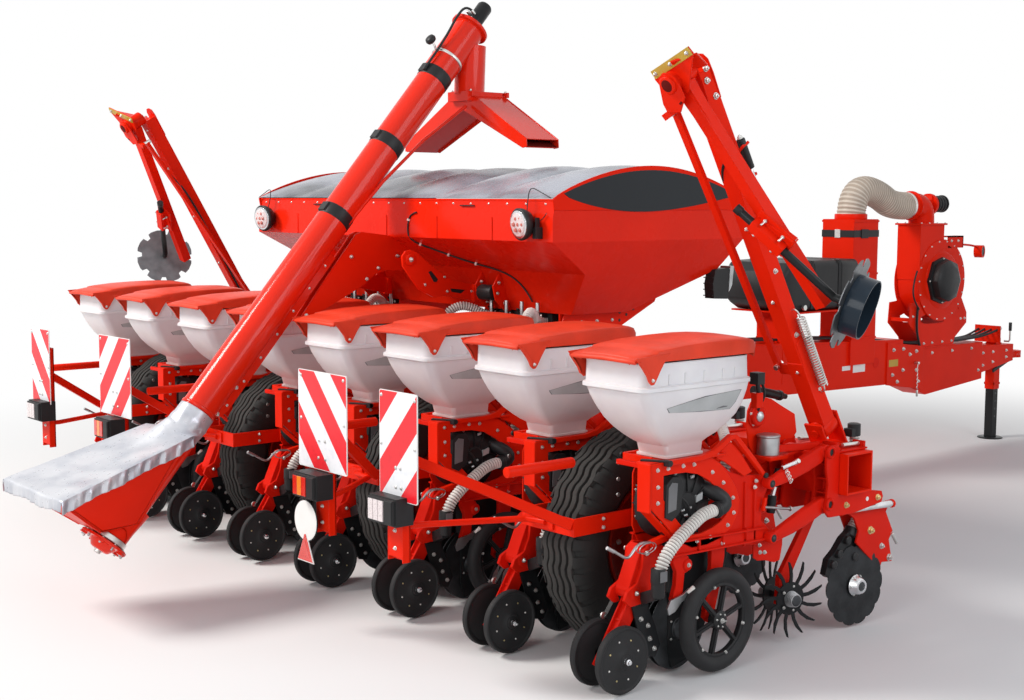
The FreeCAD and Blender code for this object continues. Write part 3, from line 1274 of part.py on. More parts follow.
def marker_disc(spin, hub):
    """The notched disc and the open drum beside it that limits its depth."""
    wall = S.marker_drum_wall.value
    radius = S.marker_disc_radius.value
    disc = Part.makeCylinder(radius, wall, hub, spin)
    side = spin.cross(Vector(0, 0, 1)).normalize()
    for tooth in range(8):
        around = FreeCAD.Rotation(spin, 360.0 * tooth / 8).multVec(side)
        bite = Part.makeCylinder(radius * 0.16, wall * 3, hub + around * radius - spin * wall, spin)
        disc = disc.cut(bite)
    length = S.marker_drum_length.value
    drum = Part.makeCylinder(S.marker_drum_radius.value, length, hub, spin)
    room = Part.makeCylinder(S.marker_drum_radius.value - wall, length, hub + spin * wall, spin)
    feature = doc.addObject("Part::Feature", "marker_disc_shape")
    feature.Shape = disc.fuse(drum.cut(room))
    return feature


def markers():
    """The right-hand marker and its left-hand twin, folded up beside the hopper."""
    forward = Vector(0, LEAN_Z.value, LEAN_Y.value)
    upward = Vector(0, -LEAN_Y.value, LEAN_Z.value)
    dip = math.radians(S.marker_disc_dip.value)
    cant = math.radians(S.marker_disc_cant.value)
    level = Vector(math.cos(dip), 0, 0) - upward * math.sin(dip)
    spin = level * math.cos(cant) + forward * math.sin(cant)
    bend = vector(on_marker(BEND_OUT, BEND_UP, ROD_AHEAD))
    hub = bend + spin * S.marker_spindle.value
    pieces = (marker_lower(), marker_upper(spin, bend, hub), marker_disc(spin, hub))
    for label, piece in zip(("marker_lower", "marker_upper", "marker_disc"), pieces):
        node("right_" + label, group("right_" + label, [piece]))
        node("left_" + label, group("left_" + label, [mirrored(label + "_twin", piece)]))


# ---- warning boards --------------------------------------------------------------------

def boards():
    """Four striped boards and a round one, and the tubes that carry them from the wheel guards."""
    pieces = []
    r = S.board_tube / 2
    back = GUARD_REAR_Y - S.fork_plate
    for side in (1, -1):
        wheels = (TYRE_X[2] * side, TYRE_X[3] * side)
        inner = (wheels[0] + S.inner_board_out * side, S.inner_board_half, S.inner_board_y, wheels[0])
        outer = (wheels[1] - S.outer_board_in * side, S.outer_board_half, S.outer_board_y, wheels[1])
        for number, (middle, half, y, wheel) in enumerate((inner, outer)):
            mark = f"{number}_{side + 1}"
            front = y + S.board_plate
            pieces.append(box(f"board_{mark}", (middle - half, middle + half), (y, front),
                              (S.board_low_z, S.board_low_z + S.board_height)))
            pieces.append(box(f"board_post_{mark}", (middle - r, middle + r), (front, front + S.board_tube),
                              (S.guard_z - S.guard_height / 2, S.board_low_z + S.board_height * 0.8)))
            pieces.append(strut(f"board_arm_{mark}", (middle, front + r, S.guard_z),
                                (wheel, back - S.board_foot * 1.3, S.guard_z), r))
            pieces.append(box(f"board_foot_{mark}", (wheel - r * 3, wheel + r * 3),
                              (back - S.board_foot, back), (S.guard_z - r * 2, S.guard_z + r * 2)))
    front = S.inner_board_y + S.board_plate
    pieces.append(rod("round_board", "Y", (S.round_board_x, S.inner_board_y, S.round_board_z),
                      S.round_board_radius, S.board_plate))
    pieces.append(box("round_board_strap", (S.round_board_x - r, S.round_board_x + r),
                      (front, front + S.board_plate),
                      (S.round_board_z - S.round_board_radius, S.guard_z + r)))
    pieces.append(box("round_board_bar", (S.round_board_x - r, TYRE_X[2] + S.inner_board_out),
                      (front, front + r),
                      (S.guard_z - r, S.guard_z + r)))
    node("warning_boards", fuse("warning_boards", pieces))


# ---- the whole planter --------------------------------------------------------------------

def build():
    """Builds every node."""
    toolbar()
    wheel_arms()
    transport_wheels()
    row_frames()
    seed_hoppers()
    lids()
    seed_meters()
    openers()
    gauge_wheels()
    press_wheels()
    ground_discs()
    fertiliser_hopper()
    hopper_tarp()
    meters_and_hoses()
    node("hopper_stand", group("hopper_stand", hopper_stand() + auger_bracket()))
    auger_tube()
    auger_trough()
    drawbar()
    hitch()
    jack_leg()
    fan_housing()
    fan_hose()
    row_hoses()
    water_tank()
    markers()
    boards()
    doc.recompute()


def refuse_faults():
    """Stops before anything is written if an object failed or a node has no valid solid."""
    for item in doc.Objects:
        if "Invalid" in item.State or "Error" in item.State:
            raise RuntimeError(f"{item.Label} is {item.State}")
    for item in NODES:
        if item.Shape.isNull() or not item.Shape.isValid() or not item.Shape.Solids:
            raise RuntimeError(f"{item.Label} has no valid solid")


def write_parts():
    """Writes each node's shape under its own name."""
    os.makedirs(OUT_FOLDER, exist_ok=True)
    for item in NODES:
        item.Shape.exportStep(os.path.join(OUT_FOLDER, item.Label + ".step"))


build()
refuse_faults()
write_parts()
print(len(NODES), "nodes")
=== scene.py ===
import bmesh
import bpy
import json
import math
from mathutils import Matrix, Vector

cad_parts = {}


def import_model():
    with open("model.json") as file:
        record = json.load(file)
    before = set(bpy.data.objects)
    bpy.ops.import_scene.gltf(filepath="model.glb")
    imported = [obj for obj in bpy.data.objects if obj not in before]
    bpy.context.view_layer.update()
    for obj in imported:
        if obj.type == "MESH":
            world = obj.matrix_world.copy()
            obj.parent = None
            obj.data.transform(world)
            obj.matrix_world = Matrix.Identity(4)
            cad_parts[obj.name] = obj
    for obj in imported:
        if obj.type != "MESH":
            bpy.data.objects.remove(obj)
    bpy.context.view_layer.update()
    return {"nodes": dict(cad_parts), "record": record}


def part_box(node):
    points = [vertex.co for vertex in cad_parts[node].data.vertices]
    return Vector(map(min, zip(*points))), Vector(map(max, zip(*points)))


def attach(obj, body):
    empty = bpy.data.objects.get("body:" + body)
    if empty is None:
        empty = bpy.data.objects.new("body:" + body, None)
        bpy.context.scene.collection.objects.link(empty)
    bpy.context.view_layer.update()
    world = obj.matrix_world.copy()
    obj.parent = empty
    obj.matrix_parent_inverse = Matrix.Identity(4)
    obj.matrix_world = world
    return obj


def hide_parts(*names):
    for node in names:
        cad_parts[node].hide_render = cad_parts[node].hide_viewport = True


# An eight-row trailed precision planter, metres, +Z up, +Y towards the tractor. The packed
# model is the frame. Each row is made once, in row coordinates: x across the row, y ahead
# of the press wheels' axle, z above the ground. The rest is counted from the same axle line.

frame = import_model()
nodes = frame["nodes"]


def middle(node):
    low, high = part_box(node)
    return (low + high) / 2


ROW_COUNT, TYRE_COUNT = 8, 4
TYRE_AHEAD = 0.610
ROWS = [middle(f"press_wheels_{number + 1}").x for number in range(ROW_COUNT)]
AXLE_Y = middle("tyre_1").y - TYRE_AHEAD
TYRES = [middle(f"tyre_{number + 1}") for number in range(TYRE_COUNT)]


def at(x, y, z):
    """A point given from the machine's middle plane and the press wheels' axle line."""
    return Vector((x, y + AXLE_Y, z))


# ---- materials --------------------------------------------------------------------------

PAINT_SHINE, PLASTIC_SHINE = 0.06, 0.22
BEVEL_FROM = 38

def new_material(name, colour, roughness, metallic=0.0):
    """A principled material with its base colour, roughness and metalness set."""
    material = bpy.data.materials.new(name)
    material.use_nodes = True
    tree = material.node_tree
    shader = tree.nodes["Principled BSDF"]
    shader.inputs["Base Color"].default_value = (*colour, 1)
    shader.inputs["Roughness"].default_value = roughness
    shader.inputs["Metallic"].default_value = metallic
    return material, tree, shader


def add_node(tree, kind, **values):
    """A node with its inputs and properties set by name."""
    item = tree.nodes.new("ShaderNode" + kind)
    for name, value in values.items():
        if hasattr(item, name):
            setattr(item, name, value)
        else:
            item.inputs[name.replace("_", " ")].default_value = value
    return item


def noise(tree, scale, detail=4.0, stretch=None):
    """A noise pattern fixed to the object, and its output from 0 to 1."""
    place = add_node(tree, "TexCoord").outputs["Object"]
    if stretch:
        mapping = add_node(tree, "Mapping")
        mapping.inputs["Scale"].default_value = stretch
        tree.links.new(place, mapping.inputs["Vector"])
        place = mapping.outputs["Vector"]
    texture = add_node(tree, "TexNoise", Scale=scale, Detail=detail)
    tree.links.new(place, texture.inputs["Vector"])
    return texture.outputs["Fac"]


def ramp(tree, source, low, high, start=0.35, end=0.65):
    """Turns a pattern into a colour between two others."""
    item = add_node(tree, "ValToRGB")
    item.color_ramp.elements[0].position = start
    item.color_ramp.elements[1].position = end
    item.color_ramp.elements[0].color = (*low, 1)
    item.color_ramp.elements[1].color = (*high, 1)
    tree.links.new(source, item.inputs["Fac"])
    return item.outputs["Color"]


def spread(tree, source, low, high):
    """Turns a pattern into a number between two others."""
    item = add_node(tree, "MapRange", To_Min=low, To_Max=high)
    tree.links.new(source, item.inputs["Value"])
    return item.outputs["Result"]


def shade(colour, amount):
    return tuple(min(1.0, channel * amount) for channel in colour)


def bumped(tree, shader, height, strength, distance, corner=0.0):
    """Surface relief from a pattern, over corners that are rounded by a few millimetres."""
    bump = add_node(tree, "Bump", Strength=strength, Distance=distance)
    tree.links.new(height, bump.inputs["Height"])
    if corner:
        bevel = add_node(tree, "Bevel", samples=4, Radius=corner)
        tree.links.new(bevel.outputs["Normal"], bump.inputs["Normal"])
    tree.links.new(bump.outputs["Normal"], shader.inputs["Normal"])


def paint(name, colour, roughness=0.32, corner=0.004, coat=0.35):
    """Sprayed paint: faint colour drift, a fine orange-peel skin and rounded corners."""
    material, tree, shader = new_material(name, colour, roughness)
    drift = noise(tree, 2.3)
    tree.links.new(ramp(tree, drift, shade(colour, 0.94), shade(colour, 1.04)), shader.inputs["Base Color"])
    tree.links.new(spread(tree, noise(tree, 9.0), roughness - 0.07, roughness + 0.1),
                   shader.inputs["Roughness"])
    bumped(tree, shader, noise(tree, 420.0, 2.0), 0.12, 0.0008, corner)
    shader.inputs["Specular IOR Level"].default_value = PAINT_SHINE
    shader.inputs["Coat Weight"].default_value = coat
    shader.inputs["Coat Roughness"].default_value = 0.12
    return material


def plastic(name, colour, roughness=0.45, grain=260.0, relief=0.2, corner=0.003):
    """Moulded plastic or rubber with a fine grain."""
    material, tree, shader = new_material(name, colour, roughness)
    shader.inputs["Specular IOR Level"].default_value = PLASTIC_SHINE
    drift = noise(tree, 6.0)
    tree.links.new(ramp(tree, drift, shade(colour, 0.90), shade(colour, 1.10)), shader.inputs["Base Color"])
    tree.links.new(spread(tree, noise(tree, 30.0), roughness - 0.08, roughness + 0.1),
                   shader.inputs["Roughness"])
    bumped(tree, shader, noise(tree, grain, 3.0), relief, 0.0008, corner)
    return material


def metal(name, colour, roughness=0.3, stretch=(1, 1, 1), corner=0.0015):
    """Plated or brushed steel."""
    material, tree, shader = new_material(name, colour, roughness, 1.0)
    drift = noise(tree, 14.0)
    tree.links.new(ramp(tree, drift, shade(colour, 0.82), shade(colour, 1.12)), shader.inputs["Base Color"])
    tree.links.new(spread(tree, noise(tree, 60.0, 3.0, stretch), roughness - 0.1, roughness + 0.14),
                   shader.inputs["Roughness"])
    bumped(tree, shader, noise(tree, 300.0, 2.0, stretch), 0.15, 0.0004, corner)
    return material


def milky_plastic():
    """The hoppers' translucent white plastic, with painted shade: warmer and darker towards the bottom, for
    what stands behind and below.
    """
    colour = (0.80, 0.79, 0.80)
    material, tree, shader = new_material("milky_plastic", colour, 0.38)
    place = add_node(tree, "TexCoord").outputs["Object"]
    split = add_node(tree, "SeparateXYZ")
    tree.links.new(place, split.inputs["Vector"])
    # Painted shade: the colour turns warmer and darker towards the hopper's bottom, for its shaded inside and
    # the red parts seen through it.
    height = add_node(tree, "MapRange", From_Min=1.0, From_Max=1.34)
    tree.links.new(split.outputs["Z"], height.inputs["Value"])
    painted_shade_tint = ramp(tree, height.outputs["Result"], (0.72, 0.60, 0.58), colour, 0.0, 1.0)
    cloud = ramp(tree, noise(tree, 5.0), (0.90, 0.88, 0.90), (1, 1, 1))
    mix = add_node(tree, "Mix", data_type="RGBA", blend_type="MULTIPLY")
    mix.inputs["Factor"].default_value = 0.8
    tree.links.new(painted_shade_tint, mix.inputs["A"])
    tree.links.new(cloud, mix.inputs["B"])
    tree.links.new(mix.outputs["Result"], shader.inputs["Base Color"])
    bumped(tree, shader, noise(tree, 190.0, 3.0), 0.12, 0.0006, 0.004)
    shader.inputs["Subsurface Weight"].default_value = 0.25
    shader.inputs["Subsurface Radius"].default_value = (0.03, 0.025, 0.02)
    return material


def woven(name, light, dark, roughness, scale=900.0, creases=7.0, metallic=0.0):
    """Coated cloth: a fine weave under soft creases, with painted highlight and shade: lighter and darker
    patches that follow the creases.
    """
    material, tree, shader = new_material(name, light, roughness)
    shader.inputs["Metallic"].default_value = metallic
    crease = noise(tree, creases, 6.0, (1, 1.6, 1))
    # Painted highlight and shade: the colour runs from dark to light with the same crease pattern that bends
    # the surface.
    tree.links.new(ramp(tree, crease, dark, light, 0.3, 0.62), shader.inputs["Base Color"])
    tree.links.new(spread(tree, noise(tree, 40.0), roughness - 0.1, roughness + 0.12),
                   shader.inputs["Roughness"])
    weave = add_node(tree, "TexWave", Scale=scale, bands_direction="DIAGONAL")
    tree.links.new(add_node(tree, "TexCoord").outputs["Object"], weave.inputs["Vector"])
    fine = add_node(tree, "Bump", Strength=0.05, Distance=0.0003)
    tree.links.new(weave.outputs["Fac"], fine.inputs["Height"])
    fold = add_node(tree, "Bump", Strength=0.35, Distance=0.008)
    tree.links.new(crease, fold.inputs["Height"])
    tree.links.new(fine.outputs["Normal"], fold.inputs["Normal"])
    tree.links.new(fold.outputs["Normal"], shader.inputs["Normal"])
    return material


def glowing_glass(name, colour, strength):
    """A lamp's moulded lens."""
    material, tree, shader = new_material(name, colour, 0.12)
    cells = add_node(tree, "TexVoronoi", Scale=160.0)
    tree.links.new(add_node(tree, "TexCoord").outputs["Object"], cells.inputs["Vector"])
    tree.links.new(ramp(tree, cells.outputs["Distance"], shade(colour, 0.6), colour, 0.0, 0.6),
                   shader.inputs["Base Color"])
    bumped(tree, shader, cells.outputs["Distance"], 0.5, 0.001)
    shader.inputs["Coat Weight"].default_value = 0.8
    shader.inputs["Emission Color"].default_value = (*colour, 1)
    shader.inputs["Emission Strength"].default_value = strength
    return material


RED = paint("red_paint", (0.80, 0.018, 0.003), 0.32, 0.004, 0.03)
CAST_RED = paint("cast_red", (0.70, 0.013, 0.004), 0.40, 0.006, 0.03)
LID_RED = plastic("lid_red", (0.74, 0.050, 0.018), 0.42, 240.0, 0.15)
BLACK = plastic("black_plastic", (0.018, 0.018, 0.019), 0.42)
BLACK_PAINT = paint("black_paint", (0.016, 0.017, 0.018), 0.38, 0.003, 0.2)
RUBBER = plastic("rubber", (0.022, 0.022, 0.023), 0.62, 180.0, 0.3)
TYRE_RUBBER = plastic("tyre_rubber", (0.020, 0.0195, 0.019), 0.72, 120.0, 0.35, 0.0)
WORN_TREAD = plastic("worn_tread", (0.040, 0.038, 0.036), 0.8, 120.0, 0.35, 0.0)
MILKY = milky_plastic()
ZINC = metal("zinc", (0.62, 0.62, 0.60), 0.34)
YELLOW_ZINC = metal("yellow_zinc", (0.66, 0.55, 0.28), 0.36)
CHROME = metal("chrome", (0.70, 0.71, 0.73), 0.16)
DISC_STEEL = metal("disc_steel", (0.075, 0.080, 0.085), 0.42)
GREY_STEEL = metal("grey_steel", (0.42, 0.43, 0.44), 0.38)
RIM_PAINT = paint("rim_paint", (0.30, 0.022, 0.012), 0.5)
PANEL_GREY = plastic("panel_grey", (0.42, 0.43, 0.43), 0.4, 400.0, 0.08, 0.0)
PANEL_EDGE = plastic("panel_edge", (0.16, 0.16, 0.165), 0.45, 400.0, 0.08, 0.0)
# The walls between the hoses' ribs are painted shade: darker than the ribs, for the hoses' shaded inside seen
# through the clear wall.
HOSE_RIB = plastic("hose_rib", (0.78, 0.76, 0.72), 0.28, 300.0, 0.1, 0.0)
HOSE_WALL_PAINTED_SHADE = plastic("hose_wall_painted_shade", (0.33, 0.29, 0.27), 0.25, 300.0, 0.1, 0.0)
DUCT_RIB = plastic("duct_rib", (0.66, 0.58, 0.49), 0.4, 300.0, 0.1, 0.0)
DUCT_WALL_PAINTED_SHADE = plastic("duct_wall_painted_shade", (0.44, 0.36, 0.29), 0.4, 300.0, 0.1, 0.0)
# The light and dark colours of the tarp and the cover are the two ends of their painted highlight and shade.
TARP = woven("tarp_cloth", (0.36, 0.38, 0.44), (0.085, 0.090, 0.105), 0.26, 900.0, 1.6)
COVER = woven("cover_cloth", (0.66, 0.67, 0.71), (0.44, 0.46, 0.52), 0.30, 900.0, 5.0, 0.55)
WHITE_PAINT = paint("white_paint", (0.82, 0.82, 0.80), 0.35, 0.002)
YELLOW_PAINT = paint("yellow_paint", (0.52, 0.34, 0.05), 0.4, 0.002)
LENS_CLEAR = glowing_glass("lens_clear", (0.75, 0.66, 0.66), 0.0)
# LENS_RED glows faintly; on the red reflector triangle under the round plate that glow is painted light.
LENS_RED = glowing_glass("lens_red", (0.60, 0.02, 0.01), 0.15)
LENS_AMBER = glowing_glass("lens_amber", (0.80, 0.22, 0.02), 0.15)

CAD_LOOK = {
    "red_paint": RED, "tyre": TYRE_RUBBER, "wheel_paint": RIM_PAINT, "seed_plastic": MILKY,
    "lid_plastic": LID_RED, "black_plastic": BLACK, "black_paint": BLACK_PAINT,
    "wheel_rubber": RUBBER, "disc_steel": DISC_STEEL, "tarp_fabric": TARP, "cover_fabric": COVER,
    "clear_hose": HOSE_RIB, "board_paint": RED,
}
for part in frame["record"]["subparts"]:
    for holder in nodes[part["node"]].material_slots:
        holder.material = CAD_LOOK[part["material_slot"]]


# ---- shapes -----------------------------------------------------------------------------

class Shape:
    """One mesh under construction. Each call adds a closed piece in the given material."""

    def __init__(self):
        self.mesh = bmesh.new()
        self.materials = []

    def number(self, material):
        if material not in self.materials:
            self.materials.append(material)
        return self.materials.index(material)

    def face(self, corners, material):
        item = self.mesh.faces.new(corners)
        item.material_index = self.number(material)
        return item

    def rings(self, rings, material, closed=True, caps=True):
        """Joins rings of points, each with as many points as the next."""
        made = [[self.mesh.verts.new(point) for point in ring] for ring in rings]
        count = len(made[0])
        wrap = count if closed else count - 1
        for ring, following in zip(made, made[1:]):
            for step in range(wrap):
                after = (step + 1) % count
                self.face((ring[step], ring[after], following[after], following[step]), material)
        if caps:
            self.face(made[0][::-1], material)
            self.face(made[-1], material)
        return made

    def plate(self, outline, low, high, material, axis="X"):
        """An outline in the plane across axis, as thick as from low to high."""
        place = {"X": lambda u, v, w: (w, u, v), "Y": lambda u, v, w: (u, w, v),
                 "Z": lambda u, v, w: (u, v, w)}
        self.rings([[place[axis](u, v, w) for u, v in outline] for w in (low, high)], material)

    def wall(self, outline, side, near, far, material):
        """An outline across X on one side of the middle, from near to far out."""
        self.plate(outline, *sorted((side * near, side * far)), material)

    def box(self, start, end, material):
        """A box between two opposite corners."""
        low, high = [[pick(pair) for pair in zip(start, end)] for pick in (min, max)]
        outline = [(low[0], low[1]), (high[0], low[1]), (high[0], high[1]), (low[0], high[1])]
        self.plate(outline, low[2], high[2], material, "Z")

    def beam(self, start, end, width, depth, material, side=(1, 0, 0), taper=1.0):
        """A rectangular bar between two points, width across side, deep across the rest."""
        start, end = Vector(start), Vector(end)
        along = (end - start).normalized()
        side = Vector(side)
        across = (side - along * side.dot(along)).normalized()
        deep = along.cross(across)
        rings = []
        for point, scale in ((start, 1.0), (end, taper)):
            w, d = across * width / 2 * scale, deep * depth / 2 * scale
            rings.append([point - w - d, point + w - d, point + w + d, point - w + d])
        self.rings(rings, material)

    def turned(self, profile, centre, axis, material, sides=28, caps=True):
        """A body of revolution. profile lists (along the axis, radius)."""
        centre, axis = Vector(centre), Vector(axis).normalized()
        first = axis.orthogonal().normalized()
        second = axis.cross(first)
        rings = []
        for along, radius in profile:
            ring = []
            for step in range(sides):
                angle = math.tau * step / sides
                ring.append(centre + axis * along + (first * math.cos(angle)
                                                     + second * math.sin(angle)) * radius)
            rings.append(ring)
        self.rings(rings, material, caps=caps)

    def rod(self, start, end, radius, material, sides=16):
        start, end = Vector(start), Vector(end)
        length = (end - start).length
        chamfer = min(0.002, radius * 0.3, length * 0.3)
        self.turned([(0, radius - chamfer), (chamfer, radius), (length - chamfer, radius),
                     (length, radius - chamfer)], start, end - start, material, sides)

    def bolt(self, place, axis, size, material=None):
        """A washer, a hexagon head and the end of its thread."""
        material = material or ZINC
        place, axis = Vector(place), Vector(axis).normalized()
        self.turned([(-0.001, size * 1.15), (size * 0.22, size * 1.15)], place, axis, material, 10)
        self.turned([(size * 0.2, size * 0.9), (size * 0.75, size * 0.9), (size * 0.9, size * 0.78)],
                    place, axis, material, 6)
        self.turned([(size * 0.8, size * 0.45), (size * 1.35, size * 0.42)], place, axis, material, 6)

    def pipe(self, points, radius, material, sides=12, caps=True):
        """A round bar or tube along points, turning smoothly with them."""
        self.ribbed(points, [radius] * len(points), [material] * len(points), sides, caps)

    def ribbed(self, points, radii, materials, sides, caps=True):
        """A tube whose radius and material are given at each point."""
        points = [Vector(point) for point in points]
        before = points[1] - points[0]
        across = before.normalized().orthogonal().normalized()
        rings = []
        for number, point in enumerate(points):
            ahead = points[min(number + 1, len(points) - 1)]
            behind = points[max(number - 1, 0)]
            along = (ahead - behind).normalized()
            across = (across - along * across.dot(along)).normalized()
            up = along.cross(across)
            turn = [math.tau * step / sides for step in range(sides)]
            rings.append([self.mesh.verts.new(point + (across * math.cos(a)
                                                       + up * math.sin(a)) * radii[number])
                          for a in turn])
        for number, (ring, following) in enumerate(zip(rings, rings[1:])):
            for step in range(sides):
                after = (step + 1) % sides
                self.face((ring[step], ring[after], following[after], following[step]), materials[number])
        if caps:
            self.face(rings[0][::-1], materials[0])
            self.face(rings[-1], materials[-1])

    def data(self, name, bevel=0.0, smooth=40.0, subdivide=0):
        """The finished mesh, with softened edges."""
        bmesh.ops.recalc_face_normals(self.mesh, faces=self.mesh.faces)
        mesh = bpy.data.meshes.new(name)
        self.mesh.to_mesh(mesh)
        self.mesh.free()
        for material in self.materials:
            mesh.materials.append(material)
        if bevel or subdivide:
            mesh = modified(mesh, bevel, subdivide)
            mesh.name = name
        mesh.shade_smooth()
        mesh.set_sharp_from_angle(angle=math.radians(smooth))
        return mesh


def linked(name, data):
    """A new object in the scene that shows the data."""
    item = bpy.data.objects.new(name, data)
    bpy.context.scene.collection.objects.link(item)
    return item


def baked(holder):
    """The holder's mesh as its modifiers or curve settings make it. The holder goes."""
    bpy.context.view_layer.update()
    result = bpy.data.meshes.new_from_object(holder.evaluated_get(bpy.context.evaluated_depsgraph_get()))
    bpy.data.objects.remove(holder)
    return result


def modified(mesh, bevel, subdivide):
    """The mesh with its sharp edges rounded, or subdivided."""
    holder = linked("holder", mesh)
    if bevel:
        rounding = holder.modifiers.new("edges", "BEVEL")
        rounding.width = bevel
        rounding.segments = 1
        rounding.limit_method = "ANGLE"
        rounding.angle_limit = math.radians(BEVEL_FROM)
        rounding.harden_normals = False
    if subdivide:
        rounding = holder.modifiers.new("smooth", "SUBSURF")
        rounding.levels = subdivide
        rounding.render_levels = subdivide
    return baked(holder)


def show(name, mesh, body, replaced=(), place=(0, 0, 0)):
    """Puts a finished mesh on its body."""
    item = linked(name, mesh)
    item.location = place
    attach(item, body)
    if replaced:
        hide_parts(*replaced)
    return item


def smooth_line(route, count):
    """Points evenly spaced along the NURBS line whose control points are the route."""
    curve = bpy.data.curves.new("route", "CURVE")
    curve.dimensions = "3D"
    curve.resolution_u = 24
    spline = curve.splines.new("NURBS")
    spline.points.add(len(route) - 1)
    for point, place in zip(spline.points, route):
        point.co = (*place, 1)
    spline.use_endpoint_u = True
    spline.order_u = 3
    points = [vertex.co.copy() for vertex in baked(linked("route", curve)).vertices]
    lengths = [0.0]
    for before, after in zip(points, points[1:]):
        lengths.append(lengths[-1] + (after - before).length)
    total = lengths[-1]
    count = count if isinstance(count, int) else max(2, int(total / count))
    result, here = [], 0
    for step in range(count + 1):
        target = total * step / count
        while here < len(points) - 2 and lengths[here + 1] < target:
            here += 1
        span = lengths[here + 1] - lengths[here]
        share = (target - lengths[here]) / span if span else 0
        result.append(points[here].lerp(points[here + 1], min(1, share)))
    return result


def corrugated(shape, route, radius, pitch, rib, wall, sides=14, depth=0.13):
    """A wire-wound hose: ribs of one material with the darker wall between them, whose darkness is painted
    shade.
    """
    points = smooth_line(route, pitch / 4)
    radii = [radius * (1, 1, 1 - depth, 1 - depth)[number % 4] for number in range(len(points))]
    looks = [(rib, rib, wall, wall)[number % 4] for number in range(len(points))]
    shape.ribbed(points, radii, looks, sides)


# ---- row units ----------------------------------------------------------------------------

SIDES = (-1, 1)
PLATE_IN, PLATE_OUT = 0.110, 0.120


def rounded(half, rear, front, radius, z, corner=5):
    """A level ring of points: a rectangle across x and y with rounded corners."""
    ring = []
    for number, (sx, y) in enumerate(((1, front), (-1, front), (-1, rear), (1, rear))):
        inner_x = sx * (half - radius)
        inner_y = y - radius if y == front else y + radius
        for step in range(corner + 1):
            angle = math.pi / 2 * (number + step / corner)
            ring.append((inner_x + radius * math.cos(angle), inner_y + radius * math.sin(angle), z))
    return ring


HOPPER_SECTIONS = [
    (1.010, 0.097, 0.290, 0.540, 0.022), (1.020, 0.097, 0.290, 0.540, 0.022),
    (1.022, 0.090, 0.298, 0.534, 0.022), (1.066, 0.094, 0.286, 0.537, 0.024),
    (1.082, 0.105, 0.255, 0.560, 0.028), (1.105, 0.122, 0.222, 0.605, 0.032),
    (1.140, 0.143, 0.178, 0.645, 0.038), (1.185, 0.163, 0.135, 0.694, 0.044),
    (1.235, 0.180, 0.102, 0.719, 0.048), (1.290, 0.190, 0.070, 0.736, 0.050),
    (1.322, 0.195, 0.058, 0.741, 0.050), (1.329, 0.197, 0.048, 0.742, 0.050),
    (1.331, 0.204, 0.038, 0.745, 0.052), (1.347, 0.204, 0.038, 0.745, 0.052),
    (1.350, 0.200, 0.042, 0.741, 0.050), (1.353, 0.193, 0.049, 0.735, 0.048),
    (1.440, 0.191, 0.051, 0.732, 0.048), (1.450, 0.192, 0.050, 0.733, 0.048),
]
PANEL_OUTLINE = [(0.196, 1.252), (0.430, 1.287), (0.668, 1.298), (0.640, 1.243), (0.612, 1.212),
                 (0.420, 1.218), (0.214, 1.232)]


def hopper_wall(z):
    """How far out the hopper's side wall stands at a height."""
    for low, high in zip(HOPPER_SECTIONS, HOPPER_SECTIONS[1:]):
        if low[0] <= z <= high[0]:
            share = (z - low[0]) / (high[0] - low[0])
            return low[1] + (high[1] - low[1]) * share
    return HOPPER_SECTIONS[-1][1]


def hopper_mesh():
    """The translucent seed hopper: an outer and an inner skin joined at the rim."""
    shape = Shape()
    outside = [rounded(half, rear, front, radius, z, 6) for z, half, rear, front, radius in HOPPER_SECTIONS]
    inside = [rounded(half - 0.005, rear + 0.005, front - 0.005, max(0.01, radius - 0.005), z, 6)
              for z, half, rear, front, radius in HOPPER_SECTIONS[::-1] if z > 1.021]
    shape.rings(outside + inside, MILKY)
    for y in (0.20, 0.30, 0.42, 0.54, 0.62):
        shape.plate([(y - 0.006, 1.356), (y + 0.006, 1.356), (y + 0.004, 1.40), (y - 0.004, 1.40)],
                    0.190, 0.1955, MILKY)
    return shape.data("hopper", smooth=32)


def panel_mesh():
    """The blank grey tapered panel with a dark edge on the hopper's side."""
    shape = Shape()
    centre = Vector((0.43, 1.25))
    for grow, look, lift in ((1.0, PANEL_EDGE, 0.0012), (0.93, PANEL_GREY, 0.0020)):
        outline = []
        for number, corner in enumerate(PANEL_OUTLINE):
            following = Vector(PANEL_OUTLINE[(number + 1) % len(PANEL_OUTLINE)])
            for step in range(6):
                point = Vector(corner).lerp(following, step / 6)
                away = point - centre
                inset = 1 - (1 - grow) * 0.055 / max(0.02, away.length)
                outline.append(centre + away * min(1, inset if grow < 1 else 1))
        rings = []
        for thick in (0.0, lift):
            rings.append([(hopper_wall(z) + thick + 0.0004, y, z) for y, z in outline])
        shape.rings(rings, look)
    return shape.data("panel")


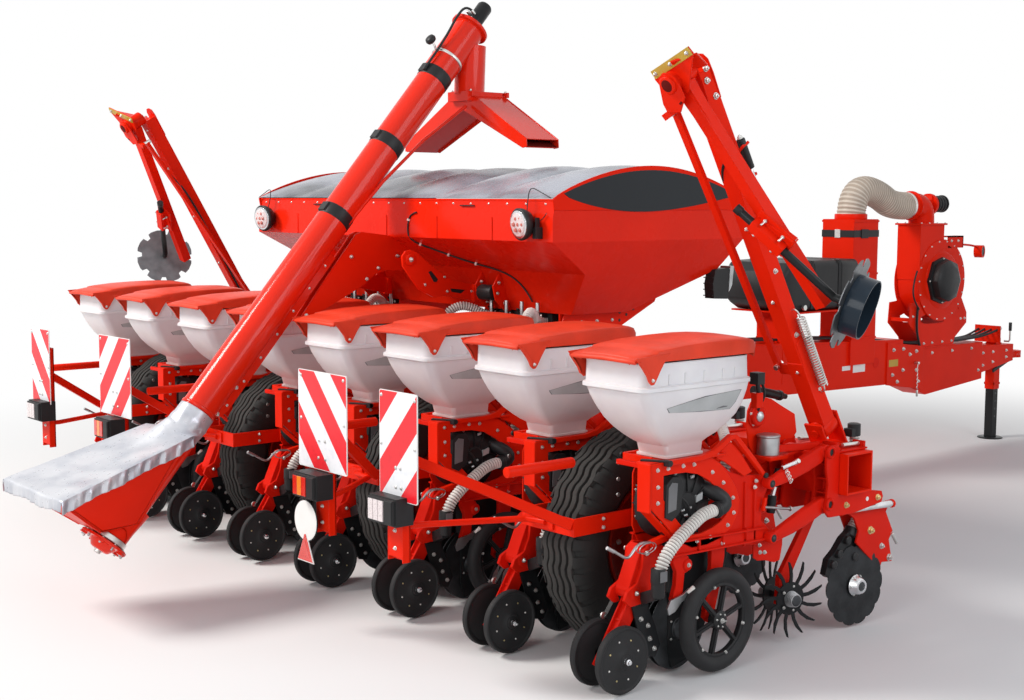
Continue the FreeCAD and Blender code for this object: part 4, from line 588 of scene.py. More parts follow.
def lid_mesh():
    """The bowed red lid: a crowned top, a skirt all round, the rear lip and the two pivot ears."""
    shape = Shape()
    crown = [(0.000, 1.462), (0.004, 1.478), (0.035, 1.487), (0.085, 1.494), (0.118, 1.498), (0.126, 1.505),
             (0.165, 1.510), (0.290, 1.521), (0.440, 1.527), (0.585, 1.529), (0.690, 1.526), (0.735, 1.519),
             (0.752, 1.503), (0.757, 1.470), (0.756, 1.452)]
    half = [0.150, 0.178, 0.192, 0.200, 0.203, 0.204, 0.206, 0.208, 0.209, 0.209, 0.208, 0.204, 0.197, 0.190,
            0.188]
    across = [(-1, -0.052), (-1, -0.012), (-0.97, -0.003), (-0.80, 0.003), (-0.45, 0.007), (0, 0.009),
              (0.45, 0.007), (0.80, 0.003), (0.97, -0.003), (1, -0.012), (1, -0.052)]
    skin = []
    for inset in (0.0, 0.005):
        rows = []
        for (y, z), reach in zip(crown, half):
            end = y > 0.75 or y < 0.002
            row = []
            for share, drop in across:
                down = max(drop, -0.012) if end else drop
                low = 1.458 if 0.1 < y else 1.470
                height = z + down - (inset if abs(share) < 0.99 else 0)
                if abs(share) == 1 and drop < -0.02 and not end:
                    height = low
                row.append((share * (reach - inset), y + (inset if y < 0.3 else -inset), height))
            rows.append(row)
        skin.append(rows)
    outer, inner = skin
    made = [[[shape.mesh.verts.new(point) for point in row] for row in rows] for rows in (outer, inner)]
    for layer, rows in enumerate(made):
        for row, following in zip(rows, rows[1:]):
            for step in range(len(row) - 1):
                quad = (row[step], row[step + 1], following[step + 1], following[step])
                shape.face(quad if layer else quad[::-1], LID_RED)
    top, under = made
    for rows in (lambda r: r[0], lambda r: r[-1]):
        first, second = [rows(r) for r in top], [rows(r) for r in under]
        for step in range(len(first) - 1):
            shape.face((first[step], first[step + 1], second[step + 1], second[step]), LID_RED)
    for row, other in ((top[0], under[0]), (top[-1], under[-1])):
        for step in range(len(row) - 1):
            shape.face((row[step], row[step + 1], other[step + 1], other[step]), LID_RED)
    lip = [(-0.014, 1.478), (0.004, 1.483), (0.030, 1.488), (0.080, 1.494), (0.080, 1.488), (0.034, 1.481),
           (0.010, 1.474), (-0.004, 1.466), (-0.012, 1.460), (-0.018, 1.468)]
    rings = []
    for share in (-1, -0.6, 0, 0.6, 1):
        rings.append([(share * 0.196, y + 0.004 * abs(share), z - 0.006 * abs(share)) for y, z in lip])
    shape.rings(rings, LID_RED)
    ear = [(-0.018, 1.482), (0.190, 1.492), (0.158, 1.462), (0.128, 1.420), (0.106, 1.384), (0.092, 1.366),
           (0.076, 1.364), (0.064, 1.374), (0.050, 1.404), (0.026, 1.436), (0.000, 1.458)]
    for side in SIDES:
        shape.wall(ear, side, 0.2035, 0.2095, LID_RED)
        rim = [(-0.004, 1.464), (0.004, 1.470), (0.030, 1.442), (0.056, 1.408), (0.068, 1.380),
               (0.060, 1.376), (0.046, 1.404), (0.022, 1.434)]
        shape.wall(rim, side, 0.2035, 0.2165, LID_RED)
        shape.bolt((side * 0.2095, 0.083, 1.384), (side, 0, 0), 0.0075)
    return shape.data("lid", bevel=0.0012, smooth=35)


def framed(shape, outer, inner, low, high, material):
    """A plate with a window: both outlines have the same number of corners."""
    loops = [[(x, y, z) for y, z in outline] for x, outline in
             ((low, outer), (high, outer), (high, inner), (low, inner))]
    made = [[shape.mesh.verts.new(point) for point in loop] for loop in loops]
    count = len(outer)
    for number in range(4):
        ring, following = made[number], made[(number + 1) % 4]
        for step in range(count):
            after = (step + 1) % count
            shape.face((ring[step], ring[after], following[after], following[step]), material)


RING_OUTER = [(0.172, 1.006), (0.270, 1.006), (0.400, 1.006), (0.545, 1.000), (0.622, 0.955), (0.684, 0.892),
              (0.732, 0.832), (0.756, 0.770), (0.746, 0.712), (0.706, 0.656), (0.640, 0.616), (0.540, 0.598),
              (0.440, 0.598), (0.352, 0.640), (0.250, 0.742), (0.172, 0.812)]
RING_INNER = [(0.252, 0.946), (0.300, 0.947), (0.392, 0.944), (0.474, 0.926), (0.546, 0.888), (0.604, 0.846),
              (0.648, 0.802), (0.676, 0.756), (0.668, 0.718), (0.628, 0.690), (0.572, 0.670), (0.500, 0.656),
              (0.446, 0.656), (0.398, 0.680), (0.330, 0.748), (0.252, 0.842)]
RING_BOLTS = [(0.212, 0.975), (0.277, 0.975), (0.373, 0.976), (0.443, 0.974), (0.565, 0.925), (0.640, 0.868),
              (0.708, 0.790), (0.715, 0.720), (0.675, 0.668), (0.560, 0.630), (0.470, 0.624), (0.215, 0.90),
              (0.215, 0.83)]
LINK_PINS = [((0.935, 0.831), (1.342, 0.936)), ((0.954, 0.571), (1.342, 0.682))]


def cast_link(shape, rear, front, x, side):
    """A smooth cast arm that widens to the front, with a boss and a black pin at each end."""
    rear, front = Vector((x, *rear)), Vector((x, *front))
    along = (front - rear).normalized()
    up = Vector((1, 0, 0)).cross(along) * -1
    up = up if up.z > 0 else -up
    length = (front - rear).length
    profile = [(0.0, -0.022, 0.022), (0.10, -0.030, 0.024), (0.35, -0.042, 0.030), (0.65, -0.046, 0.036),
               (0.90, -0.042, 0.036), (1.0, -0.030, 0.030)]
    low = [rear + along * length * share + up * under for share, under, _ in profile]
    high = [rear + along * length * share + up * over for share, _, over in reversed(profile)]
    middle = (sum(low + high, Vector()) / 12)
    rings = []
    for value, inset in ((-0.017, 0.88), (-0.012, 1.0), (0.012, 1.0), (0.017, 0.88)):
        rings.append([middle + (point - middle) * inset + Vector((value, 0, 0)) for point in low + high])
    shape.rings(rings, CAST_RED)
    for point, radius in ((rear, 0.027), (front, 0.033)):
        shape.turned([(-0.022, radius - 0.003), (-0.019, radius), (0.019, radius), (0.022, radius - 0.003)],
                     point, (1, 0, 0), CAST_RED, 28)
        shape.turned([(0.020, 0.018), (0.024, 0.018), (0.024, 0.009)], point, (side, 0, 0), BLACK, 24)
        shape.turned([(0.022, 0.009), (0.026, 0.008)], point, (side, 0, 0), DISC_STEEL, 16)


def row_frame_mesh():
    """One row unit's painted steel: side rings, tray, carrying arms, press arm and toolbar clamp."""
    shape = Shape()
    for side in SIDES:
        if side > 0:
            framed(shape, RING_OUTER, RING_INNER, PLATE_IN, PLATE_OUT, RED)
            # rear post face and its diagonal below
            shape.box((0.043, 0.166, 0.790), (PLATE_OUT, 0.176, 1.002), RED)
            shape.beam((0.077, 0.174, 0.800), (0.077, 0.352, 0.640), 0.068, 0.008, RED)
        else:
            inner = [(0.330, 1.000), (0.640, 1.000), (0.660, 0.900), (0.640, 0.600), (0.330, 0.600),
                     (0.290, 0.680), (0.290, 0.920)]
            shape.plate(inner, -0.112, -0.104, RED)
        # front cheek plate that carries the links
        cheek = [(0.640, 0.950), (0.700, 0.905), (0.800, 0.880), (0.905, 0.872), (0.962, 0.850),
                 (0.968, 0.800), (0.930, 0.745), (0.925, 0.650), (0.985, 0.600), (0.988, 0.552),
                 (0.950, 0.530), (0.860, 0.545), (0.700, 0.570), (0.640, 0.600)]
        shape.wall(cheek, side, 0.098, 0.1095, CAST_RED)
        for y, z, tall in ((0.800, 0.700, 0.30), (0.868, 0.700, 0.26)):
            shape.box((side * 0.108, y - 0.006, z - tall / 2), (side * 0.120, y + 0.006, z + tall / 2),
                      CAST_RED)
        # carrying beam: web, flanges and ribs
        for low_x, high_x, drop, depth in ((0.112, 0.120, 0.0, 0.052), (0.104, 0.134, 0.030, 0.009),
                                           (0.104, 0.134, -0.030, 0.009)):
            x = side * (low_x + high_x) / 2
            shape.beam((x, 0.300, 0.612 + drop), (x, 0.930, 0.592 + drop * 0.9), high_x - low_x, depth,
                       CAST_RED)
        for y in (0.330, 0.480, 0.640, 0.800):
            x = side * 0.119
            shape.box((x - 0.014, y - 0.005, 0.584), (x + 0.014, y + 0.005, 0.636), CAST_RED)
        for rear, front in LINK_PINS:
            cast_link(shape, rear, front, side * 0.142, side)
            shape.rod((side * 0.090, *rear), (side * 0.150, *rear), 0.016, CAST_RED)
        # peaked tray bar
        bar = [(0.262, 0.992), (0.470, 0.992), (0.560, 1.004), (0.668, 1.064), (0.690, 1.064), (0.815, 0.945),
               (0.905, 0.860), (0.905, 0.885), (0.822, 0.972), (0.700, 1.086), (0.660, 1.088), (0.548, 1.028),
               (0.470, 1.014), (0.262, 1.014)]
        shape.wall(bar, side, 0.122, 0.146, RED)
        peak = [(0.585, 0.985), (0.640, 1.030), (0.684, 1.050), (0.760, 0.985), (0.835, 0.895),
                (0.780, 0.880), (0.700, 0.930), (0.640, 0.965)]
        shape.wall(peak, side, 0.112, 0.124, RED)
        # gauge wheel arm
        arm = [(0.560, 0.250), (0.590, 0.222), (0.622, 0.244), (0.660, 0.380), (0.690, 0.520), (0.690, 0.590),
               (0.600, 0.590), (0.600, 0.480), (0.575, 0.360)]
        shape.wall(arm, side, 0.070, 0.094, CAST_RED)
        # star wheel skirt
        skirt = [(0.900, 0.560), (1.020, 0.572), (1.120, 0.600), (1.116, 0.500), (1.100, 0.430),
                 (1.060, 0.424), (0.985, 0.446), (0.935, 0.452), (0.905, 0.470)]
        shape.wall(skirt, side, 0.078, 0.084, CAST_RED)
    tray = [(0.262, 0.996), (0.640, 0.996), (0.640, 1.006), (0.262, 1.006)]
    shape.plate(tray, -0.140, 0.140, RED)
    shape.plate([(0.172, 0.996), (0.264, 0.996), (0.264, 1.006), (0.172, 1.006)], 0.030, 0.122, RED)
    shape.plate([(0.257, 0.976), (0.267, 0.976), (0.267, 1.014), (0.257, 1.014)], -0.140, 0.040, RED)
    shape.beam((0.030, 0.200, 1.010), (0.135, 0.262, 1.010), 0.026, 0.008, BLACK)
    for y, z, depth in ((0.200, 0.985, 0.022), (0.900, 0.720, 0.050), (0.910, 0.600, 0.030),
                        (0.600, 0.606, 0.020)):
        shape.beam((-0.110, y, z), (0.110, y, z), 0.024, depth, CAST_RED, (0, 1, 0))
    shape.beam((-0.090, 1.410, 0.81), (0.090, 1.410, 0.81), 0.200, 0.010, CAST_RED, (0, 0, 1))
    press_arm(shape)
    return shape.data("row_frame", bevel=0.0022, smooth=32)


def press_arm(shape):
    """The cast arm that holds the press wheels, with its pivot cheeks."""
    for side in SIDES:
        cheek = [(0.330, 0.612), (0.236, 0.634), (0.200, 0.610), (0.190, 0.536), (0.160, 0.470),
                 (0.100, 0.440), (0.084, 0.404), (0.120, 0.372), (0.190, 0.376), (0.240, 0.410),
                 (0.262, 0.500), (0.330, 0.560)]
        shape.wall(cheek, side, 0.040, 0.058, CAST_RED)
        lobe = [(0.352, 0.600), (0.430, 0.560), (0.446, 0.520), (0.428, 0.490), (0.408, 0.486),
                (0.398, 0.400), (0.372, 0.358), (0.340, 0.352), (0.330, 0.380), (0.352, 0.440),
                (0.356, 0.500), (0.330, 0.550)]
        shape.wall(lobe, side, 0.084, 0.108, CAST_RED)
        shape.turned([(0.0, 0.028), (0.006, 0.028), (0.010, 0.022)], (side * 0.106, 0.424, 0.522),
                     (side, 0, 0), CAST_RED, 24)
        flange_x = side * 0.022
        shape.beam((flange_x, 0.200, 0.412), (flange_x, -0.004, 0.112), 0.010, 0.074, CAST_RED, (1, 0, 0),
                   0.85)
    shape.beam((0, 0.196, 0.404), (0, 0.000, 0.116), 0.044, 0.040, CAST_RED, (1, 0, 0), 0.85)
    for share in (0.15, 0.4, 0.65, 0.88):
        y, z = 0.200 - 0.200 * share, 0.412 - 0.292 * share
        shape.beam((-0.026, y, z), (0.026, y, z), 0.050 - share * 0.012, 0.010, CAST_RED, (0, 0.78, -0.62))
    shape.beam((0, 0.225, 0.628), (0, 0.135, 0.430), 0.078, 0.034, CAST_RED)
    shape.turned([(-0.060, 0.026), (-0.056, 0.030), (0.056, 0.030), (0.060, 0.026)], (0, 0.150, 0.430),
                 (1, 0, 0), CAST_RED, 28)
    shape.turned([(-0.034, 0.026), (-0.031, 0.029), (0.031, 0.029), (0.034, 0.026)], (0, 0.050, 0.156),
                 (1, 0, 0), CAST_RED, 28)
    shape.turned([(-0.100, 0.018), (0.100, 0.018)], (0, 0.348, 0.585), (1, 0, 0), CAST_RED, 20)


def row_fittings_mesh():
    """Bolts, pins, levers, the damper and the other small fittings of one row unit."""
    shape = Shape()
    for side in SIDES:
        for y, z in RING_BOLTS:
            shape.bolt((side * PLATE_OUT, y, z), (side, 0, 0), 0.0085)
        for y, z in ((0.858, 0.820), (0.866, 0.848), (0.640, 0.590), (0.900, 0.540), (0.938, 0.500),
                     (0.905, 0.505)):
            shape.bolt((side * 0.122, y, z), (side, 0, 0), 0.009)
        for y, z in ((0.348, 0.585), (0.150, 0.430), (0.210, 0.600)):
            shape.bolt((side * 0.064, y, z), (side, 0, 0), 0.010)
        shape.bolt((side * 0.116, 0.424, 0.522), (side, 0, 0), 0.009)
        shape.bolt((side * 0.108, 0.369, 0.377), (side, 0, 0), 0.010)
        for y, z in ((0.262, 1.003), (0.905, 0.872)):
            shape.turned([(-0.004, 0.013), (0.006, 0.013), (0.008, 0.011)], (side * 0.146, y, z),
                         (side, 0, 0), BLACK, 16)
    shape.beam((0.124, 0.256, 1.003), (0.154, 0.256, 1.003), 0.020, 0.026, BLACK, (0, 1, 0))
    shape.beam((0.134, 0.258, 1.003), (0.134, 0.480, 1.006), 0.018, 0.010, BLACK)
    # damper between the links
    shape.rod((0.030, 1.140, 0.860), (0.030, 1.115, 0.775), 0.017, BLACK)
    shape.rod((0.030, 1.115, 0.775), (0.030, 1.095, 0.720), 0.013, CHROME)
    shape.rod((0.030, 1.100, 0.735), (0.030, 1.090, 0.650), 0.021, BLACK)
    # threaded rod with its lever
    thread = [(0.120, 0.930 + 0.005 * step, 0.715 - 0.0009 * step) for step in range(38)]
    shape.ribbed(thread, [0.007, 0.0055] * 19, [GREY_STEEL] * 38, 10)
    shape.bolt((0.120, 1.120, 0.682), (0, 1, 0), 0.011)
    shape.beam((0.126, 0.915, 0.700), (0.126, 0.930, 0.760), 0.012, 0.016, RED)
    # locking pin on its chain
    shape.rod((0.165, 1.000, 0.898), (0.165, 1.105, 0.914), 0.010, CHROME)
    shape.rod((0.150, 1.105, 0.905), (0.180, 1.105, 0.923), 0.012, ZINC)
    for step in range(7):
        turn = Vector((0.012, 0.004, 0)) if step % 2 else Vector((0.0, 0.010, 0.004))
        centre = Vector((0.167, 1.030 + 0.006 * step, 0.880 - 0.009 * step))
        ring = [centre + turn * math.cos(math.tau * n / 8)
                + Vector((0, 0.002, 0.008)) * math.sin(math.tau * n / 8)
                for n in range(9)]
        shape.pipe(ring, 0.0016, ZINC, 5, False)
    # depth crank: a bent grey handle and its wire loops
    crank = smooth_line([(0.060, 0.300, 0.648), (0.060, 0.250, 0.640), (0.062, 0.180, 0.652),
                         (0.064, 0.145, 0.640), (0.066, 0.110, 0.606), (0.068, 0.080, 0.596),
                         (0.070, 0.020, 0.632), (0.070, -0.010, 0.650)], 0.012)
    shape.pipe(crank, 0.0065, GREY_STEEL, 10)
    shape.rod((0.070, 0.004, 0.640), (0.070, -0.040, 0.664), 0.009, GREY_STEEL)
    shape.beam((0.060, 0.330, 0.652), (0.060, 0.235, 0.636), 0.030, 0.026, RED)
    for shift in (0.0, 0.018):
        loop = [(0.072 + shift + 0.006 * math.sin(a), 0.190 + 0.052 * math.cos(a),
                 0.630 + 0.026 * math.sin(a)) for a in (math.tau * n / 16 for n in range(17))]
        shape.pipe(loop, 0.0022, GREY_STEEL, 6, False)
    # spring strap and lever over the left press wheel
    shape.beam((-0.070, 0.160, 0.400), (-0.070, 0.085, 0.305), 0.024, 0.008, BLACK)
    shape.turned([(-0.004, 0.016), (0.004, 0.016)], (-0.070, 0.080, 0.316), (1, 0, 0), ZINC, 20)
    # coulter plate, its boot and bolts
    coulter = [(0.130, 0.440), (0.200, 0.452), (0.232, 0.420), (0.260, 0.330), (0.300, 0.250), (0.330, 0.160),
               (0.300, 0.110), (0.250, 0.120), (0.200, 0.210), (0.165, 0.320), (0.140, 0.400)]
    for side in SIDES:
        shape.wall(coulter, side, 0.030, 0.038, BLACK_PAINT)
    for y, z in ((0.178, 0.392), (0.205, 0.300), (0.250, 0.262), (0.262, 0.200), (0.292, 0.150)):
        shape.bolt((0.038, y, z), (1, 0, 0), 0.010)
    shape.rod((0.152, 0.192, 0.500), (0.152, 0.192, 0.425), 0.031, BLACK)
    shape.beam((0.152, 0.192, 0.440), (0.060, 0.205, 0.400), 0.052, 0.052, BLACK, (0, 1, 0))
    # cast crank beside the gauge wheel
    lever = [(0.300, 0.384), (0.380, 0.398), (0.420, 0.420), (0.440, 0.404), (0.420, 0.378), (0.370, 0.366),
             (0.330, 0.330), (0.290, 0.320), (0.280, 0.350)]
    shape.plate(lever, 0.118, 0.128, GREY_STEEL)
    shape.rod((0.128, 0.410, 0.402), (0.150, 0.424, 0.430), 0.010, HOSE_RIB)
    return shape.data("row_fittings", smooth=35)


def meter_mesh():
    """The black vacuum housing with its lid ribs, faceted motor box, elbow and blank labels."""
    shape = Shape()
    centre = (0.430, 0.790)
    for side in SIDES:
        profile = [(0.000, 0.150), (0.040, 0.168), (0.066, 0.170), (0.078, 0.160), (0.084, 0.120),
                   (0.090, 0.112), (0.092, 0.060), (0.100, 0.052), (0.102, 0.004)]
        shape.turned(profile, (0, *centre), (side, 0, 0), BLACK, 44)
        for step in range(12):
            angle = math.tau * step / 12
            inner = Vector((side * 0.092, centre[0] + 0.062 * math.cos(angle),
                            centre[1] + 0.062 * math.sin(angle)))
            outer = Vector((side * 0.084, centre[0] + 0.155 * math.cos(angle),
                            centre[1] + 0.155 * math.sin(angle)))
            shape.beam(inner, outer, 0.006, 0.018, BLACK, (0, -math.sin(angle), math.cos(angle)))
        for step in range(8):
            angle = math.tau * (step + 0.5) / 8
            shape.bolt((side * 0.078, centre[0] + 0.158 * math.cos(angle),
                        centre[1] + 0.158 * math.sin(angle)), (side, 0, 0), 0.006)
    box = [(0.258, 0.760), (0.262, 0.905), (0.300, 0.935), (0.352, 0.930), (0.372, 0.890), (0.352, 0.776),
           (0.300, 0.740)]
    shape.plate(box, 0.060, 0.128, BLACK)
    shape.plate([(0.272, 0.780), (0.274, 0.890), (0.296, 0.912), (0.330, 0.905), (0.322, 0.790)], 0.126,
                0.131, PANEL_EDGE)
    shape.plate([(0.480, 0.795), (0.520, 0.806), (0.522, 0.836), (0.482, 0.826)], 0.088, 0.104, PANEL_GREY)
    shape.plate([(0.455, 0.905), (0.475, 0.910), (0.475, 0.922), (0.455, 0.918)], 0.088, 0.096, PANEL_GREY)
    wire = smooth_line([(0.100, 0.360, 0.840), (0.118, 0.400, 0.820), (0.120, 0.425, 0.760),
                        (0.112, 0.440, 0.720), (0.100, 0.500, 0.700)], 0.012)
    shape.pipe(wire, 0.005, BLACK, 8)
    for y, z in ((0.385, 0.770), (0.405, 0.745), (0.430, 0.775)):
        shape.rod((0.100, y, z), (0.112, y + 0.012, z + 0.006), 0.007, GREY_STEEL, 10)
    elbow = smooth_line([(0.060, 0.560, 0.850), (0.120, 0.585, 0.830), (0.152, 0.625, 0.792),
                         (0.152, 0.600, 0.760), (0.152, 0.545, 0.757)], 0.012)
    shape.pipe(elbow, 0.034, BLACK, 18)
    shape.turned([(0, 0.036), (0.004, 0.038), (0.014, 0.038), (0.018, 0.036)], (0.152, 0.572, 0.758),
                 (0, -1, 0), BLACK, 24)
    shape.box((-0.075, 0.330, 0.930), (0.075, 0.560, 0.998), BLACK)
    return shape.data("meter", smooth=35)


def side_hose_mesh():
    """The wire-wound air hose from the elbow down to the coulter, with its black cuff."""
    shape = Shape()
    route = [(0.152, y, z) for y, z in ((0.5647, 0.760), (0.490, 0.760), (0.400, 0.715), (0.300, 0.655),
                                        (0.225, 0.590), (0.192, 0.510), (0.192, 0.4303))]
    corrugated(shape, route, 0.0295, 0.0150, HOSE_RIB, HOSE_WALL_PAINTED_SHADE, 16, 0.19)
    shape.turned([(0, 0.0315), (0.003, 0.033), (0.062, 0.033), (0.065, 0.0315)], (0.152, 0.193, 0.552),
                 (0, -0.03, -1), BLACK, 24)
    shape.plate([(0.172, 0.498), (0.214, 0.498), (0.214, 0.544), (0.172, 0.544)], 0.1835, 0.1855, PANEL_EDGE)
    return shape.data("side_hose", smooth=30)


def opener_mesh():
    """The black opener: twin cutting discs, the shank between them and its bolts."""
    shape = Shape()
    for side in SIDES:
        shape.turned([(0.0, 0.190), (0.0015, 0.192), (0.0035, 0.192), (0.010, 0.150), (0.012, 0.060),
                      (0.020, 0.050), (0.030, 0.048), (0.032, 0.010)], (side * 0.006, 0.470, 0.205),
                     (side, 0.05, 0), DISC_STEEL, 48)
        for step in range(5):
            angle = math.tau * step / 5
            shape.bolt((side * 0.022, 0.470 + 0.070 * math.cos(angle), 0.205 + 0.070 * math.sin(angle)),
                       (side, 0, 0), 0.007)
    shank = [(0.400, 0.600), (0.700, 0.600), (0.760, 0.500), (0.700, 0.300), (0.560, 0.060), (0.420, 0.030),
             (0.392, 0.120), (0.400, 0.420)]
    shape.plate(shank, -0.026, 0.026, BLACK_PAINT)
    return shape.data("opener", smooth=35)


def gauge_wheel(shape, side):
    """A rubber-tyred depth wheel with six spokes and the bolts that join its halves."""
    near, y, z = 0.112, 0.589, 0.250
    centre = (side * near, y, z)
    shape.turned([(0.008, 0.176), (0.002, 0.200), (0.004, 0.222), (0.014, 0.234), (0.030, 0.238),
                  (0.044, 0.237), (0.058, 0.230), (0.067, 0.214), (0.068, 0.198), (0.062, 0.184),
                  (0.054, 0.178), (0.050, 0.170), (0.020, 0.170)], centre, (side, 0, 0), RUBBER, 64, False)
    shape.turned([(0.020, 0.171), (0.050, 0.171), (0.052, 0.160), (0.046, 0.155), (0.024, 0.155),
                  (0.018, 0.160), (0.020, 0.171)], centre, (side, 0, 0), BLACK, 64, False)
    shape.turned([(0.014, 0.030), (0.016, 0.044), (0.052, 0.044), (0.058, 0.036), (0.060, 0.024),
                  (0.064, 0.022)], centre, (side, 0, 0), BLACK, 32)
    for step in range(6):
        angle = math.tau * (step + 0.25) / 6
        radial = Vector((0, math.cos(angle), math.sin(angle)))
        tangent = Vector((0, -math.sin(angle), math.cos(angle)))
        hub = Vector(centre) + Vector((side * 0.036, 0, 0))
        shape.beam(hub + radial * 0.036, hub + radial * 0.162, 0.014, 0.026, BLACK, tangent)
        shape.beam(hub + radial * 0.036, hub + radial * 0.162, 0.026, 0.008, BLACK, tangent)
        bolt = math.tau * (step + 0.75) / 6
        shape.bolt(hub + Vector((side * 0.012, 0.163 * math.cos(bolt), 0.163 * math.sin(bolt))), (side, 0, 0),
                   0.0085)
        shape.bolt(hub + Vector((side * 0.020, 0.031 * math.cos(bolt), 0.031 * math.sin(bolt))), (side, 0, 0),
                   0.0055)
    shape.bolt(Vector(centre) + Vector((side * 0.062, 0, 0)), (side, 0, 0), 0.011)


def gauge_mesh():
    shape = Shape()
    for side in SIDES:
        gauge_wheel(shape, side)
    return shape.data("gauge", smooth=35)


def press_mesh():
    """The pair of closing wheels: black dished discs with a rubber rim, rivets and a chrome stub."""
    shape = Shape()
    for side in SIDES:
        centre = (side * 0.062, 0.050, 0.156)
        shape.turned([(0.006, 0.128), (0.001, 0.136), (0.000, 0.146), (0.006, 0.150), (0.028, 0.150),
                      (0.034, 0.146), (0.034, 0.138), (0.029, 0.132), (0.027, 0.120), (0.029, 0.060),
                      (0.034, 0.042), (0.040, 0.036), (0.041, 0.020)], centre, (side, 0, 0), RUBBER, 56,
                     False)
        shape.turned([(0.041, 0.022), (0.004, 0.022), (0.005, 0.120), (0.006, 0.128)], centre, (side, 0, 0),
                     RUBBER, 56, False)
        shape.turned([(0.034, 0.030), (0.043, 0.028), (0.045, 0.018)], centre, (side, 0, 0), BLACK, 28)
        shape.turned([(0.042, 0.014), (0.060, 0.014), (0.062, 0.009), (0.070, 0.009), (0.071, 0.006)], centre,
                     (side, 0, 0), CHROME, 20)
        for step in range(8):
            angle = math.tau * (step + 0.4) / 8
            place = Vector(centre) + Vector((side * 0.0275, 0.092 * math.cos(angle), 0.092 * math.sin(angle)))
            look = YELLOW_ZINC if step % 2 else HOSE_RIB
            shape.turned([(0, 0.0042), (0.0025, 0.0042), (0.0035, 0.003)], place, (side, 0, 0), look, 10)
    return shape.data("press", smooth=30)


meshes = {
    "seed_hopper": (hopper_mesh(), "seed_plastic", "seed_hoppers"),
    "row_frame": (row_frame_mesh(), "red_paint", "row_frames"),
    "seed_meter": (meter_mesh(), "black_plastic", "seed_meters"),
    "seed_opener": (opener_mesh(), "black_paint", "seed_openers"),
    "side_hose": (side_hose_mesh(), "clear_hose", "clear_hoses"),
    "row_fittings": (row_fittings_mesh(), "black_paint", None),
    "hopper_panel": (panel_mesh(), "seed_plastic", None),
}
lid, gauge, press = lid_mesh(), gauge_mesh(), press_mesh()
for number, x in enumerate(ROWS, 1):
    place = (x, AXLE_Y, 0)
    for name, (mesh, slot, node) in meshes.items():
        show(f"{name}_{number}", mesh, "frame", (node,) if node else (), place)
    show(f"lid_{number}", lid, f"lid_{number}", (f"seed_lid_{number}",), place)
    show(f"gauge_pair_{number}", gauge, f"gauge_pair_{number}", (f"gauge_wheels_{number}",),
         place)
    show(f"press_pair_{number}", press, f"press_pair_{number}", (f"press_wheels_{number}",),
         place)

# ---- transport wheels, boards, fertiliser hopper, trough ------------------------------------

ORIGIN = (0, AXLE_Y, 0)


def hoop(shape, sections, material):
    """Closed sections joined round a full circle."""
    made = [[shape.mesh.verts.new(point) for point in ring] for ring in sections]
    for number, ring in enumerate(made):
        following = made[(number + 1) % len(made)]
        for step in range(len(ring)):
            after = (step + 1) % len(ring)
            shape.face((ring[step], ring[after], following[after], following[step]), material)


def around(x, radius, angle):
    return (x, radius * math.cos(angle), radius * math.sin(angle))


def tyre_mesh():
    """A worn implement tyre: five zig-zag ribs between cut shoulder lugs on a ridged carcass."""
    shape = Shape()
    side = [(0.088, 0.303), (0.112, 0.318), (0.132, 0.350), (0.137, 0.352), (0.141, 0.372), (0.146, 0.410),
            (0.1475, 0.440), (0.143, 0.470), (0.132, 0.495), (0.116, 0.509), (0.096, 0.516), (0.040, 0.520)]
    section = [(-x, r) for x, r in side] + side[::-1]
    steps = 120
    hoop(shape, [[around(x, r, math.tau * n / steps) for x, r in section] for n in range(steps)], TYRE_RUBBER)
    zigzag = 104
    for centre, wide, high in ((-0.083, 0.031, 0.5305), (-0.042, 0.030, 0.534), (0.0, 0.031, 0.5349),
                               (0.042, 0.030, 0.534), (0.083, 0.031, 0.5305)):
        sections = []
        for number in range(zigzag):
            angle = math.tau * number / zigzag
            x = centre + 0.0065 * (1, 1, -1, -1)[number % 4]
            low, half = 0.512, wide / 2
            sections.append([around(x - half, low, angle), around(x - half + 0.002, high - 0.001, angle),
                             around(x - half + 0.005, high, angle), around(x + half - 0.005, high, angle),
                             around(x + half - 0.002, high - 0.001, angle), around(x + half, low, angle)])
        hoop(shape, sections, WORN_TREAD)
    lugs = 40
    for number in range(lugs):
        for hand in SIDES:
            angle = math.tau * (number + (0.25 if hand > 0 else 0.75)) / lugs
            for low, high, outline in (
                    (-0.30, 0.30, [(0.101, 0.510), (0.101, 0.5295), (0.112, 0.5265), (0.1295, 0.513),
                                   (0.140, 0.492),
                                   (0.1465, 0.462), (0.1470, 0.448), (0.1400, 0.448), (0.130, 0.486),
                                   (0.116, 0.503)]),
                    (-0.12, 0.12, [(0.1380, 0.400), (0.1415, 0.398), (0.1474, 0.436), (0.1474, 0.446),
                                   (0.1400, 0.446)])):
                ends = []
                for share in (low, high):
                    turn = angle + share * math.tau / lugs
                    ends.append([around(hand * x, r, turn + (r - 0.45) * 0.12 * hand) for x, r in outline])
                shape.rings(ends, TYRE_RUBBER)
    return shape.data("tyre", smooth=28)


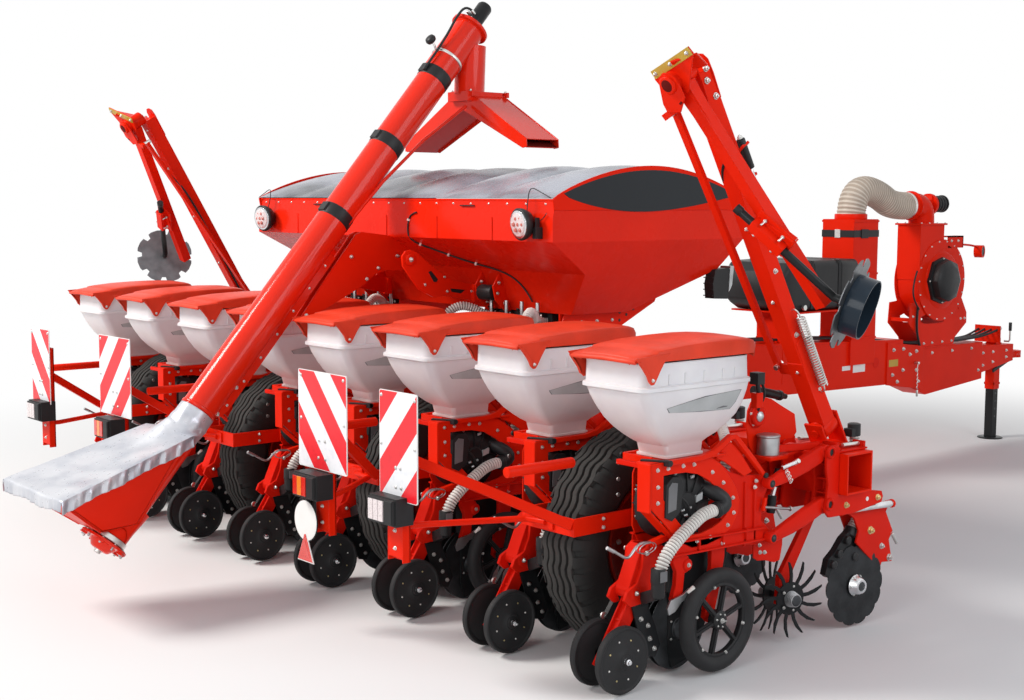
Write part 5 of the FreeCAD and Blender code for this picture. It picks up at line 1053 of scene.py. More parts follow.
def rim_mesh():
    """The painted wheel: a drop-centre rim, a dished disc, its hub and bolts."""
    shape = Shape()
    half = [(0.105, 0.300), (0.105, 0.288), (0.100, 0.282), (0.084, 0.278), (0.060, 0.270), (0.040, 0.262),
            (0.032, 0.250), (0.026, 0.215), (0.018, 0.180), (0.018, 0.130), (0.024, 0.112), (0.060, 0.096),
            (0.080, 0.090), (0.084, 0.080), (0.084, 0.042)]
    section = half + [(-x, r) for x, r in half[::-1]]
    hoop(shape, [[around(x, r, math.tau * n / 72) for x, r in section] for n in range(72)], RIM_PAINT)
    for side in SIDES:
        for step in range(8):
            angle = math.tau * step / 8
            shape.bolt((side * 0.018, 0.155 * math.cos(angle), 0.155 * math.sin(angle)), (side, 0, 0), 0.013)
        shape.turned([(0.0, 0.066), (0.010, 0.066), (0.014, 0.058), (0.014, 0.044)], (side * 0.083, 0, 0),
                     (side, 0, 0), BLACK_PAINT, 32)
    shape.rod((0.060, 0.232, 0.040), (0.092, 0.240, 0.042), 0.006, RUBBER, 10)
    return shape.data("rim", smooth=32)


tyre, rim = tyre_mesh(), rim_mesh()
for number, place in enumerate(TYRES, 1):
    show(f"road_tyre_{number}", tyre, f"transport_wheel_{number}", [f"tyre_{number}"], place)
    show(f"road_rim_{number}", rim, f"transport_wheel_{number}", [f"wheel_rim_{number}"],
         place)

fork = Shape()
for place in TYRES:
    for side in SIDES:
        x = place.x + side * 0.176
        fork.bolt((x, 0.610, 0.535), (side, 0, 0), 0.024, GREY_STEEL)
        for y, z in ((0.540, 0.585), (0.680, 0.585), (0.540, 0.485), (0.680, 0.485), (1.30, 0.86),
                     (1.30, 0.76),
                     (1.20, 0.81), (0.20, 0.71), (0.20, 0.67)):
            fork.bolt((x, y, z), (side, 0, 0), 0.009)
        fork.beam((x, 0.62, 0.60), (x, 1.35, 0.83), 0.012, 0.020, RED)
    fork.plate([(place.x - 0.11, 0.672), (place.x - 0.05, 0.672), (place.x - 0.05, 0.708),
                (place.x - 0.11, 0.708)], 0.0188, 0.0201, RED, "Y")
show("fork_bolts", fork.data("fork_bolts", smooth=35), "frame", place=ORIGIN)

# warning boards: a white plate, a striped sheet each side, rivets, the posts and their arms
THIRD_X, THIRD_Z = 0.1413, 0.1607


def striped_board():
    """Red and white bands that start at the board's upper corner, in thirds of a full board."""
    material, tree, shader = new_material("board_stripes", (0.80, 0.80, 0.80), 0.32)
    place = add_node(tree, "TexCoord").outputs["Object"]
    split = add_node(tree, "SeparateXYZ")
    tree.links.new(place, split.inputs["Vector"])
    side = add_node(tree, "Math", operation="ABSOLUTE")
    tree.links.new(split.outputs["X"], side.inputs[0])
    down = add_node(tree, "Math", operation="MULTIPLY")
    down.inputs[1].default_value = -1 / THIRD_Z
    tree.links.new(split.outputs["Z"], down.inputs[0])
    total = add_node(tree, "Math", operation="MULTIPLY_ADD")
    total.inputs[1].default_value = 1 / THIRD_X
    tree.links.new(side.outputs[0], total.inputs[0])
    tree.links.new(down.outputs[0], total.inputs[2])
    turn = add_node(tree, "Math", operation="FLOORED_MODULO")
    turn.inputs[1].default_value = 2.0
    tree.links.new(total.outputs[0], turn.inputs[0])
    white = add_node(tree, "Math", operation="GREATER_THAN")
    white.inputs[1].default_value = 1.0
    tree.links.new(turn.outputs[0], white.inputs[0])
    rubbed = ramp(tree, noise(tree, 30.0, 3.0), (0.90, 0.92, 0.94), (1, 1, 1), 0.35, 0.5)
    bands = ramp(tree, white.outputs[0], (0.80, 0.012, 0.022), (0.80, 0.81, 0.84), 0.4, 0.6)
    mix = add_node(tree, "Mix", data_type="RGBA", blend_type="MULTIPLY")
    mix.inputs["Factor"].default_value = 0.8
    tree.links.new(bands, mix.inputs["A"])
    tree.links.new(rubbed, mix.inputs["B"])
    tree.links.new(mix.outputs["Result"], shader.inputs["Base Color"])
    cells = add_node(tree, "TexVoronoi", Scale=240.0)
    tree.links.new(place, cells.inputs["Vector"])
    bumped(tree, shader, cells.outputs["Distance"], 0.12, 0.0005)
    return material


BOARD_STRIPES = striped_board()
BOARD_TOP, BOARD_LOW = 1.302, 0.820


def board(name, corner_x, hand, width, y):
    """One board. It hangs from its red upper corner and runs from there to the side of hand."""
    shape = Shape()

    def sheet(inset, near, far, material):
        low, high = sorted((hand * inset, hand * (width - inset)))
        drop = BOARD_LOW - BOARD_TOP
        corner = 0.010
        outline = []
        for cx, cz, start in ((high - corner, -inset - corner, 0), (low + corner, -inset - corner, 1),
                              (low + corner, drop + inset + corner, 2),
                              (high - corner, drop + inset + corner, 3)):
            for step in range(4):
                angle = math.pi / 2 * (start + step / 3)
                outline.append((cx + corner * math.cos(angle), cz + corner * math.sin(angle)))
        shape.plate(outline, near, far, material, "Y")

    sheet(0.0, -0.0015, 0.0035, WHITE_PAINT)
    sheet(0.0035, -0.0022, 0.0040, BOARD_STRIPES)
    for share, fall in ((0.06, 0.05), (0.94, 0.06), (0.05, 0.50), (0.94, 0.50), (0.44, 0.70), (0.56, 0.70),
                        (0.44, 0.88), (0.58, 0.88)):
        place = (hand * width * share, -0.0022, (BOARD_LOW - BOARD_TOP) * fall)
        shape.turned([(0, 0.0085), (0.003, 0.0075), (0.005, 0.004)], place, (0, -1, 0), ZINC, 14)
    return show(name, shape.data(name, smooth=30), "frame",
                ["warning_boards"] if name == "board_inner_right" else (), at(corner_x, y, BOARD_TOP))


board("board_inner_right", 1.357, -1, 0.424, -0.4585)
board("board_inner_left", -1.357, 1, 0.424, -0.4585)
board("board_outer_right", 1.810, 1, 0.280, -0.5885)
board("board_outer_left", -1.810, -1, 0.280, -0.5885)

posts = Shape()


def lamp(place, lens):
    """A black lamp body with its bright lens on the side away from the middle."""
    x, y, z = place
    posts.box((x - 0.100, y - 0.050, z - 0.062), (x + 0.100, y + 0.045, z + 0.062), BLACK)
    posts.box((x - 0.092, y - 0.064, z - 0.055), (x + 0.092, y - 0.048, z + 0.055), BLACK)
    for step in range(3):
        look = lens[step % len(lens)]
        low = x - 0.084 + step * 0.038
        posts.box((low, y - 0.070, z - 0.046), (low + 0.035, y - 0.060, z + 0.046), look)
    posts.box((x + 0.034, y - 0.068, z - 0.050), (x + 0.088, y - 0.060, z + 0.050), BLACK)


for side in SIDES:
    for centre, low, y, wheel in ((1.130, 0.500, -0.452, 0.750), (1.915, 0.540, -0.582, 2.250)):
        x = side * centre
        for reach in (-0.058, 0.050):
            posts.box((x + reach, y, low), (x + reach + 0.008, y + 0.040, 1.180), RED)
        posts.box((x - 0.058, y + 0.034, low), (x + 0.058, y + 0.042, 1.180), RED)
        posts.box((x - 0.050, y, low + 0.02), (x + 0.050, y + 0.006, low + 0.30), RED)
        for z in (low + 0.06, low + 0.14, 0.74, 0.80):
            posts.bolt((x, y, z), (0, -1, 0), 0.009)
        posts.pipe([(x, y + 0.050, 0.690), (x, y + 0.090, 0.690),
                    (side * (wheel + (centre - wheel) * 0.35), -0.010, 0.690), (side * wheel, 0.008, 0.690)],
                   0.0145, RED, 14)
        posts.rod((side * (wheel + 0.16), -0.36, 0.985), (side * (wheel + 0.16), 0.020, 0.985), 0.024, RED)
        posts.beam((x + side * 0.05, y + 0.05, 1.00), (side * (wheel + 0.16), 0.020, 0.700), 0.030, 0.045,
                   RED)
        posts.box((side * wheel - 0.045, 0.010, 0.660), (side * wheel + 0.045, 0.0195, 0.720), RED)
    lamp((side * 1.130, -0.500, 0.752), (LENS_RED, LENS_AMBER))
    lamp((side * 1.915, -0.600, 0.780), (LENS_CLEAR,))
# blank round plate and the red triangle below it
posts.turned([(0, 0.104), (0.003, 0.105), (0.005, 0.104)], (1.045, -0.492, 0.560), (0, -1, 0), BLACK_PAINT,
             48)
posts.turned([(0.004, 0.100), (0.006, 0.100), (0.0065, 0.098)], (1.045, -0.492, 0.560), (0, -1, 0),
             WHITE_PAINT, 48)
posts.beam((1.045, -0.485, 0.640), (1.075, -0.470, 0.720), 0.030, 0.004, BLACK)
# The red triangle is a reflector and no lamp; its LENS_RED faces glow, which is a painted glow.
for grow, near, look in ((1.0, -0.500, WHITE_PAINT), (0.9, -0.503, LENS_RED), (0.55, -0.505, LENS_RED)):
    centre = (1.045, 0.415)
    outline = [(centre[0] + grow * dx, centre[1] + grow * dz) for dx, dz in
               ((-0.074, -0.062), (0.074, -0.062), (0.006, 0.086), (-0.006, 0.086))]
    posts.plate(outline, near, near + 0.006, look, "Y")
posts.beam((1.045, -0.490, 0.470), (1.080, -0.470, 0.530), 0.025, 0.004, RED)
show("board_posts", posts.data("board_posts", bevel=0.0016, smooth=35), "frame",
     ["warning_boards"], ORIGIN)

# ---- fertiliser hopper -------------------------------------------------------------------

BIN_REAR, BIN_FRONT, BIN_TOP = 0.745, 2.245, 2.140


def arch_z(y, rise, low=BIN_TOP):
    share = min(1.0, max(0.0, (y - BIN_REAR) / (BIN_FRONT - BIN_REAR)))
    return low + rise * math.sin(math.pi * share) ** 0.8


def bin_mesh():
    """The folded steel hopper: floor, lower slopes, walls, the facet and rim, and arched ends."""
    shape = Shape()

    def level(z, half, rear, front):
        return [(-half, rear, z), (half, rear, z), (half, front, z), (-half, front, z)]

    outside = [(1.500, 1.180, 1.150, 1.590), (1.735, 1.380, 1.060, 2.120), (1.915, 1.470, 0.745, 2.245),
               (2.040, 1.470, 0.745, 2.245), (2.090, 1.464, 0.762, 2.228), (2.138, 1.464, 0.762, 2.228)]
    rings = [level(*section) for section in outside]
    rings += [level(z, half - 0.006, rear + 0.006, front - 0.006)
              for z, half, rear, front in outside[::-1][:-1]]
    rings.append(level(1.506, 1.174, 1.156, 1.584))
    shape.rings(rings, BIN_RED)
    for y in (0.760, 2.230):
        low, high = sorted((y, y + (0.012 if y < 1 else -0.012)))
        shape.box((-1.464, low, 2.128), (1.464, high, 2.139), RED)
        for step in range(19):
            shape.bolt((-1.395 + 0.155 * step, 0.762 if y < 1 else 2.228, 2.112), (0, -1 if y < 1 else 1, 0),
                       0.0055)
    for x in (-0.98, -0.49, 0.0, 0.49, 0.98):
        shape.box((x - 0.003, 0.7405, 1.915), (x + 0.003, 0.7455, 2.040), BIN_RED)
    for x in (-0.75, 0.75):
        shape.box((x - 0.060, 0.750, 2.098), (x + 0.060, 0.762, 2.104), BLACK)
    steps = [BIN_REAR + (BIN_FRONT - BIN_REAR) * n / 40 for n in range(41)]
    for side in SIDES:
        low, high = sorted((side * 1.462, side * 1.470))
        upper = [(y, arch_z(y, 0.186, 2.136)) for y in steps]
        shape.plate([(BIN_REAR + 0.012, 2.08)] + upper + [(BIN_FRONT - 0.012, 2.08)], low, high, RED)
        dark = [(y, arch_z(y, 0.170, 2.128)) for y in steps[2:-1]]
        for number in range(len(dark), 0, -1):
            y = dark[number - 1][0]
            share = (y - 0.80) / 1.41
            if 0.02 < share < 0.98:
                dark.append((y, 2.168 - 0.096 * math.sin(math.pi * share ** 0.8)))
        shape.wall(dark, side, 1.4698, 1.4712, TARP_END)
    return shape.data("bin", bevel=0.003, smooth=25)


def bin_details():
    """Lamps, wires, the side chute, brackets and the cable along the seam."""
    shape = Shape()
    for side in SIDES:
        x, y, z = side * 1.300, 0.672, 2.012
        shape.turned([(0.0, 0.066), (0.030, 0.082), (0.052, 0.086), (0.058, 0.080), (0.058, 0.072)],
                     (x, y + 0.050, z), (-0.12 * side, -1, -0.12), BLACK, 36)
        shape.turned([(0.056, 0.074), (0.062, 0.074), (0.064, 0.062)], (x, y + 0.050, z),
                     (-0.12 * side, -1, -0.12), CHROME, 36)
        shape.turned([(0.060, 0.066), (0.068, 0.060), (0.071, 0.030)], (x, y + 0.050, z),
                     (-0.12 * side, -1, -0.12), LENS_CLEAR, 32)
        for step in range(7):
            angle = math.tau * step / 6
            reach = 0.034 if step < 6 else 0
            shape.turned([(0.066, 0.012), (0.074, 0.008)],
                         (x + reach * math.cos(angle), y + 0.048, z + reach * math.sin(angle)), (0, -1, -0.1),
                         LENS_WARM, 12)
        shape.beam((x + side * 0.075, 0.700, z - 0.050), (x + side * 0.080, 0.744, z - 0.050), 0.030, 0.060,
                   BLACK)
        shape.beam((x + side * 0.086, 0.712, z + 0.03), (x + side * 0.086, 0.712, z - 0.06), 0.008, 0.028,
                   BLACK)
        wire = smooth_line([(x, 0.716, z + 0.060), (x - side * 0.010, 0.730, z + 0.130),
                            (x, 0.738, z + 0.190), (x + side * 0.060, 0.742, z + 0.170),
                            (x + side * 0.160, 0.742, z + 0.130)], 0.02)
        shape.pipe(wire, 0.0028, BLACK, 6)
        low = smooth_line([(x, 0.716, z - 0.020), (x + side * 0.10, 0.735, z + 0.005),
                           (x + side * 0.130, 0.738, z + 0.055)], 0.02)
        shape.pipe(low, 0.0025, BLACK, 6)
    seam = smooth_line([(0.30, 0.742, 2.06), (0.24, 0.741, 2.05), (0.215, 0.740, 1.99), (0.22, 0.741, 1.90),
                        (0.30, 0.860, 1.845), (0.50, 0.980, 1.772), (0.72, 1.062, 1.725),
                        (0.86, 1.090, 1.640), (0.90, 1.110, 1.560)], 0.03)
    shape.pipe(seam, 0.005, BLACK, 7)
    for number in (3, 9, 15, 21):
        place = seam[number]
        shape.turned([(-0.006, 0.010), (0.006, 0.010)], place, (seam[number + 1] - place), HOSE_RIB, 10)
    # perforated brackets between the floor's ends and the stand
    for side in SIDES:
        for rear, front in ((1.150, 1.590),):
            low, high = sorted((side * 1.094, side * 1.102))
            outline = [(rear + 0.02, 1.498), (front + 0.36, 1.660), (front + 0.30, 1.540), (front, 1.400),
                       (1.460, 1.330), (1.340, 1.330), (rear - 0.01, 1.420)]
            shape.plate(outline, low, high, RED)
            for row in range(2):
                for step in range(5):
                    y, z = 1.60 + 0.055 * step, 1.490 + 0.030 * step - 0.045 * row
                    shape.turned([(0, 0.009), (0.0015, 0.009)], (side * 1.102, y, z), (side, 0, 0), BLACK, 12)
        for y in (1.20, 1.30, 1.42, 1.54):
            shape.bolt((side * 1.102, y, 1.450), (side, 0, 0), 0.009)
        # the emptying chute at the front end
        shape.wall([(2.080, 1.735), (2.205, 1.742), (2.215, 1.700), (2.190, 1.560), (2.070, 1.566),
                    (2.060, 1.650)], side, 1.335, 1.405, BLACK)
        shape.wall([(2.205, 1.752), (2.236, 1.752), (2.222, 1.640), (2.196, 1.600)], side, 1.330, 1.410,
                   GREY_STEEL)
        for step in range(4):
            shape.box((side * 1.370 - 0.037, 2.055, 1.580 + 0.035 * step),
                      (side * 1.370 + 0.037, 2.062, 1.586 + 0.035 * step), BLACK)
        # slanted wing brackets and a motor under the rear slope
        wing = [(1.060, 1.715), (1.010, 1.640), (1.030, 1.560), (1.120, 1.480), (1.150, 1.500),
                (1.100, 1.640)]
        for x in (0.50, 0.66):
            shape.wall(wing, side, x, x + 0.010, RED)
            for y, z in ((1.055, 1.660), (1.045, 1.600), (1.100, 1.540)):
                shape.bolt((side * (x + 0.010), y, z), (side, 0, 0), 0.010)
        shape.rod((side * 0.52, 1.050, 1.600), (side * 0.64, 1.050, 1.600), 0.045, BLACK)
    return shape.data("bin_details", bevel=0.001, smooth=35)


BIN_RED = paint("hopper_red", (0.78, 0.018, 0.004), 0.26, 0.004, 0.15)
TARP_END = paint("dark_end", (0.012, 0.016, 0.020), 0.22, 0.002, 0.4)
LENS_WARM = glowing_glass("lens_warm", (0.62, 0.16, 0.12), 0.0)
show("fertiliser_bin", bin_mesh(), "frame", ["fertiliser_hopper"], ORIGIN)
show("bin_details", bin_details(), "frame", place=ORIGIN)


def tarp_mesh():
    """The hopper's cloth cover: one sheet over its bows, pulled down by a strap every half metre."""
    shape = Shape()
    columns, rows = 120, 36
    grid = []
    for column in range(columns + 1):
        x = -1.462 + 2.924 * column / columns
        phase = (x + 1.470) / 0.490
        bulge = abs(math.sin(math.pi * phase)) ** 0.55
        line = []
        for row in range(rows + 1):
            share = row / rows
            y = BIN_REAR + 0.010 + (BIN_FRONT - BIN_REAR - 0.020) * share
            lift = math.sin(math.pi * share) ** 0.8
            fold = 0.005 * math.sin(4 * phase + 5 * share) * lift * (1 - bulge * 0.6)
            z = BIN_TOP + 0.004 + lift * (0.128 + 0.056 * bulge) + fold
            line.append((x, y, min(z, BIN_TOP + 0.189)))
        grid.append(line)
    top = [[shape.mesh.verts.new(point) for point in line] for line in grid]
    low = [[shape.mesh.verts.new((x, y, z - 0.0015)) for x, y, z in line] for line in grid]
    for layer, flip in ((top, False), (low, True)):
        for line, following in zip(layer, layer[1:]):
            for step in range(rows):
                quad = (line[step], following[step], following[step + 1], line[step + 1])
                shape.face(quad[::-1] if flip else quad, TARP)
    for first, second in ((top[0], low[0]), (top[-1], low[-1])):
        for step in range(rows):
            shape.face((first[step], first[step + 1], second[step + 1], second[step]), TARP)
    for end in (0, rows):
        for number in range(columns):
            shape.face((top[number][end], top[number + 1][end], low[number + 1][end], low[number][end]), TARP)
    return shape.data("tarp", smooth=60)


tarp = show("tarp_sheet", tarp_mesh(), "frame", ["hopper_tarp"], ORIGIN)

# ---- stand, auger and trough ------------------------------------------------------------------

def stand_mesh():
    """The hopper's plate legs and the two cheeks that carry the auger's rail."""
    shape = Shape()
    for side in SIDES:
        for reach in (0.430, 1.080):
            low, high = sorted((side * (reach - 0.006), side * (reach + 0.006)))
            shape.plate([(1.420, 0.932), (1.620, 0.932), (1.640, 0.960), (1.590, 1.400), (1.590, 1.499),
                         (1.150, 1.499), (1.150, 1.452), (1.260, 1.410), (1.380, 1.240), (1.400, 0.960)],
                        low, high, RED)
            shape.box((side * reach - 0.055, 1.425, 0.931), (side * reach + 0.055, 1.615, 0.943), RED)
            for y in (1.445, 1.595):
                shape.bolt((side * reach - 0.035, y, 0.943), (0, 0, 1), 0.011)
                shape.bolt((side * reach + 0.035, y, 0.943), (0, 0, 1), 0.011)
        low, high = sorted((side * 0.0225, side * 0.0345))
        shape.plate([(0.105, 1.440), (0.300, 1.690), (0.470, 1.890), (0.500, 1.930), (0.540, 1.944),
                     (0.743, 1.920), (0.860, 1.852), (0.930, 1.810), (0.925, 1.760), (0.833, 1.710),
                     (0.720, 1.716), (0.645, 1.700), (0.568, 1.640), (0.288, 1.506)], low, high, RED)
        for y, z in ((0.578, 1.668), (0.660, 1.730), (0.800, 1.800), (0.470, 1.800), (0.160, 1.475)):
            shape.bolt((side * 0.0345, y, z), (side, 0, 0), 0.011)
        # swinging bracket with a boss, a slot and a window; the slot and the window are black sheets of
        # painted shade
        arm = [(0.540, 1.815), (0.562, 1.842), (0.600, 1.850), (0.640, 1.835), (0.780, 1.735), (0.900, 1.668),
               (1.060, 1.640), (1.085, 1.560), (1.070, 1.540), (0.840, 1.582), (0.760, 1.576), (0.660, 1.622),
               (0.600, 1.690), (0.545, 1.760)]
        shape.wall(arm, side, 0.424, 0.438, RED)
        shape.turned([(0, 0.034), (0.010, 0.034), (0.014, 0.026)], (side * 0.438, 0.592, 1.796), (side, 0, 0),
                     RED, 28)
        shape.bolt((side * 0.451, 0.592, 1.796), (side, 0, 0), 0.013)
        # Painted shade: black sheets where the slot and the window are.
        shape.wall([(0.722, 1.722), (0.742, 1.728), (0.792, 1.676), (0.780, 1.662), (0.760, 1.664)], side,
                   0.4380, 0.4392, BLACK)
        shape.wall([(0.880, 1.622), (0.990, 1.610), (0.960, 1.590), (0.890, 1.602)], side, 0.4380, 0.4392,
                   BLACK)
        for y, z in ((0.700, 1.650), (0.840, 1.690), (0.860, 1.606), (1.040, 1.600)):
            shape.bolt((side * 0.438, y, z), (side, 0, 0), 0.008)
        shape.box((side * 0.40, 1.040, 1.540), (side * 0.46, 1.070, 1.640), RED)
    return shape.data("stand", bevel=0.0015, smooth=35)


show("bin_stand", stand_mesh(), "frame", ["hopper_stand"], ORIGIN)

AUGER_TURN = math.radians(49.1)
AUGER_UP = Vector((0, math.cos(AUGER_TURN), math.sin(AUGER_TURN)))
AUGER_OVER = Vector((0, -math.sin(AUGER_TURN), math.cos(AUGER_TURN)))
AUGER_FOOT = Vector((0, -1.080, 0.340))


def along_auger(distance, lift=0.0, x=0.0):
    return AUGER_FOOT + AUGER_UP * distance + AUGER_OVER * lift + Vector((x, 0, 0))


def auger_mesh():
    """The auger: its pipe, rail, motor, spout and roof-shaped chute, with bands, clamps and bolts."""
    shape = Shape()

    def pipe(profile, material, sides=56, x=0.0):
        shape.turned(profile, AUGER_FOOT + Vector((x, 0, 0)), AUGER_UP, material, sides)

    pipe([(0.020, 0.0975), (1.200, 0.0980), (3.740, 0.0980)], AUGER_RED)
    collar = 0.855
    pipe([(collar, 0.0985), (collar + 0.003, 0.1035), (collar + 0.017, 0.1035), (collar + 0.020, 0.0985)],
         AUGER_RED)
    for centre in (2.235, 2.790, 3.330):
        pipe([(centre - 0.0375, 0.0985), (centre - 0.035, 0.1005), (centre + 0.035, 0.1005),
              (centre + 0.0375, 0.0985)], BLACK)
        place = along_auger(centre, 0.099)
        shape.beam(place - AUGER_UP * 0.030, place + AUGER_UP * 0.030, 0.060, 0.016, BLACK)
    pipe([(3.470, 0.0985), (3.472, 0.1035), (3.488, 0.1035), (3.490, 0.0985)], ZINC)
    # rail under the pipe
    rail = [(0.905, -0.080), (2.050, -0.080), (2.050, -0.144), (0.960, -0.144), (0.905, -0.125)]
    shape.rings([[along_auger(a, b, x) for a, b in rail] for x in (-0.021, 0.021)], AUGER_RED)
    for number in range(7):
        for side in SIDES:
            shape.bolt(along_auger(0.98 + 0.165 * number, -0.118, side * 0.021), (side, 0, 0), 0.007)
    for a in (0.90, 1.08):
        shape.bolt(along_auger(a, -0.080, 0.060), (1, 0, -0.6), 0.011)
    # foot: silver clamp, bolted flange and the drive end
    pipe([(0.0, 0.120), (0.001, 0.134), (0.014, 0.134), (0.016, 0.128), (0.016, 0.099)], AUGER_RED)
    pipe([(0.022, 0.101), (0.024, 0.109), (0.052, 0.109), (0.054, 0.101)], ZINC)
    for step in range(10):
        turn = math.tau * step / 10
        place = along_auger(0.012, 0.120 * math.sin(turn), 0.120 * math.cos(turn))
        shape.bolt(place, AUGER_UP, 0.009)
        shape.rod(place - AUGER_UP * 0.030, place, 0.006, GREY_STEEL, 10)
        if step % 2:
            shape.beam(along_auger(-0.004, 0.100 * math.sin(turn), 0.100 * math.cos(turn)),
                       along_auger(-0.004, 0.135 * math.sin(turn), 0.135 * math.cos(turn)), 0.034, 0.012,
                       AUGER_RED,
                       AUGER_UP.cross(Vector((math.cos(turn), 0, 0)) + AUGER_OVER * math.sin(turn)))
    pipe([(-0.040, 0.040), (-0.036, 0.052), (-0.010, 0.072), (0.001, 0.080)], AUGER_RED, 28)
    pipe([(-0.058, 0.016), (-0.054, 0.020), (-0.038, 0.020)], ZINC, 20)
    shape.rod(along_auger(0.038, 0.070, -0.100), along_auger(0.038, -0.020, -0.114), 0.010, ZINC)
    # head: flange, motor and its ports
    pipe([(3.738, 0.099), (3.740, 0.1205), (3.758, 0.1205), (3.760, 0.110), (3.760, 0.062)], AUGER_RED)
    pipe([(3.758, 0.050), (3.762, 0.058), (3.800, 0.060), (3.804, 0.048), (3.930, 0.048), (3.944, 0.040)],
         BLACK_PAINT, 32)
    for step in range(8):
        turn = math.tau * step / 8
        shape.bolt(along_auger(3.758, 0.106 * math.sin(turn), 0.106 * math.cos(turn)), AUGER_UP, 0.008)
    for x in (-0.022, 0.022):
        shape.rod(along_auger(3.830, 0.040, x), along_auger(3.830, 0.075, x), 0.011, ZINC)
    hose = smooth_line([along_auger(3.830, 0.075, 0.022), along_auger(3.815, 0.125, 0.030),
                        along_auger(3.720, 0.140, 0.040), along_auger(3.560, 0.118, 0.042),
                        along_auger(3.380, 0.108, 0.036), along_auger(3.300, 0.108, 0.030)], 0.02)
    shape.pipe(hose, 0.008, BLACK, 8)
    # knob on its stalk beside the upper band
    shape.rod(along_auger(3.470, 0.098), along_auger(3.490, 0.150), 0.007, ZINC)
    shape.turned([(0.0, 0.010), (0.006, 0.028), (0.022, 0.034), (0.038, 0.028), (0.044, 0.012)],
                 along_auger(3.488, 0.148), AUGER_OVER, BLACK, 20)
    # spout: a short round neck into a square collar, over the roof chute
    shape.turned([(0.0, 0.094), (0.010, 0.100), (0.020, 0.094), (0.300, 0.094)], (0, 1.372, 2.770),
                 (0, 0.04, 1), AUGER_RED, 40)
    shape.box((-0.097, 1.280, 2.732), (0.097, 1.560, 2.790), AUGER_RED)
    roof = [(-0.595, 2.492), (-0.060, 2.789), (0.060, 2.789), (0.595, 2.492), (0.599, 2.442), (0.560, 2.436),
            (0.0, 2.682), (-0.560, 2.436), (-0.599, 2.442)]
    for low, high in ((1.322, 1.328), (1.572, 1.578)):
        shape.plate(roof, low, high, AUGER_RED, "Y")
    for side in SIDES:
        for lift in (0.0, -0.104):
            start, end = Vector((side * 0.050, 1.450, 2.786 + lift)), Vector((side * 0.590, 1.450, 2.487
                                                                              + lift * 0.45))
            shape.beam(start, end, 0.250, 0.006, AUGER_RED, (0, 1, 0))
        # The dark strip under each side of the roof chute is painted shade of its underside.
        shape.beam((side * 0.120, 1.450, 2.690), (side * 0.590, 1.450, 2.443), 0.244, 0.004, PAINTED_SHADE_RED,
                   (0, 1, 0))
        for y in (1.312, 1.588):
            shape.box((side * 0.090 - 0.025, y - 0.010, 2.760), (side * 0.090 + 0.025, y + 0.010, 2.792),
                      AUGER_RED)
            shape.bolt((side * 0.090, y, 2.792), (0, 0, 1), 0.009)
    brace = [(0.06, 1.300, 2.700), (0.075, 0.960, 2.480), (0.085, 0.660, 2.236), (0.075, 0.420, 1.990)]
    shape.pipe(brace, 0.010, AUGER_RED, 10)
    return shape.data("auger", bevel=0.0015, smooth=35)


AUGER_RED = paint("auger_red", (0.78, 0.022, 0.006), 0.22, 0.003, 0.4)
# Dark red for red paint in shade: painted shade under the roof chute and in bores, slots and windows.
PAINTED_SHADE_RED = paint("painted_shade_red", (0.12, 0.008, 0.006), 0.6, 0.002, 0.0)
show("auger_pipe", auger_mesh(), "auger", ["auger_tube"], ORIGIN)


CONE_SIDES = 32


def trough_mesh():
    """The sheet-steel funnel round the auger's foot, with a rolled rim and welded seams."""
    shape = Shape()

    def ring(level, inset):
        low = [(-0.128, -1.150, 0.430), (0.128, -1.150, 0.430), (0.128, -0.930, 0.440),
               (-0.128, -0.930, 0.440)]
        high = [(-0.350, -1.450, 0.660), (0.350, -1.450, 0.660), (0.255, -0.700, 0.890),
                (-0.255, -0.700, 0.890)]
        result = []
        for a, b in zip(low, high):
            point = Vector(a).lerp(Vector(b), level)
            middle = Vector((0, (-1.04 - 0.035 * level), point.z))
            away = point - middle
            result.append(middle + away * (1 - inset / away.length))
        return result

    shape.rings([ring(0.0, 0), ring(0.97, 0), ring(0.975, -0.008), ring(0.999, -0.008), ring(0.999, 0.006),
                 ring(0.97, 0.006), ring(0.0, 0.006)], RED, caps=False)
    # the lower cone down to the foot flange, and its seam
    turns = [math.tau * number / CONE_SIDES for number in range(CONE_SIDES)]
    rings = [[along_auger(distance, math.sin(turn) * radius, math.cos(turn) * radius) for turn in turns]
             for distance, radius in ((0.056, 0.102), (0.120, 0.104), (0.240, 0.118))]
    shape.rings(rings, RED, caps=False)
    corners = ring(0.02, 0)
    base = [along_auger(0.056, o * 0.104, x * 0.104)
            for x, o in ((-0.8, 0.6), (0.8, 0.6), (0.8, -0.6), (-0.8, -0.6))]
    shape.rings([corners, base], RED, caps=False)
    for side in SIDES:
        shape.beam(Vector((side * 0.128, -1.150, 0.430)), Vector((side * 0.350, -1.450, 0.656)), 0.008, 0.008,
                   RED)
        for step in range(5):
            share = (step + 0.5) / 5
            shape.bolt((side * (0.350 - 0.095 * share + 0.008), -1.450 + 0.75 * share,
                        0.655 + 0.23 * share - 0.02), (side, 0, 0), 0.006)
    return shape.data("trough", bevel=0.001, smooth=30)


show("trough", trough_mesh(), "auger", ["auger_trough"], ORIGIN)


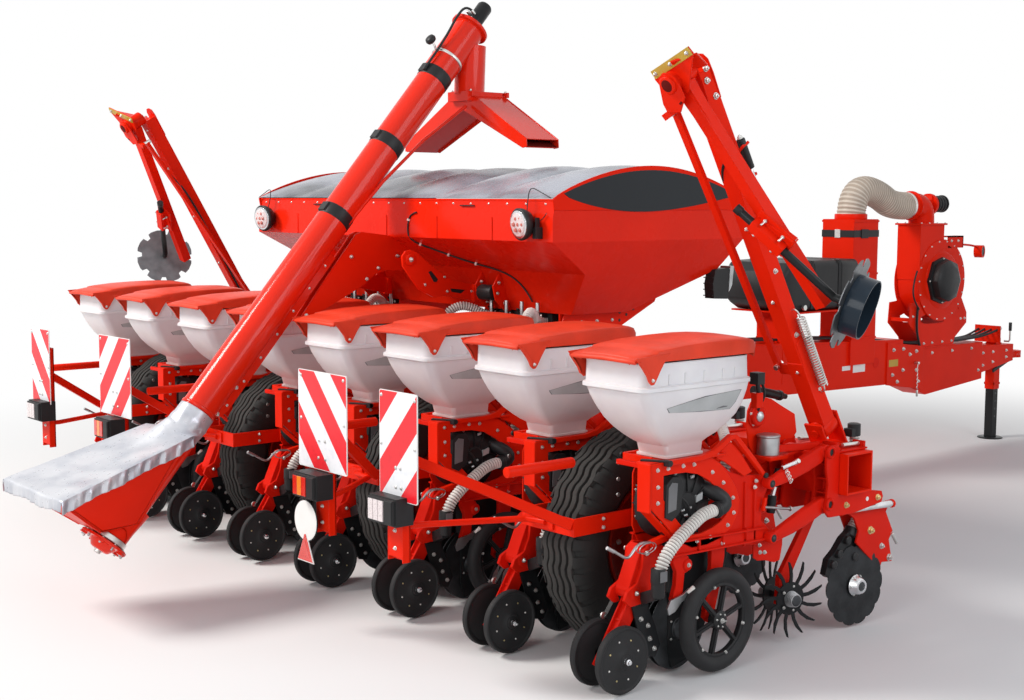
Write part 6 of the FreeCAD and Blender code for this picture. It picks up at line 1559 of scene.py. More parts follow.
def cover_mesh():
    """The silver cover: a taut top with a sharp rim edge, a crinkled skirt and the collar at the pipe."""
    shape = Shape()
    columns, rows = 84, 60
    rear, front, flat = -1.448, -0.690, 0.76
    grid = []
    for row in range(rows + 1):
        share = row / rows
        y = rear + (front - rear) * share
        half = 0.366 - 0.100 * share
        rim = 0.672 + 0.230 * share
        line = []
        for column in range(columns + 1):
            t = 2 * column / columns - 1
            if abs(t) <= flat:
                edge = abs(t) / flat
                x = half * t / flat
                sag = 0.016 * (1 - edge ** 3) * math.sin(math.pi * min(1.0, share * 1.1)) ** 0.8
                tube = math.exp(-((x / 0.085) ** 2)) * max(0.0, (share - 0.74) / 0.26) ** 1.3
                crease = (0.0050 * math.sin(14 * x + 9 * y) * math.sin(5 * x - 7 * y)
                          + 0.0030 * abs(math.sin(13 * (y + 0.6 * x)
                                                  + 1.1 * math.sin(9 * x))) * (0.4 + 0.6 * edge))
                z = rim - sag + crease + 0.064 * tube
            else:
                down = (abs(t) - flat) / (1 - flat)
                pleat = (0.0050 * math.sin(73 * y + 2 * down) + 0.0036 * math.sin(131 * y + 1.3 + down)
                         + 0.0030 * math.sin(37 * y))
                x = math.copysign(half + 0.005 + pleat * min(1.0, down * 2.5), t)
                z = rim - 0.064 * down - 0.004 * math.sin(21 * y) * down
            line.append((x, y, z))
        grid.append(line)
    skirt = []
    for step in range(8, 0, -1):
        line = []
        for column in range(columns + 1):
            x, y, z = grid[0][column]
            t = 2 * column / columns - 1
            if abs(t) > flat:
                line.append((x, y - 0.0008 * step, z))
            else:
                pleat = 0.0034 * math.sin(61 * x + 0.2 * step) + 0.0030 * math.sin(113 * x + 0.8)
                line.append((x, y - 0.0075 - pleat * step / 8,
                             z - (0.062 + 0.005 * math.sin(17 * x)) * step / 8))
        skirt.append(line)
    grid = skirt + grid
    last = grid[-1]
    for step in range(1, 15):
        share = step / 14
        line = []
        for column in range(columns + 1):
            point = Vector(last[column])
            turn = (2 * column / columns - 1) * math.pi * 0.98
            gather = math.exp(-(((share - 0.30) / 0.16) ** 2))
            reach = 0.1010 + 0.0012 * math.sin(5 * turn) + 0.0042 * gather * (1 + 0.5 * math.sin(13 * turn))
            target = (along_auger(0.735 + 0.115 * share, 0) + Vector((reach * math.sin(turn), 0, 0))
                      + AUGER_OVER * (reach * math.cos(turn)))
            line.append(tuple(point.lerp(target, min(1.0, share * 2.6) ** 0.6)))
        grid.append(line)
    made = [[shape.mesh.verts.new(point) for point in line] for line in grid]
    for line, following in zip(made, made[1:]):
        for step in range(columns):
            shape.face((line[step], line[step + 1], following[step + 1], following[step]), COVER)
    holder = linked("holder", shape.data("cover", smooth=52))
    thick = holder.modifiers.new("thick", "SOLIDIFY")
    thick.thickness = 0.0015
    thick.offset = 1
    result = baked(holder)
    result.name = "cover"
    return result


cover = show("trough_sheet", cover_mesh(), "auger", ["trough_cover"], ORIGIN)

# ---- drawbar, duct, fan and tank ------------------------------------------------------------------

front = Shape()
for side in SIDES:
    # adapter plates' bolts, hoses along the beam, blank stickers
    for y, z in ((5.700, 0.925), (5.835, 0.925), (6.020, 0.895), (5.835, 0.751), (6.028, 0.737),
                 (5.930, 0.874),
                 (5.690, 0.720), (5.760, 0.660), (6.060, 0.640)):
        front.bolt((side * 0.142, y, z), (side, 0, 0), 0.014)
    for y, z in ((6.30, 0.86), (6.60, 0.86), (6.90, 0.86), (7.02, 0.66)):
        front.bolt((side * 0.110, y, z), (side, 0, 0), 0.012)
    for low_y, high_y, low_z, high_z, look in ((5.034, 5.140, 0.800, 0.836, WHITE_PAINT),
                                               (5.175, 5.335, 0.775, 0.880, WHITE_PAINT),
                                               (5.642, 5.768, 0.788, 0.845, YELLOW_PAINT)):
        front.box((side * 0.1300 + (side * 0.0122 if low_y > 5.6 else 0), low_y, low_z),
                  (side * 0.1308 + (side * 0.0122 if low_y > 5.6 else 0), high_y, high_z), look)
    front.turned([(0, 0.042), (0.0012, 0.042)], (side * 0.130, 5.480, 0.835), (side, 0, 0), CAST_RED, 28)
    front.beam((side * 0.130, 1.75, 0.735), (side * 0.130, 5.60, 0.655), 0.006, 0.012, RED)
    front.beam((side * 0.130, 1.75, 1.145), (side * 0.130, 5.60, 1.005), 0.006, 0.012, RED)
    for y in (2.2, 2.9, 3.6, 4.3):
        front.beam((side * 0.130, y, 1.10), (side * 0.130, y, 0.75), 0.006, 0.010, RED)
    # square duct's flanges and buckle strap
    for z in (1.050, 1.560, 1.975):
        front.box((side * 0.150, 5.108, z - 0.008), (side * 0.158, 5.432, z + 0.008), RED)
    front.box((side * 0.150, 5.106, 1.850), (side * 0.154, 5.434, 1.905), BLACK)
front.box((-0.154, 5.104, 1.850), (0.154, 5.110, 1.905), BLACK)
front.box((-0.154, 5.430, 1.850), (0.154, 5.436, 1.905), BLACK)
front.box((-0.026, 5.100, 1.845), (0.026, 5.106, 1.910), ZINC)
front.box((0.154, 5.200, 1.842), (0.160, 5.290, 1.912), BLACK)
front.turned([(0, 0.124), (0.004, 0.128), (0.040, 0.128), (0.044, 0.120)], (0, 5.270, 1.988), (0, 0, 1), RED,
             48)
# hydraulic hoses and cables over the beam, down to the coupling
for shift, look in ((-0.060, BLACK), (-0.020, BLACK), (0.025, BLACK), (0.065, RUBBER)):
    route = [(shift, 4.00, 1.100), (shift, 4.70, 1.075), (shift * 1.2, 5.40, 1.030),
             (shift * 1.5, 5.96, 0.960), (shift, 6.40, 0.930), (shift * 0.8, 7.00, 0.935),
             (shift * 1.3, 7.20, 0.960), (shift * 1.5, 7.36, 1.000)]
    front.pipe(smooth_line(route, 0.04), 0.010, look, 9)
    front.rod((shift * 1.5, 7.34, 0.996), (shift * 1.5, 7.388, 1.006), 0.014, ZINC)
front.box((-0.125, 7.330, 0.880), (0.125, 7.345, 1.030), RED)
# locking pin and its chain below the adapter
front.rod((0.150, 6.000, 0.800), (0.190, 6.000, 0.800), 0.012, ZINC)
chain = [(0.175, 6.000 + 0.008 * math.sin(3 * n), 0.790 - 0.016 * n) for n in range(14)]
front.pipe(chain, 0.004, ZINC, 6)
front.rod((0.176, 6.000, 0.575), (0.176, 6.000, 0.520), 0.009, ZINC)
# tongue, coupling eye, jack
JACK_Y = 7.440
for side in SIDES:
    for y, z in ((7.14, 0.80), (7.30, 0.80), (7.52, 0.80), (7.14, 0.69), (7.30, 0.71), (7.52, 0.74)):
        front.bolt((side * 0.080, y, z), (side, 0, 0), 0.012)
    front.beam((side * 0.052, 7.36, 0.620), (side * 0.052, 7.60, 0.700), 0.012, 0.030, BLACK_PAINT)
front.turned([(-0.031, 0.0405), (-0.028, 0.056), (-0.010, 0.0620), (0.010, 0.0620), (0.028, 0.056),
              (0.031, 0.0405)], (0, 7.790, 0.745), (0, 0, 1), GREY_STEEL, 40, False)
front.pipe([(0.105, JACK_Y, 0.890), (0.150, JACK_Y, 0.890), (0.160, JACK_Y, 0.905), (0.160, JACK_Y, 0.990)],
           0.008, ZINC, 10)
front.rod((0.160, JACK_Y, 0.985), (0.160, JACK_Y, 1.060), 0.014, BLACK)
for z in (0.500, 0.860):
    for side in SIDES:
        front.box((side * 0.0445, 7.390, z - 0.010), (side * 0.050, 7.490, z + 0.010), RED)
        front.box((-0.050, JACK_Y + side * 0.0445, z - 0.010), (0.050, JACK_Y + side * 0.050, z + 0.010), RED)
# galvanised grating shelf behind the main bar
for step in range(15):
    front.box((-0.800 + 0.110 * step, 1.640, 1.236), (-0.796 + 0.110 * step, 1.960, 1.256), ZINC)
for step in range(5):
    front.box((-0.800, 1.640 + 0.080 * step, 1.234), (0.744, 1.644 + 0.080 * step, 1.258), ZINC)
for x in (-0.796, 0.740):
    front.box((x - 0.004, 1.640, 1.226), (x + 0.004, 1.964, 1.264), ZINC)
for x in (-0.60, 0.60):
    front.beam((x, 1.625, 0.90), (x, 1.900, 1.228), 0.010, 0.040, RED)
show("drawbar_fittings", front.data("drawbar_fittings", bevel=0.001, smooth=35), "frame",
     place=ORIGIN)

leg = Shape()
leg.box((-0.0385, 7.4015, 0.012), (0.0385, 7.4785, 0.868), BLACK_PAINT)
leg.turned([(0, 0.106), (0.003, 0.110), (0.008, 0.110), (0.012, 0.100), (0.012, 0.050)], (0, JACK_Y, 0),
           (0, 0, 1), BLACK_PAINT, 48)
for side in SIDES:
    leg.wall([(7.4015 - 0.045, 0.011), (7.4785 + 0.045, 0.011), (7.4785, 0.017), (7.4015, 0.017)], side,
             0.014, 0.020, BLACK_PAINT)
    for step in range(5):
        leg.turned([(-0.0005, 0.010), (0.0002, 0.010)], (side * 0.0385, JACK_Y, 0.200 + 0.070 * step),
                   (side, 0, 0), DISC_STEEL, 16)
show("jack_post", leg.data("jack_post", bevel=0.0015, smooth=35), "jack", ["jack_leg"], ORIGIN)


def fan_mesh():
    """The blower: scroll between bolted flanges, outlet, elbow, stand plates and its dark cover."""
    shape = Shape()
    centre = (6.400, 1.470)
    shape.turned([(-0.1145, 0.300), (-0.1140, 0.318), (0.1140, 0.318), (0.1145, 0.300)], (0, *centre),
                 (1, 0, 0), RED, 72)
    for side in SIDES:
        shape.turned([(0.108, 0.300), (0.110, 0.3445), (0.118, 0.3445), (0.120, 0.300)], (0, *centre),
                     (side, 0, 0), RED, 72)
        shape.turned([(0.112, 0.250), (0.120, 0.244), (0.128, 0.226), (0.129, 0.150)], (0, *centre),
                     (side, 0, 0), RED, 60)
        for step in range(18):
            turn = math.tau * step / 18
            shape.bolt((side * 0.118, centre[0] + 0.330 * math.cos(turn), centre[1] + 0.330 * math.sin(turn)),
                       (side, 0, 0), 0.0065)
        # stand plates with their triangular window
        outer = [(5.975, 1.290), (5.960, 1.120), (6.120, 0.990), (6.150, 0.906), (6.620, 0.906),
                 (6.640, 0.970), (6.815, 1.090), (6.812, 1.180), (6.560, 1.560), (6.470, 1.700),
                 (6.300, 1.500), (6.100, 1.300)]
        inner = [(6.130, 1.170), (6.128, 1.130), (6.180, 1.112), (6.250, 1.108), (6.330, 1.108),
                 (6.400, 1.108), (6.440, 1.110), (6.470, 1.120), (6.440, 1.150), (6.390, 1.180),
                 (6.300, 1.190), (6.200, 1.190)]
        low, high = sorted((side * 0.098, side * 0.106))
        framed(shape, outer, inner, low, high, RED)
        for y, z in ((6.180, 0.945), (6.300, 0.945), (6.450, 0.945), (6.590, 0.945), (6.720, 1.130),
                     (6.780, 1.130),
                     (6.010, 1.180)):
            shape.bolt((side * 0.106, y, z), (side, 0, 0), 0.010)
        shape.beam((side * 0.106, 6.700, 1.220), (side * 0.106, 6.560, 1.440), 0.010, 0.030, RED)
    for y, z in ((6.000, 1.150), (6.780, 1.130), (6.300, 0.930), (6.560, 0.930)):
        shape.beam((-0.100, y, z), (0.100, y, z), 0.030, 0.030, RED, (0, 1, 0))
    shape.box((-0.120, 6.140, 0.906), (0.120, 6.640, 0.916), RED)
    # outlet and its flange, then the elbow that turns towards the hose
    shape.box((-0.112, 6.075, 1.480), (0.112, 6.420, 1.940), RED)
    shape.box((-0.128, 6.057, 1.935), (0.128, 6.440, 1.950), RED)
    for x in (-0.118, 0.118):
        for y in (6.075, 6.190, 6.305, 6.420):
            shape.bolt((x, y, 1.950), (0, 0, 1), 0.007)
    elbow = smooth_line([(0, 6.245, 1.945), (0, 6.245, 2.050), (0, 6.190, 2.096), (0, 6.080, 2.097),
                         (0, 5.998, 2.097)], 0.02)
    shape.ribbed(elbow, [0.106] * len(elbow), [RED] * len(elbow), 40)
    shape.turned([(0, 0.104), (0.004, 0.112), (0.020, 0.112), (0.024, 0.104)], (0, 6.030, 2.096), (0, -1, 0),
                 ZINC, 48)
    shape.turned([(-0.002, 0.112), (0.000, 0.122), (0.012, 0.122), (0.014, 0.112)], (0, 6.090, 2.096),
                 (0, -1, 0), RED, 48)
    # ribbed stub with the fan's lever
    shape.turned([(0.0, 0.092), (0.030, 0.092), (0.034, 0.076)], (0, 6.330, 2.106), (0, 1, 0.02), RED, 36)
    for step in range(4):
        start = 6.372 + 0.040 * step
        shape.turned([(0.0, 0.064), (0.004, 0.070), (0.022, 0.070), (0.026, 0.060), (0.040, 0.060)],
                     (0, start, 2.110), (0, 1, 0.02), BLACK, 36)
    shape.turned([(0.0, 0.074), (0.010, 0.074), (0.016, 0.060)], (0, 6.530, 2.112), (0, 1, 0.02), BLACK, 36)
    shape.beam((0.02, 6.300, 2.030), (0.02, 6.330, 2.180), 0.060, 0.030, RED)
    # hexagonal dark cover over the drive
    cover_y, cover_z = 6.360, 1.470
    hexagon = [(cover_y + r * math.cos(math.radians(a)), cover_z + r * math.sin(math.radians(a)))
               for a, r in ((0, 0.196), (50, 0.204), (88, 0.196), (130, 0.204), (180, 0.196), (230, 0.204),
                            (272, 0.196), (310, 0.204))]
    shape.plate(hexagon, 0.128, 0.150, BLACK)
    small = [(cover_y + (y - cover_y) * 0.88, cover_z + (z - cover_z) * 0.88) for y, z in hexagon]
    tiny = [(cover_y + (y - cover_y) * 0.60, cover_z + (z - cover_z) * 0.60) for y, z in hexagon]
    shape.rings([[(x, y, z) for y, z in loop] for x, loop in ((0.149, small), (0.215, small), (0.243, tiny))],
                BLACK)
    for y, z in hexagon[::2]:
        shape.bolt((0.150, cover_y + (y - cover_y) * 0.94, cover_z + (z - cover_z) * 0.94), (1, 0, 0), 0.007)
    # rear face: motor and hoses
    shape.turned([(0.128, 0.150), (0.150, 0.150), (0.152, 0.080), (0.235, 0.074), (0.240, 0.060)],
                 (0, *centre), (-1, 0, 0), BLACK_PAINT, 40)
    # bracket and the bent lever with its ring
    shape.box((0.040, 6.470, 1.830), (0.120, 6.700, 1.842), RED)
    shape.box((0.040, 6.690, 1.740), (0.120, 6.702, 1.842), RED)
    shape.box((0.112, 6.470, 1.740), (0.120, 6.700, 1.842), RED)
    for y in (6.520, 6.620):
        shape.bolt((0.120, y, 1.800), (1, 0, 0), 0.010)
    lever = smooth_line([(0.080, 6.640, 1.770), (0.080, 6.800, 1.762), (0.080, 6.920, 1.752),
                         (0.080, 6.990, 1.738)], 0.03)
    shape.pipe(lever, 0.009, RED, 10)
    shape.turned([(-0.030, 0.050), (0.030, 0.050)], (0.080, 7.020, 1.700), (1, 0.3, 0), BLACK, 28)
    shape.turned([(-0.033, 0.040), (-0.036, 0.054), (0.036, 0.054), (0.033, 0.040)], (0.080, 7.020, 1.700),
                 (1, 0.3, 0), RED, 28, False)
    cable = smooth_line([(0.128, 6.020, 1.560), (0.132, 5.960, 1.450), (0.136, 5.965, 1.320),
                         (0.132, 6.060, 1.240)], 0.03)
    shape.pipe(cable, 0.007, BLACK, 8)
    drop = smooth_line([(0.120, 6.060, 1.260), (0.122, 6.040, 1.120), (0.124, 6.070, 0.980),
                        (0.124, 6.110, 0.910)], 0.03)
    shape.pipe(drop, 0.010, BLACK, 8)
    return shape.data("fan", bevel=0.0014, smooth=32)


show("fan", fan_mesh(), "frame", ["fan_housing"], ORIGIN)

duct = Shape()
corrugated(duct, [(0, 5.270, 1.9903), (0, 5.270, 2.120), (0, 5.390, 2.235), (0, 5.620, 2.190),
                  (0, 5.7997, 2.095), (0, 5.9947, 2.095)], 0.114, 0.026, DUCT_RIB, DUCT_WALL_PAINTED_SHADE, 36, 0.045)
show("fan_duct", duct.data("fan_duct", smooth=50), "frame", ["fan_hose"], ORIGIN)


def tank_mesh():
    """The moulded tank: rounded sections along the machine, two strap grooves and its filler cap."""
    shape = Shape()
    sections = [(4.100, 1.400, 1.610, 0.02), (4.106, 1.392, 1.616, 0.008), (4.160, 1.352, 1.676, 0.0),
                (4.230, 1.314, 1.684, 0.0), (4.390, 1.312, 1.689, 0.0), (4.396, 1.312, 1.683, 0.006),
                (4.440, 1.312, 1.683, 0.006), (4.446, 1.312, 1.689, 0.0), (4.720, 1.312, 1.690, 0.0),
                (4.726, 1.312, 1.684, 0.006), (4.770, 1.312, 1.684, 0.006), (4.776, 1.312, 1.690, 0.0),
                (4.970, 1.312, 1.690, 0.0), (4.984, 1.320, 1.682, 0.008), (4.990, 1.336, 1.664, 0.024)]
    rings = []
    for y, low, high, inset in sections:
        half, radius = 0.299 - inset, 0.050
        ring = []
        for cx, cz, start in ((half - radius, high - radius, 0), (-half + radius, high - radius, 1),
                              (-half + radius, low + radius, 2), (half - radius, low + radius, 3)):
            for step in range(6):
                turn = math.pi / 2 * (start + step / 5)
                ring.append((cx + radius * math.cos(turn), y, cz + radius * math.sin(turn)))
        rings.append(ring)
    shape.rings(rings, BLACK)
    for y in (4.418, 4.748):
        shape.box((-0.298, y - 0.014, 1.6835), (0.298, y + 0.014, 1.6868), RUBBER)
        for side in SIDES:
            shape.box((side * 0.2935, y - 0.014, 1.330), (side * 0.2975, y + 0.014, 1.6868), RUBBER)
    shape.turned([(0.0, 0.070), (0.016, 0.070), (0.020, 0.062)], (-0.120, 4.300, 1.686), (0, 0, 1), BLACK, 36)
    shape.turned([(0.310, 0.020), (0.330, 0.020)], (0, 4.300, 1.345), (1, 0, 0), ZINC, 20)
    return shape.data("tank", smooth=40)


show("tank", tank_mesh(), "frame", ["water_tank"], ORIGIN)

# ---- ground tools, hoses and small fittings of each row ---------------------------------------------

def lobed(shape, centre, axis, outline, thick, material, dish=0.0):
    """A flat plate whose outline is a list of (angle, radius), on an axis near X."""
    centre, axis = Vector(centre), Vector(axis).normalized()
    first = Vector((0, 0, 1))
    first = (first - axis * first.dot(axis)).normalized()
    second = axis.cross(first)
    rings = []
    for level in (-thick / 2, thick / 2):
        rings.append([centre + axis * (level + dish * r * r)
                      + (first * math.cos(a) + second * math.sin(a)) * r for a, r in outline])
    shape.rings(rings, material)


def ground_disc_mesh():
    """One row's two star wheels and its scalloped fertiliser disc, with turned hubs."""
    shape = Shape()
    for side in SIDES:
        centre = Vector((side * 0.055, 1.215, 0.215))
        axis = Vector((side, -0.22, 0))
        for number in range(13):
            turn = math.tau * number / 13
            outline = [(-0.15, 0.070), (-0.10, 0.110), (-0.02, 0.150), (0.10, 0.186), (0.150, 0.1895),
                       (0.10, 0.150), (0.055, 0.110), (0.13, 0.070)]
            lobed(shape, centre + axis.normalized() * 0.003, axis, [(turn + a, r) for a, r in outline], 0.006,
                  BLACK_PAINT, 0.5)
        shape.turned([(0.000, 0.082), (0.008, 0.082), (0.012, 0.050)], centre, axis, BLACK_PAINT, 40)
        for step in range(5):
            start = 0.010 + 0.009 * step
            shape.turned([(start, 0.030), (start + 0.002, 0.040 - 0.002 * step),
                          (start + 0.007, 0.040 - 0.002 * step), (start + 0.009, 0.030)], centre, axis,
                         GREY_STEEL, 28)
        shape.turned([(0.055, 0.028), (0.060, 0.024), (0.062, 0.012)], centre, axis, DISC_STEEL, 24)
        for step in range(5):
            turn = math.tau * step / 5
            shape.bolt(centre + axis.normalized() * 0.010
                       + Vector((0, math.cos(turn), math.sin(turn))) * 0.062, axis, 0.007)
    outline = []
    for number in range(14):
        for share, radius in ((0.0, 0.192), (0.12, 0.199), (0.28, 0.2035), (0.5, 0.2045), (0.72, 0.2035),
                              (0.88, 0.199)):
            outline.append((math.tau * (number + share) / 14, radius))
    centre, axis = Vector((0.120, 1.660, 0.215)), Vector((1, -0.10, 0.03))
    lobed(shape, centre, axis, outline, 0.005, DISC_DARK, -0.25)
    shape.turned([(0.0, 0.056), (0.004, 0.056), (0.018, 0.046), (0.034, 0.040), (0.040, 0.034),
                  (0.040, 0.024), (0.034, 0.022)], centre, axis, CHROME, 36)
    shape.turned([(0.033, 0.023), (0.037, 0.021)], centre, axis, DISC_STEEL, 24)
    for step in range(6):
        turn = math.tau * step / 6
        shape.bolt(centre + Vector((0.006, 0.050 * math.cos(turn), 0.050 * math.sin(turn))), axis, 0.006)
    # black casting and boot behind the scalloped disc
    cast = [(1.640, 0.500), (1.700, 0.510), (1.735, 0.480), (1.715, 0.420), (1.700, 0.300), (1.700, 0.190),
            (1.660, 0.170), (1.620, 0.195), (1.600, 0.300), (1.540, 0.330), (1.500, 0.330), (1.470, 0.280),
            (1.440, 0.300), (1.462, 0.372), (1.520, 0.410), (1.575, 0.465)]
    shape.plate(cast, 0.062, 0.096, BLACK_PAINT)
    for y, z in ((1.600, 0.452), (1.535, 0.392), (1.490, 0.345), (1.660, 0.360)):
        shape.turned([(0.0, 0.022), (0.018, 0.022), (0.022, 0.016)], (0.096, y, z), (1, 0, 0), BLACK, 18)
    return shape.data("ground_discs", smooth=32)


def clamp_mesh():
    """The cast clamps on the bar, the fertiliser leg, the star wheels' arm and the drive bracket."""
    shape = Shape()
    clamp = [(1.318, 0.950), (1.345, 0.966), (1.400, 0.964), (1.418, 0.950), (1.418, 0.716), (1.625, 0.716),
             (1.770, 0.692), (1.782, 0.664), (1.770, 0.636), (1.531, 0.610), (1.347, 0.616), (1.316, 0.648),
             (1.334, 0.780), (1.318, 0.862)]
    for side in SIDES:
        for near in (0.088, 0.166):
            low, high = sorted((side * near, side * (near + 0.013)))
            shape.plate(clamp, low, high, CAST_RED)
            if side > 0 or near > 0.1:
                for y, z in ((1.342, 0.936), (1.342, 0.682)):
                    shape.turned([(0.0, 0.030), (0.010, 0.030), (0.014, 0.026), (0.014, 0.018),
                                  (0.004, 0.018)], (side * (near + 0.012), y, z), (side, 0, 0), CAST_RED, 28)
                    shape.turned([(0.012, 0.0175), (0.013, 0.0175)], (side * (near + 0.006), y, z),
                                 (side, 0, 0), BLACK, 20)
        shape.box((side * 0.090, 1.396, 0.700), (side * 0.176, 1.414, 0.975), CAST_RED)
        for z in (0.730, 0.800, 0.870):
            shape.box((side * 0.095, 1.350, z - 0.004), (side * 0.170, 1.400, z + 0.004), CAST_RED)
        for y, z in ((1.478, 0.660), (1.735, 0.665)):
            shape.bolt((side * 0.179, y, z), (side, 0, 0), 0.014, YELLOW_ZINC)
        shape.turned([(0, 0.011), (0.0015, 0.011)], (side * 0.179, 1.650, 0.668), (side, 0, 0), WHITE_PAINT,
                     16)
        shape.box((side * 0.088, 1.408, 0.9215), (side * 0.178, 1.640, 0.930), CAST_RED)
        shape.box((side * 0.100, 1.624, 0.890), (side * 0.166, 1.640, 0.958), CAST_RED)
        shape.rod((side * 0.134, 1.500, 0.946), (side * 0.134, 1.640, 0.942), 0.011, ZINC)
        shape.bolt((side * 0.134, 1.640, 0.942), (0, 1, 0), 0.013)
    # red bracket with its bearing, the silver canister and the dark cylinder
    bracket = [(0.985, 1.188), (1.018, 1.207), (1.051, 1.212), (1.130, 1.192), (1.199, 1.156), (1.310, 1.102),
               (1.327, 1.012), (1.300, 0.985), (1.151, 0.985), (1.140, 0.927), (1.010, 0.930), (0.972, 0.985),
               (0.955, 1.080), (0.962, 1.150)]
    shape.plate(bracket, -0.022, -0.014, RED)
    shape.turned([(0.0, 0.058), (0.006, 0.058), (0.010, 0.050), (0.020, 0.048), (0.026, 0.040),
                  (0.026, 0.026)], (-0.014, 1.018, 1.120), (1, 0, 0), CAST_RED, 36)
    shape.turned([(0.020, 0.026), (0.030, 0.024), (0.036, 0.016), (0.040, 0.010)], (-0.014, 1.018, 1.120),
                 (1, 0, 0), GREY_STEEL, 24)
    for step in range(5):
        turn = math.tau * step / 5 + 0.3
        shape.bolt((-0.006, 1.018 + 0.045 * math.cos(turn), 1.120 + 0.045 * math.sin(turn)), (1, 0, 0), 0.008)
    shape.turned([(0.0, 0.050), (0.004, 0.054), (0.085, 0.054), (0.089, 0.057), (0.096, 0.057),
                  (0.100, 0.048)], (0.030, 1.060, 0.935), (0, 0, 1), GREY_STEEL, 36)
    shape.box((-0.040, 1.000, 0.918), (0.095, 1.130, 0.936), RED)
    shape.beam((0.030, 1.105, 0.930), (0.030, 1.300, 0.955), 0.120, 0.014, CAST_RED)
    cyl = [(-0.060, 1.050, 1.236), (-0.060, 1.235, 1.196)]
    shape.rod(cyl[0], cyl[1], 0.022, BLACK_PAINT)
    shape.turned([(0.0, 0.025), (0.018, 0.025), (0.020, 0.016), (0.060, 0.013)], cyl[1], (0, 1, -0.2), BLACK,
                 20)
    cable = smooth_line([(0.060, 0.930, 1.330), (0.060, 0.975, 1.290), (0.055, 1.000, 1.220),
                         (0.035, 0.992, 1.190), (0.010, 1.005, 1.150)], 0.02)
    shape.pipe(cable, 0.007, BLACK, 8)
    shape.rod((0.080, 0.905, 1.340), (0.080, 0.930, 1.190), 0.011, BLACK)
    shape.box((0.062, 0.890, 1.180), (0.096, 0.935, 1.250), RED)
    shape.box((0.055, 0.885, 1.290), (0.105, 0.935, 1.345), BLACK)
    # upper wishbone over the links
    for side in SIDES:
        shape.beam((side * 0.060, 1.030, 0.968), (side * 0.110, 1.340, 0.962), 0.018, 0.034, CAST_RED)
    # fertiliser leg plates and their bolts
    plate = [(1.560, 0.606), (1.930, 0.612), (1.893, 0.560), (1.957, 0.452), (1.926, 0.410), (1.958, 0.292),
             (1.870, 0.300), (1.838, 0.238), (1.790, 0.320), (1.717, 0.378), (1.648, 0.436), (1.668, 0.492),
             (1.630, 0.560)]
    for near in (0.030, 0.112):
        shape.plate(plate, near, near + 0.010, CAST_RED)
    spur = [(1.790, 0.330), (1.862, 0.300), (1.850, 0.240), (1.838, 0.176), (1.828, 0.176), (1.812, 0.250)]
    shape.plate(spur, 0.108, 0.116, CAST_RED)
    for y, z, size, look in ((1.764, 0.482, 0.018, YELLOW_ZINC), (1.862, 0.386, 0.014, ZINC),
                             (1.930, 0.316, 0.016, ZINC)):
        shape.bolt((0.122, y, z), (1, 0, 0), size, look)
        shape.rod((0.034, y, z), (0.120, y, z), size * 0.5, ZINC)
    shape.rod((0.150, 1.482, 0.622), (0.150, 1.895, 0.606), 0.017, CHROME)
    for y, z in ((1.476, 0.622), (1.900, 0.606)):
        shape.rod((0.150, y - 0.007, z), (0.150, y + 0.007, z), 0.022, RED)
        shape.beam((0.120, y, z), (0.154, y, z), 0.030, 0.024, RED, (0, 1, 0))
    shape.beam((0.030, 1.620, 0.640), (0.112, 1.620, 0.640), 0.200, 0.050, CAST_RED, (0, 1, 0))
    shape.rod((0.126, 1.945, 0.440), (0.126, 1.990, 0.380), 0.008, ZINC)
    # star wheels' arm
    star = [(1.180, 0.180), (1.250, 0.180), (1.270, 0.300), (1.490, 0.620), (1.500, 0.708), (1.410, 0.708),
            (1.380, 0.560), (1.190, 0.320)]
    shape.plate(star, -0.012, 0.012, CAST_RED)
    shape.rod((-0.070, 1.215, 0.215), (0.070, 1.215, 0.215), 0.016, DISC_STEEL)
    return shape.data("bar_clamp", smooth=34)


DISC_DARK = metal("disc_dark", (0.045, 0.047, 0.050), 0.5)
tools, clamps = ground_disc_mesh(), clamp_mesh()
drop = Shape()
corrugated(drop, [(0.060, 1.690, 0.980), (0.060, 1.705, 0.880), (0.060, 1.712, 0.780), (0.060, 1.690, 0.680),
                  (0.066, 1.735, 0.600), (0.072, 1.730, 0.540), (0.075, 1.668, 0.492)], 0.028, 0.0150,
           HOSE_RIB, HOSE_WALL_PAINTED_SHADE, 12, 0.17)
drop.turned([(0, 0.030), (0.004, 0.033), (0.060, 0.033), (0.064, 0.024)], (0.060, 1.690, 0.965), (0, 0, 1),
            BLACK, 24)
drop.beam((0.060, 1.640, 0.985), (0.060, 1.690, 0.985), 0.050, 0.040, BLACK)
drop.turned([(0, 0.031), (0.040, 0.033), (0.044, 0.030)], (0.075, 1.672, 0.500), (0, -0.5, -0.8), BLACK, 24)
drop_hose = drop.data("drop_hose", smooth=30)
for number, x in enumerate(ROWS, 1):
    place = (x, AXLE_Y, 0)
    show(f"ground_tools_{number}", tools, "frame", ["ground_discs"] if number == 1 else (),
         place)
    show(f"bar_clamp_{number}", clamps, "frame", place=place)
    show(f"drop_hose_{number}", drop_hose, "frame", place=place)

